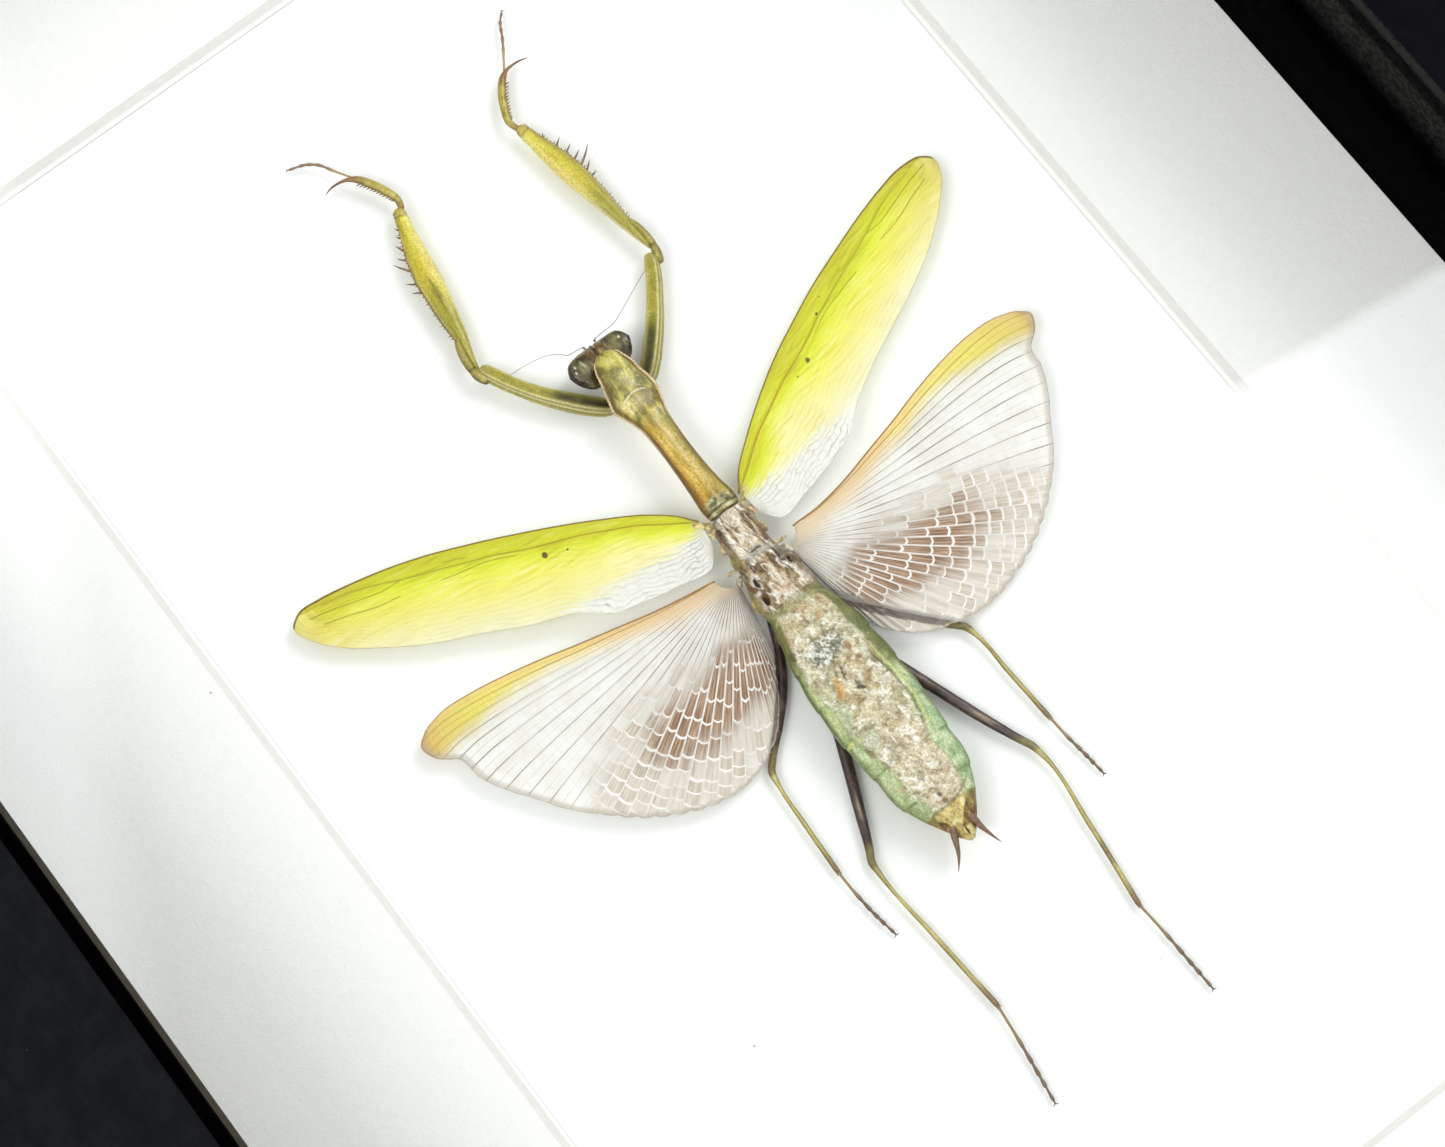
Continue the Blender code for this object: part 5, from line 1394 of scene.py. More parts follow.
    # end of the abdomen: a golden plate, brown sides with streaks and the slit tip
    rear = ease(low + 0.3 * n, 39.7, 40.1)
    streak = clouds(x * 2.2, y * 0.5, h, 0.9, 61, 3)
    brownish = mottled(x * 1.8, y * 0.5, h, 0.8, (84, 56, 26), (140, 110, 54), (206, 182, 112), 61, 1.4)
    brownish = over(brownish, (134, 128, 58), 0.8 * (1 - ease(low, 40.4, 41.6)) * ease(edge, 0.4, 0.7))
    plate = mottled(x, y, h, 0.7, (190, 168, 92), (222, 204, 130), (246, 238, 190), 62, 1.4)
    paint = over(paint, brownish, rear)
    fromMiddle = np.abs(x + 0.95 + 0.2 * (low - 40))
    plateMask = ease(2.15 + 0.3 * n - fromMiddle - 0.8 * np.clip(low - 40.6, 0, 9), -0.05, 0.15) * rear
    tipMask = ease(0.95 + 0.3 * streak - np.abs(x + 0.95), -0.1, 0.2) * ease(low, 43.0, 43.5)
    paint = over(paint, plate, plateMask + 0.85 * tipMask)
    rim = np.abs(low - 39.85 + 0.14 * (x + 1.2) ** 2 * (x > -1.2) * 0.6 + 0.3 * n)
    paint = layered(paint, [
        ((106, 82, 46), (0.55 + 0.6 * n) * bell(rim, 0.0, 0.22) * (1 - ease(edge, 0.7, 0.9))),
        ((62, 44, 22), 0.9 * ease(spot(x, y, -0.95, -43.8, 0.15, 0.7), 0.3, 0.7))])

    # front: sclerites between the wing roots
    thorax = np.where(y > 0, 1.0, 1 - ease(low, 5.8, 7.6))
    plates = mottled(x, y * 0.45, h, 0.9, (104, 78, 46), (184, 164, 126), (238, 230, 210), 67, 1.9)
    groove = clouds(x * 1.1 + 0.3 * y, y * 0.4, 0.0, 0.9, 75, 2)
    plates = layered(plates, [
        ((98, 74, 42), (1 - ease(np.abs(groove + 0.2), 0.03, 0.13)) * 0.7),
        ((253, 250, 242), (1 - ease(np.abs(groove - 0.15), 0.04, 0.15)) * 0.85),
        ((252, 250, 244), ease(clouds(x * 1.2 + 0.3 * y, y * 0.5, h, 0.6, 71, 2), 0.24, 0.5)),
        ((84, 60, 34), 0.85 * ease(-clouds(x * 1.3 - 0.3 * y, y * 0.5, h, 0.6, 73, 2), 0.4, 0.66)),
        ((112, 88, 54), 0.75 * ease(edge, 0.62, 0.9))])
    for cx, cy, rx, ry in ((-1.25, 4.6, 0.3, 2.4), (1.4, 4.7, 0.32, 2.5), (-2.3, 5.4, 0.5, 1.4),
                           (2.3, 2.6, 0.4, 1.6)):
        plates = over(plates, (108, 78, 44), 0.75 * ease(spot(x, y, cx, cy, rx, ry) + 0.3 * n, 0.3, 0.7))
    plates = layered(plates, [
        ((186, 186, 176), 0.75 * ease(spot(x, y, 0.1, 0.9, 2.2, 1.2) + 0.4 * n, 0.3, 0.8)),
        ((96, 90, 80), 0.7 * ease(spot(x, y, 2.2, -1.0, 0.9, 1.4) + 0.5 * n, 0.4, 0.8)),
        ((168, 156, 84), 0.7 * spot(x, y, -4.2, -4.4, 0.5, 2.0) + 0.6 * spot(x, y, -2.9, 1.7, 0.6, 1.0)),
        ((232, 224, 204), 0.9 * ease(spot(x, y, 0.2, 6.9, 1.25, 1.3), 0.3, 0.7)),
        ((244, 236, 216), ease(spot(x, y, 0.15, 4.6, 0.42, 3.0), 0.3, 0.65)),
        ((246, 238, 220), ease(spot(x, y, 0.05, -3.2, 0.34, 2.3), 0.3, 0.65)),
        ((220, 196, 168), 0.7 * ease(spot(x, y, 0.1, -5.2, 1.3, 0.8), 0.3, 0.7))])
    for cx, cy, rx, ry in ((-2.2, 6.1, 0.36, 0.7), (2.1, 5.6, 0.2, 0.9), (-1.9, -0.4, 0.14, 1.1),
                           (1.85, -0.5, 0.14, 1.2), (0.1, 1.35, 1.0, 0.2), (2.1, -3.4, 0.16, 0.8),
                           (-2.2, -6.6, 0.7, 0.24), (2.1, -6.5, 0.7, 0.24)):
        plates = over(plates, (74, 48, 26), 0.9 * ease(spot(x, y, cx, cy, rx, ry) + 0.3 * n, 0.35, 0.7))
    # painted highlights: two white glints on the left of the thorax
    flecks = spot(x, y, -2.0, 4.1, 0.2, 0.6) + spot(x, y, -1.75, 3.0, 0.15, 0.6)
    plates = over(plates, (246, 244, 238), 0.9 * ease(flecks, 0.35, 0.7))
    for cx, cy, rx, ry in ((-2.6, -2.3, 0.3, 0.8), (-3.0, -5.0, 0.36, 0.8), (2.8, -2.2, 0.26, 0.6)):
        plates = over(plates, (30, 16, 12), 0.95 * ease(spot(x, y, cx, cy, rx, ry) + 0.25 * n, 0.35, 0.65))
    paint = over(paint, plates, thorax)
    under = 1 - ease(upper, 0.0, 0.3)
    paint = over(paint, (134, 148, 96), under * 0.75 * (1 - rear) * ease(low, 6.0, 9.0))
    crumbs = ease(clouds(x, y, h, 0.34, 171, 3), 0.1, 0.5) * upper * (1 - ease(edge, 0.66, 0.8))
    paint = over(paint, (112, 86, 50), 0.42 * crumbs)
    cracks = ease(clouds(x * 1.6, y * 0.6, h, 0.42, 173, 3), 0.3, 0.55) * ease(y, -3.0, 0.0)
    return over(paint, (70, 50, 30), 0.6 * cracks * upper)


def mantisBody(material, look):
    # the trunk's skin, two tapering cerci ringed by a cosine, and the hard pieces of the wing hinges
    x, y, h, across, upper = bodyRings(look)
    lift, middle, grain, fine, seam = bodyRelief(x, y, across, upper, look)
    paint = bodyPaint(x, y, h, across, upper, middle, grain, fine, seam, look)
    h = np.minimum(h + lift, look["ceiling"])
    parts = [closedSkin(np.stack([x, y, h], -1), {"paint": paint})]
    for side in ("Left", "Right"):
        path = smoothLine(look["cercus" + side], 70)
        share = np.linspace(0, 1, 70)
        wave = np.cos(share * look["cercusJoints"] * 2 * math.pi)
        size = np.interp(share, (0, 0.15, 0.35, 0.6, 1), (0.3, 0.5, 0.46, 0.27, 0.04)) * (1 + 0.04 * wave)
        rings, angle = tubeRings(path, size, size, 14)
        rx, ry, rh = np.moveaxis(rings, -1, 0)
        paint = mottled(rx * 2, ry * 0.6, rh, 0.6, (84, 58, 42), (116, 84, 64), (160, 124, 92), 63)
        paint = layered(paint, [
            # painted light: the cercus is lighter along its top
            ((158, 128, 108), ease(np.sin(angle), 0.3, 1.0)[None, :] * 0.5),
            ((66, 46, 40), ease(-wave, 0.3, 1)[:, None] * 0.35)])
        parts.append(closedSkin(rings, {"paint": paint}))
    for number, (line, width, colour) in enumerate(look["hinges"]):
        path = smoothLine(line, 40)
        share = np.linspace(-1, 1, 40)
        lumpy = clouds(path[:, 0], path[:, 1], 0.0, 0.7, 160 + number, 2)
        size = width * np.sqrt(np.clip(1 - share**4, 0.01, 1)) * (1 + 0.6 * lumpy)
        rings, angle = tubeRings(path, size, size * 0.7, 20)
        base = linear(colour)
        light = np.minimum(base * 1.7, 0.9)
        paint = mottled(*np.moveaxis(rings, -1, 0), 0.5, base * 0.45, base, light, 171, 1.4)
        parts.append(closedSkin(rings, {"paint": paint}))
    putPiece("mantisBody", parts, material, ["body"])


mantisBody(cuticleMaterial("bodyCuticle", 0.46, 0.42, 0.34, 0.09, 0.12), bodyLook)
print("body made")


pronotumLook = {
    # y, left x, right x, low h, high h
    "stations": (
        (34.7, -0.5, 1.0, 6.1, 6.8), (34.1, -1.3, 1.9, 5.9, 7.1), (32.7, -2.1, 2.6, 5.8, 7.4),
        (31.4, -2.4, 3.0, 5.7, 7.5), (30.5, -2.6, 3.2, 4.4, 7.4), (28.9, -3.0, 3.6, 3.8, 7.3),
        (27.4, -3.3, 3.7, 3.7, 7.2), (25.8, -2.7, 3.3, 3.7, 7.0), (23.8, -2.0, 2.7, 3.7, 6.9),
        (20.5, -1.7, 2.3, 3.7, 6.8), (16.0, -1.8, 2.2, 3.7, 6.7), (12.0, -2.1, 2.4, 3.7, 6.7),
        (9.5, -2.3, 2.7, 3.8, 6.8), (8.1, -2.1, 2.5, 4.0, 6.6)),
    "rows": 300,
    "top": 88,
    "bottom": 36,
    "teeth": 58,
    "toothed": 11.5,              # length of the front that carries them
    "collar": 0.055,              # thickness of the collar over half the pronotum's height
}


def mantisPronotum(material, look):
    # Sections across Y: a dome over the inner nine tenths, height * sqrt(1 - (across / 0.9)^2),
    # and a thin flat collar outside it that carries a row of fine teeth; a keel runs down the
    # middle and a curved groove crosses the front lobe
    table = np.array(look["stations"], float)
    y = np.linspace(table[0, 0], table[-1, 0], look["rows"])
    left, right, low, high = smoothThrough(-table[:, 0], table[:, 1:], -y).T
    angle = halfAndHalf(look["top"], look["bottom"])
    saw = np.abs(((table[0, 0] - y) / look["toothed"] * look["teeth"] / 2) % 1 - 0.5) * 2
    toothed = ease(y, 22.5, 25.0) * (1 - ease(y, 33.6, 34.4))
    reach = 1 + 0.035 * toothed * (saw - 0.5)
    middle, half = (left + right) / 2, (right - left) / 2 * reach
    c, s = np.cos(angle)[None, :], np.sin(angle)[None, :]
    x = middle[:, None] + half[:, None] * c
    inner = 1 - 0.1 * (0.45 + 0.55 * ease(y, 20.0, 25.0))[:, None]
    dome = np.sqrt(np.clip(1 - (c / inner) ** 2, 0, 1)) * 0.92
    dome = dome + look["collar"] * np.sqrt(np.clip(1 - c**4, 0, 1))
    h = ((low + high) / 2)[:, None] + ((high - low) / 2)[:, None] * np.sign(s) * dome
    y = np.broadcast_to(y[:, None], x.shape)
    across = np.broadcast_to(c, x.shape)
    edge = np.abs(across)
    upper = np.broadcast_to(ease(s, 0.05, 0.4), x.shape)
    keel = bell(x, 0.28, 0.2) * ease(24.5 - y, 0.0, 2.0)
    groove = bell(y, 27.75 - 0.16 * (x - 0.3) ** 2, 0.2) * (1 - ease(np.abs(x - 0.2), 1.5, 2.0))
    gutter = bell(edge, 0.8, 0.07)
    lift = 0.16 * keel - 0.16 * groove - 0.1 * gutter
    lift += 0.09 * clouds(x, y, 0.0, 0.8, 81, 3) * ease(y, 24.0, 26.0)
    lift += 0.03 * clouds(x, y, 0.0, 0.5, 83, 2)
    lift += 0.14 * spot(x, y, 0.3, 30.2, 1.1, 2.0)
    lift -= 0.1 * (spot(x, y, -1.3, 29.6, 0.4, 1.6) + spot(x, y, 1.9, 29.6, 0.4, 1.6))
    lift -= 0.14 * bell(y, 8.75, 0.14) + 0.1 * bell(y - 9.9 + 0.1 * x * x, 0.0, 0.25)
    h = h + lift * upper

    front = mottled(x, y * 0.6, h, 1.4, (116, 112, 26), (190, 184, 82), (230, 220, 142), 87, 1.6)
    neck = mottled(x, y * 0.6, h, 1.3, (122, 108, 20), (194, 178, 70), (234, 218, 148), 89, 1.6)
    shaft = mottled(x * 1.4, y * 0.25, h, 1.2, (150, 114, 22), (202, 168, 52), (234, 208, 108), 91, 1.6)
    shaft = layered(shaft, [
        ((152, 146, 60), 0.6 * ease(x, 0.3, 1.2) + 0.5 * ease(y, 20.0, 24.0) * ease(x, -1.0, 0.5)),
        ((196, 134, 50), 0.4 * ease(-x, 0.4, 1.4) * (1 - ease(y, 20.0, 23.0)))])
    rear = mottled(x, y, h, 0.7, (80, 82, 40), (150, 148, 96), (204, 202, 162), 93, 1.5)
    toRear = 10.6 - y + 0.35 * clouds(x, y, 0.0, 0.9, 97) - 0.12 * (x - 0.2) ** 2
    paint = layered(front, [
        (neck, ease(27.9 - y, 0.0, 0.9)),
        (shaft, ease(24.6 - y + 0.5 * clouds(x, y, 0.0, 1.5, 95), 0.0, 2.2)),
        (rear, ease(toRear, 0.0, 0.7))])
    hollows = (spot(x, y, 0.6, 31.2, 0.8, 0.5) + spot(x, y, -1.1, 24.9, 0.35, 1.5)
               + spot(x, y, 1.5, 24.3, 0.3, 1.6) + 0.5 * clouds(x, y, 0.0, 0.6, 101))
    flanks = spot(edge, y, 0.6, 29.6, 0.13, 2.2) + 0.4 * clouds(x, y * 0.6, 0.0, 0.7, 102)
    paint = layered(paint, [
        ((226, 204, 142), 0.5 * keel),
        ((232, 222, 196), 0.8 * ease(groove + 0.25 * clouds(x, y, 0.0, 0.5, 99), 0.35, 0.8)),
        ((224, 214, 176), 0.55 * spot(x, y, 0.2, 26.4, 0.9, 0.9) + 0.45 * spot(x, y, 0.9, 29.0, 0.5, 1.0)),
        ((92, 92, 20), 0.75 * ease(hollows, 0.3, 0.9)),
        ((94, 92, 20), 0.75 * ease(flanks, 0.3, 0.8)),
        ((222, 210, 158), 0.5 * spot(x, y, 0.3, 29.8, 0.7, 1.8) + 0.4 * spot(x, y, 0.4, 20.0, 0.35, 5.0))])
    brownLine = bell(edge, 0.83, 0.055)
    brownStrip = spot(across, y, -0.74, 30.2, 0.13, 2.4) + 0.5 * spot(across, y, 0.76, 30.2, 0.1, 2.4)
    speck = clouds(x, y, h, 0.45, 103, 2)
    paint = layered(paint, [
        ((108, 78, 40), np.clip((0.9 * brownLine + 0.8 * brownStrip) * (0.85 + 0.4 * speck), 0, 0.92)),
        ((96, 74, 34), 0.85 * ease(edge, 0.76, 0.92) * ease(24.5 - y, 0, 3.0)),
        ((232, 206, 170), 0.97 * ease(edge, 0.9, 0.93) * ease(y, 18.0, 24.0)),
        ((206, 178, 130), 0.8 * ease(edge, 0.955, 0.975) * (1 - ease(y, 18.0, 24.0)))])
    denticle = (ease(saw, 0.62, 0.9) * toothed)[:, None]
    paint = over(paint, (96, 70, 48), 0.75 * denticle * ease(edge, 0.97, 1.0))
    freckles = ease(clouds(x, y, h, 0.3, 107, 2), 0.36, 0.55)
    rearPits = spot(x, y, -0.6, 9.4, 0.7, 0.35) + spot(x, y, 0.9, 9.5, 0.4, 0.35) + 0.2 * speck
    paint = layered(paint, [
        ((110, 80, 24), 0.6 * freckles * ease(24.0 - y, 0, 4) * upper),
        ((70, 58, 26), 0.9 * bell(y, 8.75, 0.15)),
        ((190, 182, 120), 0.7 * bell(y, 8.42, 0.1)),
        ((58, 64, 40), 0.75 * ease(rearPits, 0.35, 0.75))])
    skin = closedSkin(np.stack([x, y, h], -1), {"paint": paint})
    putPiece("mantisPronotum", [skin], material, ["pronotum"])


mantisPronotum(cuticleMaterial("pronotumCuticle", 0.44, 0.4, 0.24, 0.05, 0.12), pronotumLook)
print("pronotum made")


headLook = {
    # x, front y, rear y, low h, high h
    "stations": (
        (-4.8, 35.3, 34.6, 4.1, 4.9), (-4.5, 36.0, 33.9, 3.4, 5.3), (-3.9, 36.6, 33.0, 2.9, 5.5),
        (-3.0, 37.0, 32.2, 2.3, 5.5), (-2.0, 37.3, 31.9, 1.8, 5.4), (-0.9, 37.4, 32.0, 0.9, 5.3),
        (0.1, 37.4, 32.1, 0.6, 5.3), (1.1, 37.4, 32.1, 0.9, 5.3), (2.1, 37.3, 32.3, 1.8, 5.4),
        (3.1, 37.1, 32.7, 2.3, 5.5), (4.0, 36.7, 33.3, 2.9, 5.5), (4.6, 36.0, 34.1, 3.4, 5.3),
        (4.9, 35.4, 34.7, 4.1, 4.9)),
    "middle": 0.05,
    "rows": 180,
    "sides": 120,
}


def mantisHead(material, look):
    # Upright ovals across X from eye to eye; the eyes swell at both ends behind a fine seam
    table = np.array(look["stations"], float)
    step = np.linspace(-1, 1, look["rows"])
    middle = look["middle"]
    x = middle + 4.85 * np.sin(step * math.pi / 2)
    front, rear, low, high = smoothThrough(table[:, 0], table[:, 1:], x).T
    closing = np.clip(1 - (np.abs(x - middle) / 4.86) ** 2, 0, 1) ** 0.5
    closing = 1 - (1 - np.minimum(1, closing / 0.6)) ** 2
    angle = np.linspace(0, 2 * math.pi, look["sides"], endpoint=False)
    c, s = np.cos(angle)[None, :], np.sin(angle)[None, :]
    x = np.broadcast_to(x[:, None], (look["rows"], look["sides"]))
    y = ((front + rear) / 2)[:, None] + ((front - rear) / 2 * np.maximum(closing, 0.12))[:, None] * c
    h = ((low + high) / 2)[:, None] + ((high - low) / 2 * np.maximum(closing, 0.12))[:, None] * s
    away = np.abs(x - middle)
    seam = np.hypot((away - 1.45) / 3.42, (y - 34.9) / 2.5)
    eye = ease(seam, 0.8, 0.88) * ease(away, 2.5, 3.2)
    upper = ease(s, 0.0, 0.4)
    lift = -0.05 * bell(seam, 0.7, 0.03) * ease(away, 2.3, 3.0) + 0.05 * eye
    lift += 0.06 * clouds(x, y, h, 0.6, 111, 3) * (1 - eye)
    lift += -0.1 * bell(away, 1.3, 0.12) * ease(y, 34.0, 35.0) * upper
    lift += -0.12 * bell(away, 0.3, 0.1) * upper
    for cx, cy in ((-0.55, 37.0), (0.65, 37.0), (0.05, 37.25)):
        lift = lift + 0.18 * spot(x, y, cx, cy, 0.22, 0.22) * ease(s, -0.2, 0.3)
    grown = np.stack([0 * x, (y - 34.8) / 3.2, (h - 3.6) / 2.2], -1)
    grown /= np.linalg.norm(grown, axis=2)[..., None] + 1e-9
    points = np.stack([x, y, h], -1) + grown * lift[..., None]

    paint = mottled(x, y, h, 1.0, (46, 38, 12), (80, 72, 30), (124, 118, 70), 113, 1.3)
    streaks = mottled(x * 2.2, y * 0.6, h, 0.9, (58, 36, 10), (98, 72, 28), (178, 152, 92), 115, 1.5)
    centre = ease(1.9 - away, 0.0, 0.7)
    paint = over(paint, streaks, centre)
    # painted shade: the head darkens behind the eyes, under the pronotum
    shadeBehindEyes = ease(34.7 - y + 0.4 * clouds(x, y, h, 0.7, 117), 0.0, 1.4)
    cheek = spot(away, y, 2.6, 34.9, 0.8, 1.1) + 0.4 * clouds(x, y, h, 0.8, 118)
    scar = spot(x, y, -2.4, 35.4, 0.25, 1.0, 0.2) + 0.2 * clouds(x, y, h, 0.4, 119)
    paint = layered(paint, [
        ((48, 40, 16), 0.7 * shadeBehindEyes * ease(away, 0.9, 1.8) * (1 - 0.6 * ease(away, 2.0, 2.8))),
        ((92, 74, 40), 0.75 * bell(c, 0.93, 0.09) * upper),
        ((128, 126, 84), 0.75 * ease(cheek, 0.35, 0.8)),
        ((192, 192, 158), 0.7 * ease(scar, 0.4, 0.8)),
        ((78, 64, 34), 0.6 * ease(seam, 0.62, 0.84) * ease(away, 2.0, 2.8))])
    glint = spot(away, y, 3.55, 35.55, 0.2, 0.34) + spot(-x, y, 3.8, 34.8, 0.16, 0.3)
    eyePaint = mottled(x, y, h, 0.9, (60, 50, 26), (92, 84, 48), (126, 120, 80), 121)
    eyePaint = layered(eyePaint, [
        ((34, 18, 10), 0.95 * ease(away + 0.5 * clouds(x, y, h, 0.8, 122), 3.2, 3.9)),
        ((42, 28, 14), 0.85 * (1 - ease(upper, 0.1, 0.7)))])
    paint = layered(over(paint, eyePaint, eye), [
        ((236, 233, 222), 0.8 * ease(glint, 0.45, 0.7) * upper),
        ((120, 104, 62), (1 - upper) * 0.4 * (1 - eye))])
    parts = [closedSkin(points, {"paint": paint})]

    # mouthparts and the roots of the antennae, under and before the face
    def bead(place, radius, halfLength, colour, way):
        step = np.linspace(-1, 1, 17)
        path = np.array(place) + step[:, None] * np.array(way) * halfLength
        width = radius * np.sqrt(np.clip(1 - step**2, 0.0, 1)) + 0.01
        rings, _ = tubeRings(path + np.array([0, 1e-4, 0]) * step[:, None], width, width, 16)
        base = linear(colour)
        shade = mottled(*np.moveaxis(rings, -1, 0), 0.4, base * 0.6, base, base * 1.4, 123)
        parts.append(closedSkin(rings, {"paint": shade}))

    for sign in (-1, 1):
        bead((middle + sign * 0.85, 37.3, 4.5), 0.16, 0.22, (124, 106, 74), (0.2 * sign, 0.9, 0.3))
        bead((middle + sign * 0.45, 36.2, 1.25), 0.3, 0.75, (120, 98, 60), (0.0, 0.25, -0.9))
        bead((middle + sign * 0.95, 35.4, 1.6), 0.12, 0.7, (112, 92, 60), (0.35 * sign, 0.3, -0.85))
    bead((middle, 36.9, 1.9), 0.62, 0.8, (134, 116, 72), (0.0, 0.2, -0.95))
    putPiece("mantisHead", parts, material, ["head"])


mantisHead(cuticleMaterial("headCuticle", 0.34, 0.38, 0.14, 0.03, 0.3), headLook)
print("head made")


antennaLook = {
    "left": ((-0.85, 37.4, 4.75), (-2.0, 37.55, 4.9), (-2.9, 37.7, 4.7), (-3.9, 38.8, 4.1),
             (-5.0, 39.8, 3.4), (-6.7, 40.6, 2.4), (-8.6, 41.2, 1.5), (-10.1, 41.5, 0.8),
             (-11.3, 41.8, 0.55)),
    "right": ((0.95, 37.4, 4.75), (2.6, 37.5, 4.9), (4.0, 37.6, 4.7), (6.1, 38.6, 3.8), (8.3, 39.9, 2.6),
              (10.5, 41.2, 1.5), (12.4, 42.2, 0.8), (13.7, 42.9, 0.55)),
    "joints": 62,
    "thick": 0.05,
    "thin": 0.03,
}


def antenna(side, material, look):
    # a tapering thread whose radius dips at each joint
    path = smoothLine(look[side], look["joints"] * 6)
    share = np.linspace(0, 1, len(path))
    wave = np.cos(share * look["joints"] * 2 * math.pi)
    size = (look["thick"] + (look["thin"] - look["thick"]) * share) * (1 + 0.1 * wave)
    size[:12] *= np.linspace(1.9, 1.0, 12)
    rings, _ = tubeRings(path, size, size, 8)
    paint = np.broadcast_to(tone(112, 100, 84), rings.shape)
    paint = over(paint, (66, 56, 46), (0.6 * ease(-wave, 0.4, 1.0))[:, None])
    thread = closedSkin(rings, {"paint": paint})
    putPiece("antenna" + side.capitalize(), [thread], material, ["antenna_" + side])


threadCuticle = cuticleMaterial("antennaCuticle", 0.45, 0.3, 0.2, 0.01, 0.1)
antenna("left", threadCuticle, antennaLook)
antenna("right", threadCuticle, antennaLook)
print("antennae made")


def limbSkin(table, rows, sides, sign, shape, colour):
    # A tube through smoothed rows of x, y, h, half width, half height with rounded ends. shape
    # and colour take the share along it, the place across it (1 on the inner edge, -1 on the
    # outer one) and the upper mask; shape gives millimetres outwards.
    line = smoothLine(table, rows)
    along = lengthAlong(line[:, :3])
    fromEnd = np.minimum(along / line[0, 3], (along[-1] - along) / line[-1, 3])
    cap = np.sqrt(np.clip(1 - (1 - np.clip(fromEnd, 0, 1)) ** 2, 0.003, 1))
    halfWidth, halfHeight = np.maximum(line[:, 3:5], 0.03).T * cap
    rings, angle = tubeRings(line[:, :3], halfWidth, halfHeight, sides)
    share = np.broadcast_to((along / along[-1])[:, None], rings.shape[:2])
    across = np.broadcast_to(sign * np.cos(angle)[None, :], rings.shape[:2])
    upper = np.broadcast_to(ease(np.sin(angle), -0.1, 0.5)[None, :], rings.shape[:2])
    outwards = rings - line[:, None, :3]
    outwards = outwards / (np.linalg.norm(outwards, axis=2)[..., None] + 1e-9)
    x, y, h = np.moveaxis(rings, -1, 0)
    paint = colour(share, across, upper, x, y, h)
    lift = shape(share, across, upper, x, y, h) * cap[:, None]
    return closedSkin(rings + outwards * lift[..., None], {"paint": paint})


def graded(rings, first, last, share, low, high):
    # paint that turns from the first colour to the last between two shares of the length
    first, last = linear(first), linear(last)
    paint = first + (last - first) * ease(share, low, high)[:, None]
    return np.broadcast_to(paint[:, None], rings.shape)


def thorn(base, tip, radius, bend, rootPaint, tipPaint, rows=9, sides=7):
    # A curved cone: the straight line from base to tip, bent sideways by bend * 4s(1 - s)
    base, tip = np.array(base, float), np.array(tip, float)
    share = np.linspace(0, 1, rows)
    run = tip - base
    sideways = np.array([-run[1], run[0], 0.0])
    path = base + share[:, None] * run + (bend * 4 * share * (1 - share))[:, None] * sideways
    size = radius * (1 - share) ** 0.75 + 0.018
    rings, _ = tubeRings(path, size, size, sides)
    return closedSkin(rings, {"paint": graded(rings, rootPaint, tipPaint, share, 0.1, 0.8)})


tarsusLook = {
    "segments": (0.0, 0.45, 0.61, 0.74, 0.85, 1.0),
    "narrow": 0.18,
    "wide": 0.28,
    "claw": 0.62,
}


def tarsus(line, look, slim, rootPaint, endPaint, parts):
    # A foot of five segments, each flaring towards its end, with two hooked claws
    path = smoothLine(line, 190)
    share = np.linspace(0, 1, len(path))
    edges = np.array(look["segments"])
    which = np.clip(np.searchsorted(edges, share, side="right") - 1, 0, 4)
    local = (share - edges[which]) / (edges[which + 1] - edges[which])
    flare = ease(local, np.where(which == 0, 0.55, 0.1), np.where(which == 0, 0.97, 0.8))
    flare = flare * (1 - ease(local, 0.9, 1.0) * 0.75)
    size = (look["narrow"] + (look["wide"] - look["narrow"]) * flare) * slim
    size = size * np.where(which == 4, 0.8, 1.0)
    size[-4:] *= np.linspace(0.9, 0.35, 4)
    rings, angle = tubeRings(path, size, size * 0.9, 12)
    rootPaint, endPaint = linear(rootPaint), linear(endPaint)
    paint = graded(rings, rootPaint, endPaint, share, 0.3, 0.5)
    dark = ease(local, 0.86, 1.0) + (1 - ease(local, 0.0, 0.08))
    paint = over(paint, endPaint * 0.45, 0.7 * dark[:, None])
    # painted light: each foot is lighter along its top
    paint = over(paint, rootPaint * 1.35, ease(np.sin(angle), 0.5, 1.0)[None, :] * 0.35)
    parts.append(closedSkin(rings, {"paint": paint}))
    ahead = path[-1] - path[-6]
    ahead /= np.linalg.norm(ahead)
    for sign in (-1, 1):
        turn = sign * 0.75
        way = np.array([ahead[0] * math.cos(turn) - ahead[1] * math.sin(turn),
                        ahead[0] * math.sin(turn) + ahead[1] * math.cos(turn), 0.0])
        tip = path[-1] + way * look["claw"] * slim + np.array([0, 0, -0.1])
        base = path[-1] - ahead * 0.1
        parts.append(thorn(base, tip, 0.1 * slim, -0.28 * sign, endPaint, endPaint * 0.5))


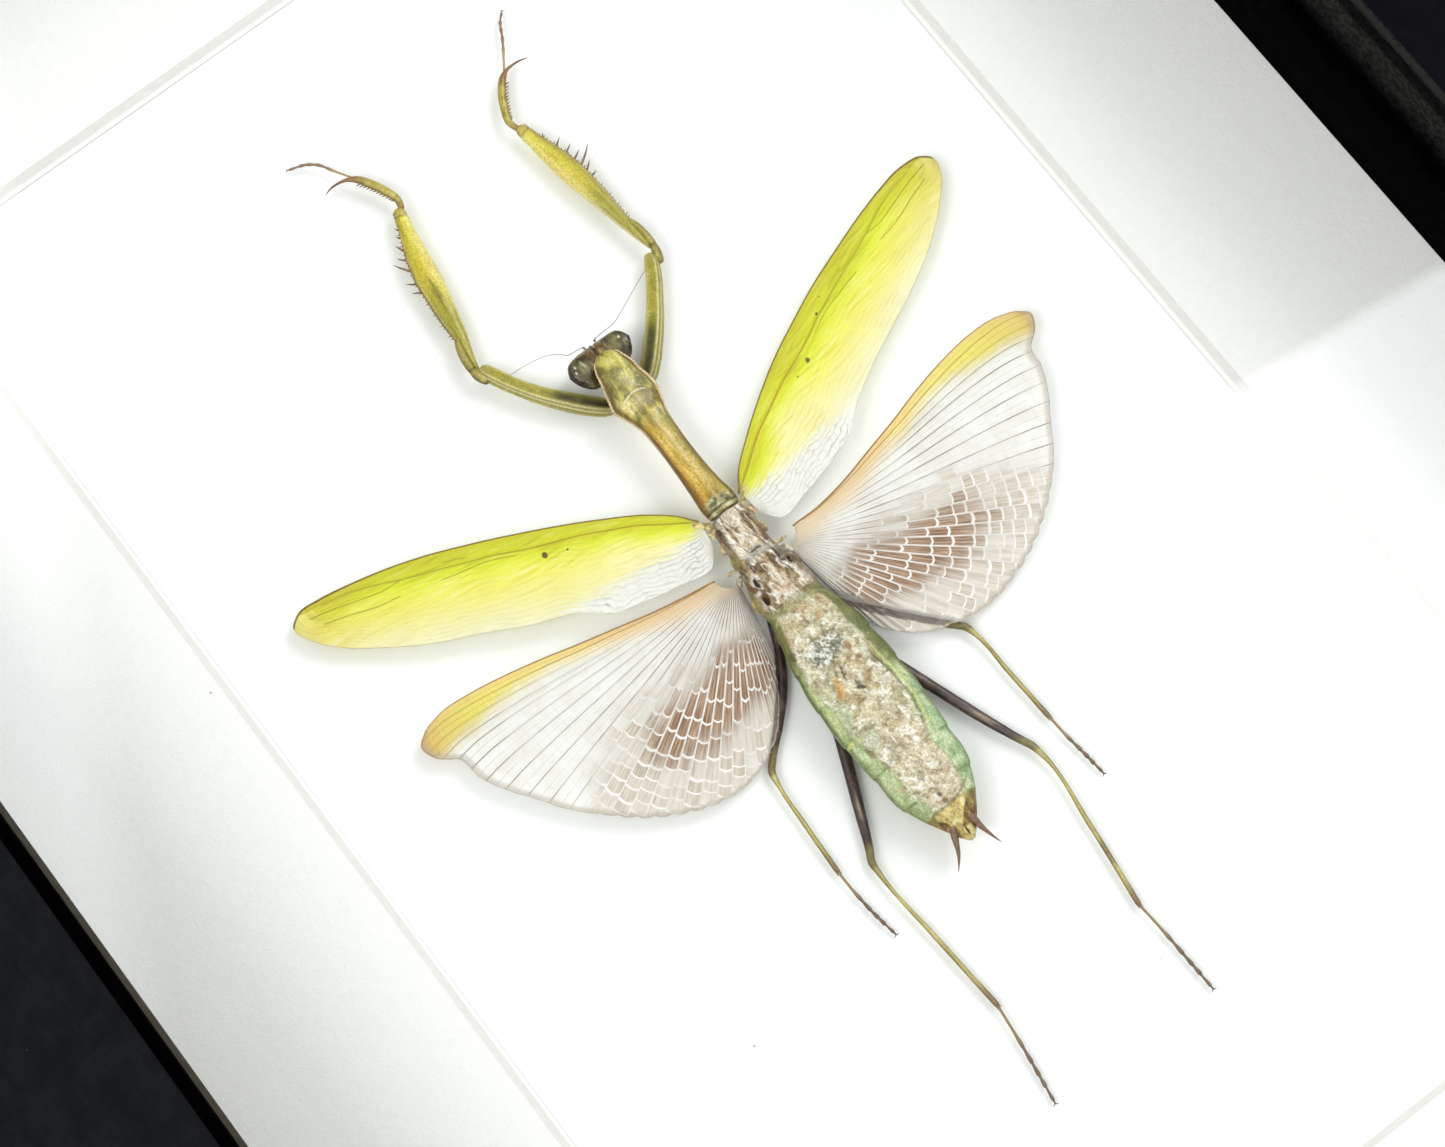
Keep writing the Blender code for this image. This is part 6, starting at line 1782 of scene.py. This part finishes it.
forelegLook = {
    "left": {
        "sign": 1,
        "coxa": ((-1.9, 28.7, 2.3, 0.8, 0.6), (-3.1, 29.7, 2.3, 1.25, 0.8), (-4.7, 31.2, 2.3, 1.35, 1.0),
                 (-6.6, 33.4, 2.3, 1.35, 1.1), (-8.8, 36.2, 2.3, 1.2, 1.1), (-10.7, 39.2, 2.3, 1.1, 1.0),
                 (-12.1, 42.0, 2.3, 1.1, 1.0), (-12.7, 43.5, 2.3, 0.95, 0.8),
                 (-12.95, 44.3, 2.3, 0.6, 0.5)),
        "trochanter": ((-13.1, 41.8, 2.5, 0.5, 0.5), (-13.7, 43.2, 2.5, 0.66, 0.8),
                       (-13.9, 44.8, 2.5, 0.6, 0.85), (-13.75, 46.7, 2.5, 0.58, 0.85),
                       (-13.2, 48.6, 2.5, 0.5, 0.7), (-12.7, 49.8, 2.4, 0.2, 0.3)),
        "femur": ((-13.3, 44.2, 2.3, 0.3, 0.4), (-13.0, 46.2, 2.3, 0.55, 0.7),
                  (-12.4, 49.0, 2.2, 0.95, 0.9), (-11.9, 52.5, 2.2, 1.38, 1.1),
                  (-11.35, 56.0, 2.2, 1.66, 1.15), (-10.8, 59.5, 2.2, 1.74, 1.1),
                  (-10.1, 62.8, 2.1, 1.46, 1.0), (-9.2, 66.0, 2.1, 1.05, 0.85),
                  (-8.65, 68.0, 2.1, 0.95, 0.85), (-8.4, 69.2, 2.1, 0.7, 0.6)),
        "tibia": ((-8.0, 68.6, 2.1, 0.42, 0.35), (-7.6, 70.1, 2.1, 0.5, 0.5), (-8.2, 72.3, 2.0, 0.6, 0.55),
                  (-9.2, 74.4, 2.0, 0.58, 0.55), (-10.3, 76.0, 2.0, 0.48, 0.45),
                  (-11.3, 76.7, 2.0, 0.27, 0.28), (-12.7, 77.05, 2.0, 0.16, 0.18),
                  (-13.9, 77.0, 2.0, 0.11, 0.12), (-14.8, 76.7, 2.0, 0.05, 0.05)),
        "tarsus": ((-10.3, 76.2, 1.9), (-11.9, 79.0, 1.6), (-13.1, 81.2, 1.3), (-14.2, 82.2, 1.1),
                   (-16.5, 83.2, 0.8)),
        "spines": ((-12.2, 57.4, -13.9, 58.2), (-12.0, 58.5, -13.8, 59.8), (-11.8, 60.4, -13.5, 63.0),
                   (-11.3, 62.0, -12.6, 63.4), (-10.9, 63.2, -11.7, 65.0), (-10.0, 65.0, -10.9, 66.0),
                   (-9.6, 66.0, -10.4, 67.0)),
    },
    "right": {
        "sign": -1,
        "coxa": ((2.6, 28.9, 2.3, 0.8, 0.6), (3.8, 29.8, 2.3, 1.25, 0.8), (5.2, 31.0, 2.3, 1.35, 1.0),
                 (7.0, 32.9, 2.3, 1.35, 1.1), (8.9, 35.0, 2.3, 1.25, 1.1), (10.8, 37.5, 2.3, 1.15, 1.0),
                 (12.6, 40.1, 2.3, 1.1, 1.0), (13.7, 42.1, 2.3, 1.0, 0.9), (14.15, 43.5, 2.3, 0.6, 0.5)),
        "trochanter": ((14.6, 41.2, 2.5, 0.5, 0.5), (15.05, 42.6, 2.5, 0.62, 0.8),
                       (15.35, 44.2, 2.5, 0.56, 0.85), (15.35, 46.0, 2.5, 0.55, 0.85),
                       (15.1, 47.8, 2.5, 0.5, 0.7), (14.8, 49.2, 2.4, 0.2, 0.3)),
        "femur": ((15.0, 43.8, 2.3, 0.3, 0.4), (14.7, 45.8, 2.3, 0.55, 0.7), (14.3, 48.8, 2.2, 0.85, 0.9),
                  (13.9, 52.3, 2.2, 1.2, 1.1), (13.45, 56.0, 2.2, 1.48, 1.15),
                  (12.95, 59.5, 2.2, 1.62, 1.1), (12.4, 62.6, 2.1, 1.4, 1.0), (11.8, 65.6, 2.1, 1.08, 0.85),
                  (11.45, 67.5, 2.1, 0.95, 0.85), (11.3, 68.7, 2.1, 0.7, 0.6)),
        "tibia": ((11.1, 68.3, 2.1, 0.42, 0.35), (10.7, 69.9, 2.1, 0.48, 0.5),
                  (11.4, 72.0, 2.0, 0.57, 0.55), (12.6, 74.2, 2.0, 0.57, 0.55),
                  (13.9, 75.7, 2.0, 0.46, 0.44), (14.8, 76.25, 2.0, 0.26, 0.28),
                  (16.0, 76.4, 2.0, 0.16, 0.18), (17.2, 76.3, 2.0, 0.11, 0.12),
                  (18.2, 76.0, 2.0, 0.05, 0.05)),
        "tarsus": ((14.3, 76.0, 1.9), (15.7, 78.1, 1.6), (17.3, 80.6, 1.3), (18.6, 82.9, 1.1),
                   (19.6, 84.0, 0.8)),
        "spines": ((14.2, 56.8, 15.8, 57.2), (14.2, 57.6, 16.0, 59.0), (14.2, 58.8, 17.2, 61.0),
                   (13.8, 60.0, 15.7, 61.0), (13.4, 61.4, 15.3, 62.4), (12.9, 63.0, 14.7, 64.0),
                   (12.3, 64.8, 13.3, 65.9)),
    },
    "combTeeth": 12,
    "smallTeeth": 34,
}


def coxaShape(share, across, upper, x, y, h):
    # three ridges along the limb, a hollow between them and warts on both edges
    ridges = sum(tall * bell(across, place, wide)
                 for place, wide, tall in ((-0.4, 0.07, 0.12), (-0.72, 0.08, 0.13), (0.8, 0.08, 0.1)))
    warts = ease(clouds(x, y, h, 0.45, 131, 1), 0.5, 0.9) * bell(np.abs(across), 0.9, 0.12)
    return upper * (ridges - 0.14 * spot(across, 0 * across, 0.3, 0, 0.3, 1)) + 0.1 * warts


def coxaPaint(share, across, upper, x, y, h):
    # olive with a dark patch near the body, pale ridges and a paler tip
    paint = mottled(x, y, h, 1.1, (150, 140, 34), (184, 175, 62), (206, 199, 102), 133)
    inner = bell(across, 0.2, 0.5, 4)
    paint = layered(paint, [
        ((152, 144, 46), 0.7 * inner),
        ((40, 38, 0), 0.97 * inner * (1 - ease(share, 0.36, 0.56))),
        ((104, 98, 14), 0.5 * (1 - ease(share, 0.3, 0.5)) * (1 - inner)),
        ((112, 105, 24), 0.45 * inner * ease(clouds(x, y, h, 0.9, 135), 0.0, 0.5))])
    for place, strength in ((-0.4, 0.7), (-0.72, 0.95), (0.8, 0.7)):
        paint = over(paint, (224, 218, 158), strength * bell(across, place, 0.07))
    for place in (-0.56, -0.86):
        paint = over(paint, (104, 100, 38), 0.7 * bell(across, place, 0.06))
    paint = over(paint, (190, 188, 104), 0.5 * ease(-across, 0.86, 0.98))
    tip = ease(share, 0.9, 0.97)
    return layered(paint, [
        ((186, 178, 118), 0.7 * tip * (1 - inner * 0.3)),
        ((110, 88, 44), 0.6 * tip * ease(np.abs(across), 0.75, 0.95))])


def trochanterShape(share, across, upper, x, y, h):
    # one ridge along it and a dent across it
    return 0.1 * bell(across, 0.1, 0.14) * upper - 0.06 * bell(share, 0.33, 0.03)


def trochanterPaint(share, across, upper, x, y, h):
    # olive with brown edges, a pale ridge and a dark seam
    paint = mottled(x, y, h, 0.9, (122, 108, 34), (158, 148, 60), (188, 180, 96), 137)
    return layered(paint, [
        ((96, 72, 34), 0.75 * ease(-across, 0.62, 0.92) + 0.5 * ease(across, 0.75, 0.97)),
        ((196, 184, 116), 0.6 * bell(across, 0.1, 0.14)),
        ((70, 50, 26), 0.75 * bell(share, 0.33, 0.025) + 0.5 * (1 - ease(share, 0, 0.12)))])


def femurShape(share, across, upper, x, y, h):
    # two fine ridges, a waist at the knee and an outer edge beaded by a cosine
    lines = 0.08 * bell(across, -0.38, 0.08) + 0.07 * bell(across, -0.05, 0.08)
    knob = -0.1 * bell(share, 0.945, 0.01)
    edge = 0.1 * bell(across, -0.93, 0.09) * (0.6 + 0.4 * np.cos(share * 44 * 2 * math.pi))
    return upper * lines + knob + edge + 0.05 * clouds(x, y, h, 1.5, 141)


def femurPaintFor(sign):
    # the paint function of the left femur (1) or of the right one (-1)
    def femurPaint(share, across, upper, x, y, h):
        n = clouds(x * 1.6, y * 0.5, h, 1.2, 143, 3)
        # olive by the body, yellow beyond the middle, pale along the back edge; streaks run lengthwise
        paint = mottled(share * 3.2, across * 2.4, 0 * h, 1.0, (178, 164, 34), (206, 192, 48),
                        (222, 212, 84), 145)
        streak = clouds(share * 2.5, across * 6.0, 0 * h, 1.0, 146, 3)
        nearBody = 1 - ease(share + 0.12 * streak, 0.34, 0.6)
        backEdge = ease(across + 0.35 * (share - 0.5), 0.25, 0.85)
        paint = layered(paint, [
            ((156, 150, 40), 0.85 * nearBody),
            ((100, 100, 20), 0.8 * nearBody * ease(streak, 0.1, 0.5)),
            ((206, 200, 116), 0.6 * nearBody * ease(-streak, 0.2, 0.6)),
            ((236, 228, 122), 0.95 * backEdge * ease(share, 0.3, 0.5)),
            ((238, 232, 176), 0.7 * ease(across, 0.62, 0.95) * nearBody),
            ((240, 210, 134), 0.45 * spot(share, across, 0.66, 0.75, 0.14, 0.35))])
        if sign < 0:
            for place in (-0.32, -0.62):
                line = bell(across, place, 0.06) * ease(share, 0.3, 0.45)
                paint = over(paint, (134, 128, 34), 0.8 * line)
            paint = layered(paint, [
                ((230, 226, 140), 0.6 * bell(across, -0.46, 0.06)),
                ((146, 132, 44), 0.5 * ease(-across, 0.62, 0.8))])
        else:
            smudge = spot(share, across, 0.47, 0.0, 0.09, 0.42) + 0.5 * streak
            paint = over(paint, (116, 100, 30), 0.75 * ease(smudge, 0.4, 0.85))
            paint = over(paint, (150, 138, 40), 0.5 * ease(n, 0.25, 0.6))
        paint = layered(paint, [
            ((226, 218, 146), 0.7 * bell(across, -0.8, 0.06) * ease(share, 0.1, 0.2)),
            ((112, 80, 40), 0.85 * ease(-across, 0.86, 0.96)),
            ((142, 100, 60), 0.5 * ease(-across, 0.6, 0.9) * ease(share, 0.55, 0.65) * ease(n, -0.2, 0.3))])
        knob = ease(share, 0.945, 0.965)
        return layered(paint, [
            ((186, 172, 86), 0.8 * knob),
            ((122, 92, 44), 0.8 * knob * ease(np.abs(across), 0.7, 0.95) + 0.6 * bell(share, 0.945, 0.008)),
            ((120, 92, 44), 0.6 * ease(share, 0.985, 1.0))])
    return femurPaint


def tibiaShape(share, across, upper, x, y, h):
    # a ridge that fades towards the claw
    return 0.07 * bell(across, -0.2, 0.12) * upper * (1 - ease(share, 0.6, 0.8))


def tibiaPaint(share, across, upper, x, y, h):
    # olive with brown edges, turning brown to dark towards the claw
    paint = mottled(x, y, h, 1.0, (150, 134, 50), (184, 170, 74), (206, 196, 112), 147)
    return layered(paint, [
        ((206, 200, 130), 0.7 * bell(across, -0.2, 0.1)),
        ((116, 84, 46), 0.75 * ease(-across, 0.65, 0.92) + 0.55 * ease(across, 0.85, 0.98)),
        ((150, 110, 66), 0.75 * (1 - ease(share, 0.03, 0.12))),
        ((146, 106, 66), 0.95 * ease(share, 0.5, 0.66)),
        ((84, 54, 40), 0.8 * ease(share, 0.72, 0.95))])


def outerEdge(table, sign):
    # rows along a limb, with the directions ahead and towards its outer edge at each
    rows = smoothLine(table, 200)
    ahead = np.gradient(rows[:, :2], axis=0)
    ahead /= np.linalg.norm(ahead, axis=1)[:, None]
    return rows, ahead, np.stack([-ahead[:, 1], ahead[:, 0]], 1) * sign


def foreleg(side, material, look):
    # four limb skins, the long spines, a row of small teeth, a comb and the foot
    own = look[side]
    sign = own["sign"]
    parts = [limbSkin(own["coxa"], 150, 32, sign, coxaShape, coxaPaint),
             limbSkin(own["trochanter"], 70, 24, sign, trochanterShape, trochanterPaint),
             limbSkin(own["femur"], 260, 32, sign, femurShape, femurPaintFor(sign)),
             limbSkin(own["tibia"], 150, 24, sign, tibiaShape, tibiaPaint)]
    root, tip = (158, 124, 76), (78, 50, 34)
    for baseX, baseY, tipX, tipY in own["spines"]:
        parts.append(thorn((baseX, baseY, 2.25), (tipX, tipY, 2.2), 0.2, 0.04 * sign, root, tip, 12, 8))
    rows, ahead, outer = outerEdge(own["femur"], sign)
    for k in range(look["smallTeeth"]):
        at = int(24 + k * 156 / look["smallTeeth"])
        edge = rows[at, :2] + outer[at] * rows[at, 3] * 0.93
        reach = 0.3 + 0.12 * ((k * 7) % 3)
        end = edge + outer[at] * reach + ahead[at] * 0.1
        height = rows[at, 2] + 0.1
        parts.append(thorn((*edge, height), (*end, height), 0.085, 0.0, root, tip, 4, 5))
    rows, ahead, outer = outerEdge(own["tibia"], sign)
    for k in range(look["combTeeth"]):
        at = int(30 + k * 92 / look["combTeeth"])
        edge = rows[at, :2] + outer[at] * rows[at, 3] * 0.85
        reach = 0.5 + 0.2 * k / look["combTeeth"]
        end = edge + outer[at] * reach * 0.75 + ahead[at] * reach * 0.6
        parts.append(thorn((*edge, rows[at, 2]), (*end, rows[at, 2]), 0.12, 0.05 * sign, root, tip, 6, 6))
    tarsus(own["tarsus"], tarsusLook, 0.85, (176, 146, 108), (116, 90, 70), parts)
    putPiece("foreleg" + side.capitalize(), parts, material, ["foreleg_" + side])


forelegCuticle = cuticleMaterial("forelegCuticle", 0.44, 0.36, 0.1, 0.03, 0.1)
foreleg("left", forelegCuticle, forelegLook)
foreleg("right", forelegCuticle, forelegLook)
print("forelegs made")


legLook = {
    # x, y, h, half width and half height along each leg; y where its shin starts, of the pale streak
    # on its thigh and of a brown patch on its shin, 99 where there is none
    "mid_leg_left": {
        "line": ((-2.4, -3.6, 1.6, 0.6, 0.5), (-3.9, -7.4, 1.4, 0.55, 0.5), (-5.1, -10.2, 1.3, 0.65, 0.55),
                 (-7.3, -13.6, 1.25, 0.75, 0.6), (-11.2, -17.9, 1.2, 0.62, 0.5),
                 (-14.4, -20.9, 1.2, 0.5, 0.45), (-15.4, -22.1, 1.15, 0.5, 0.45),
                 (-15.7, -23.6, 1.1, 0.36, 0.35), (-16.2, -30.0, 1.0, 0.33, 0.32),
                 (-16.6, -37.5, 0.9, 0.36, 0.32)),
        "tarsus": ((-16.6, -37.3, 0.9), (-16.5, -41.0, 0.8), (-16.2, -44.5, 0.7), (-15.7, -47.8, 0.6)),
        "knee": -22.4,
        "streak": 99.0,
        "patch": 99.0,
    },
    "mid_leg_right": {
        "line": ((2.4, -3.6, 1.6, 0.6, 0.5), (3.9, -7.4, 1.4, 0.55, 0.5), (5.3, -10.1, 1.3, 0.65, 0.55),
                 (7.9, -13.4, 1.25, 0.75, 0.6), (11.4, -17.4, 1.2, 0.65, 0.5),
                 (14.6, -20.8, 1.2, 0.5, 0.45), (15.9, -22.2, 1.15, 0.5, 0.45),
                 (16.3, -23.7, 1.1, 0.36, 0.35), (16.6, -30.0, 1.0, 0.33, 0.32),
                 (17.0, -38.0, 0.9, 0.36, 0.32)),
        "tarsus": ((17.0, -37.8, 0.9), (17.2, -41.0, 0.8), (17.6, -44.5, 0.7), (17.9, -47.6, 0.6)),
        "knee": -22.5,
        "streak": 99.0,
        "patch": 99.0,
    },
    "hind_leg_left": {
        "line": ((-1.3, -7.6, 1.6, 0.6, 0.5), (-2.1, -12.0, 1.4, 0.6, 0.5), (-4.1, -19.5, 1.3, 0.8, 0.6),
                 (-7.1, -27.0, 1.3, 0.8, 0.6), (-9.8, -33.2, 1.2, 0.72, 0.55),
                 (-11.8, -37.7, 1.2, 0.55, 0.5), (-12.5, -39.1, 1.15, 0.5, 0.48),
                 (-12.6, -40.6, 1.1, 0.38, 0.36), (-12.0, -51.0, 1.0, 0.34, 0.32),
                 (-11.15, -63.0, 0.9, 0.38, 0.32)),
        "tarsus": ((-11.15, -62.8, 0.9), (-11.7, -67.5, 0.8), (-12.4, -72.5, 0.7), (-13.0, -76.5, 0.6)),
        "knee": -39.6,
        "streak": -32.5,
        "patch": 99.0,
    },
    "hind_leg_right": {
        "line": ((1.3, -7.6, 1.6, 0.6, 0.5), (2.6, -12.0, 1.4, 0.6, 0.5), (5.2, -19.0, 1.3, 0.8, 0.6),
                 (7.9, -26.6, 1.3, 0.75, 0.6), (10.2, -33.0, 1.2, 0.7, 0.55), (12.1, -37.8, 1.2, 0.55, 0.5),
                 (12.9, -39.6, 1.15, 0.5, 0.48), (13.2, -41.2, 1.1, 0.38, 0.36),
                 (12.3, -52.0, 1.0, 0.34, 0.32), (10.8, -63.8, 0.9, 0.38, 0.32)),
        "tarsus": ((10.8, -63.6, 0.9), (11.1, -68.0, 0.8), (11.3, -73.0, 0.7), (11.45, -77.3, 0.6)),
        "knee": -40.2,
        "streak": -32.5,
        "patch": -56.0,
    },
}


def legPaintFor(own):
    # the paint function of one walking leg: dark thigh, olive shin, brown end
    legEnd = own["line"][-1][1]

    def legPaint(share, across, upper, x, y, h):
        n = clouds(x, y, h, 0.9, 151, 3)
        thigh = mottled(x, y * 0.4, h, 0.9, (34, 24, 22), (62, 44, 40), (96, 74, 64), 153)
        shin = mottled(x, y * 0.3, h, 0.8, (134, 122, 54), (170, 158, 84), (198, 188, 118), 155)
        shin = layered(shin, [
            ((108, 94, 54), 0.7 * ease(np.abs(across), 0.72, 0.96)),
            ((206, 198, 150), 0.5 * bell(across, 0.1, 0.2)),
            ((118, 90, 58), 0.85 * ease((legEnd + 5 - y) / 5, 0.0, 0.9)),
            ((112, 92, 60), 0.75 * bell(y, own["patch"], 1.8, 4))])
        thigh = layered(thigh, [
            ((176, 166, 140), 0.85 * bell(across, 0.05, 0.2) * bell(y, own["streak"], 1.4)
             * ease(n, -0.3, 0.1)),
            ((128, 118, 70), 0.85 * ease(own["knee"] + 3.2 - y + 0.6 * n, 0.0, 1.6))])
        below = ease(own["knee"] - y, -0.4, 0.4)
        paint = over(thigh, shin, below)
        return over(paint, (108, 88, 50), 0.6 * bell(y, own["knee"], 0.25))
    return legPaint


def legShape(share, across, upper, x, y, h):
    # a low ridge along the leg and faint lumps
    return 0.06 * bell(across, 0.1, 0.22) * upper + 0.02 * clouds(x, y, h, 0.6, 157, 2)


def walkingLeg(node, material, look):
    # one skin from the hip to the end of the shin, two spurs there and the foot
    own = look[node]
    parts = [limbSkin(own["line"], 320, 20, 1, legShape, legPaintFor(own))]
    endX, endY, endH = own["line"][-1][:3]
    root, tip = (138, 118, 76), (96, 74, 52)
    for sign in (-1, 1):
        base, end = (endX + sign * 0.18, endY + 0.15, endH), (endX + sign * 0.3, endY - 0.35, endH - 0.12)
        parts.append(thorn(base, end, 0.09, 0.0, root, tip, 6, 6))
    tarsus(own["tarsus"], tarsusLook, 1.0, (140, 114, 74), (80, 58, 46), parts)
    words = node.split("_")
    putPiece(words[0] + "".join(w.capitalize() for w in words[1:]), parts, material, [node])


legCuticle = cuticleMaterial("legCuticle", 0.44, 0.3, 0.22, 0.02, 0.1)
for legNode in legLook:
    walkingLeg(legNode, legCuticle, legLook)
print("walking legs made")


# Floor, lights and camera
def studioFloor():
    # a pale floor 0.5 mm under the case, 3 m out to each side
    material, shader = newMaterial("studioFloor", 0.8)
    place = objectPlace()
    feed(mixed(noiseOf(place, 30.0), (222, 221, 218), (228, 227, 225)), shader, "Base Color")
    mesh = bpy.data.meshes.new("floor")
    mesh.from_pydata([(-3, -3, -0.0005), (3, -3, -0.0005), (3, 3, -0.0005), (-3, 3, -0.0005)], [],
                     [(0, 1, 2, 3)])
    mesh.materials.append(material)
    floor = bpy.data.objects.new("floor", mesh)
    bpy.context.scene.collection.objects.link(floor)


def softLight(name, place, target, width, height, power, colour):
    # a rectangular lamp turned to its target and hidden from the camera
    lamp = bpy.data.lights.new(name, "AREA")
    lamp.shape = "RECTANGLE"
    lamp.size, lamp.size_y = width, height
    lamp.energy = power
    lamp.color = colour
    item = bpy.data.objects.new(name, lamp)
    bpy.context.scene.collection.objects.link(item)
    item.location = place
    item.rotation_euler = (Vector(target) - Vector(place)).to_track_quat("-Z", "Y").to_euler()
    item.visible_camera = False


studioFloor()
softLight("leftSoftbox", (-0.62, -0.05, 0.86), (0, 0, 0.02), 0.40, 0.55, 3.8, (1.0, 0.985, 0.955))
softLight("rightSoftbox", (0.72, 0.16, 0.78), (0, 0, 0.02), 0.40, 0.55, 4.7, (1.0, 0.995, 0.985))


def mirrored(column, row):
    # direction of the ray that the pane's front sends up from this pixel of the 1445 x 1147 picture
    ray = (np.array(forward) + np.array(across) * (column - middleColumn) / focalPixels
           + np.array(upward) * (middleRow - row) / focalPixels)
    ray[2] = -ray[2]
    return ray / np.linalg.norm(ray)


def beyond(direction, start, end, soft):
    # 1 for directions on the right of the mirrored line from start to end, 0 on its left
    normal = np.cross(mirrored(*end), mirrored(*start))
    normal /= np.linalg.norm(normal)
    place = addNode("VectorMath", {0: direction, 1: tuple(normal)}, operation="DOT_PRODUCT")["Value"]
    return between(place, -soft, soft)


# A pale room; the pane mirrors a black patch of it, and bright cards at its right and left borders
middleColumn, middleRow, focalPixels = 722.5, 573.5, 3618
cameraPlace = (-0.06721, -0.10754, 0.46223)
across, upward, forward = (0.7959, -0.6042, -0.0371), (0.5903, 0.7611, 0.2686), (0.1341, 0.2357, -0.9625)
world = bpy.data.worlds.new("paleStudio")
bpy.context.scene.world = world
world.use_nodes = True
building["tree"] = world.node_tree
direction = addNode("TexCoord")["Generated"]
middle = tuple(mirrored(middleColumn, middleRow))
nearness = addNode("VectorMath", {0: direction, 1: middle}, operation="DOT_PRODUCT")["Value"]
dark = between(nearness, math.cos(math.radians(21)), math.cos(math.radians(17)))
rightCard = beyond(direction, (1170, 427), (1445, 265), 0.003)
rightCard = rightCard * beyond(direction, (1445, 925), (1190, 445), 0.01)
leftCard = beyond(direction, (50, 480), (150, 1060), 0.012)
sky = mixed(dark, (1.0, 0.992, 0.97, 1), (0.012, 0.012, 0.012, 1))
sky = mixed(rightCard * dark, sky, (2.9, 3.05, 3.2, 1))
sky = mixed(leftCard * dark, sky, (2.3, 2.4, 2.5, 1))
join(sky, world.node_tree.nodes["Background"].inputs["Color"])
world.node_tree.nodes["Background"].inputs["Strength"].default_value = 0.95

bpy.context.scene.view_settings.view_transform = "Standard"
photoCamera = bpy.data.cameras.new("photoCamera")
photoCamera.lens = 90.14
photoCamera.sensor_width = 36.0
photoCamera.sensor_fit = "HORIZONTAL"
photoCamera.clip_start = 0.01
cameraItem = bpy.data.objects.new("photoCamera", photoCamera)
bpy.context.scene.collection.objects.link(cameraItem)
turned = Matrix((across, upward, tuple(-v for v in forward))).transposed()
cameraItem.matrix_world = Matrix.Translation(cameraPlace) @ turned.to_4x4()
bpy.context.scene.camera = cameraItem
print("studio set")
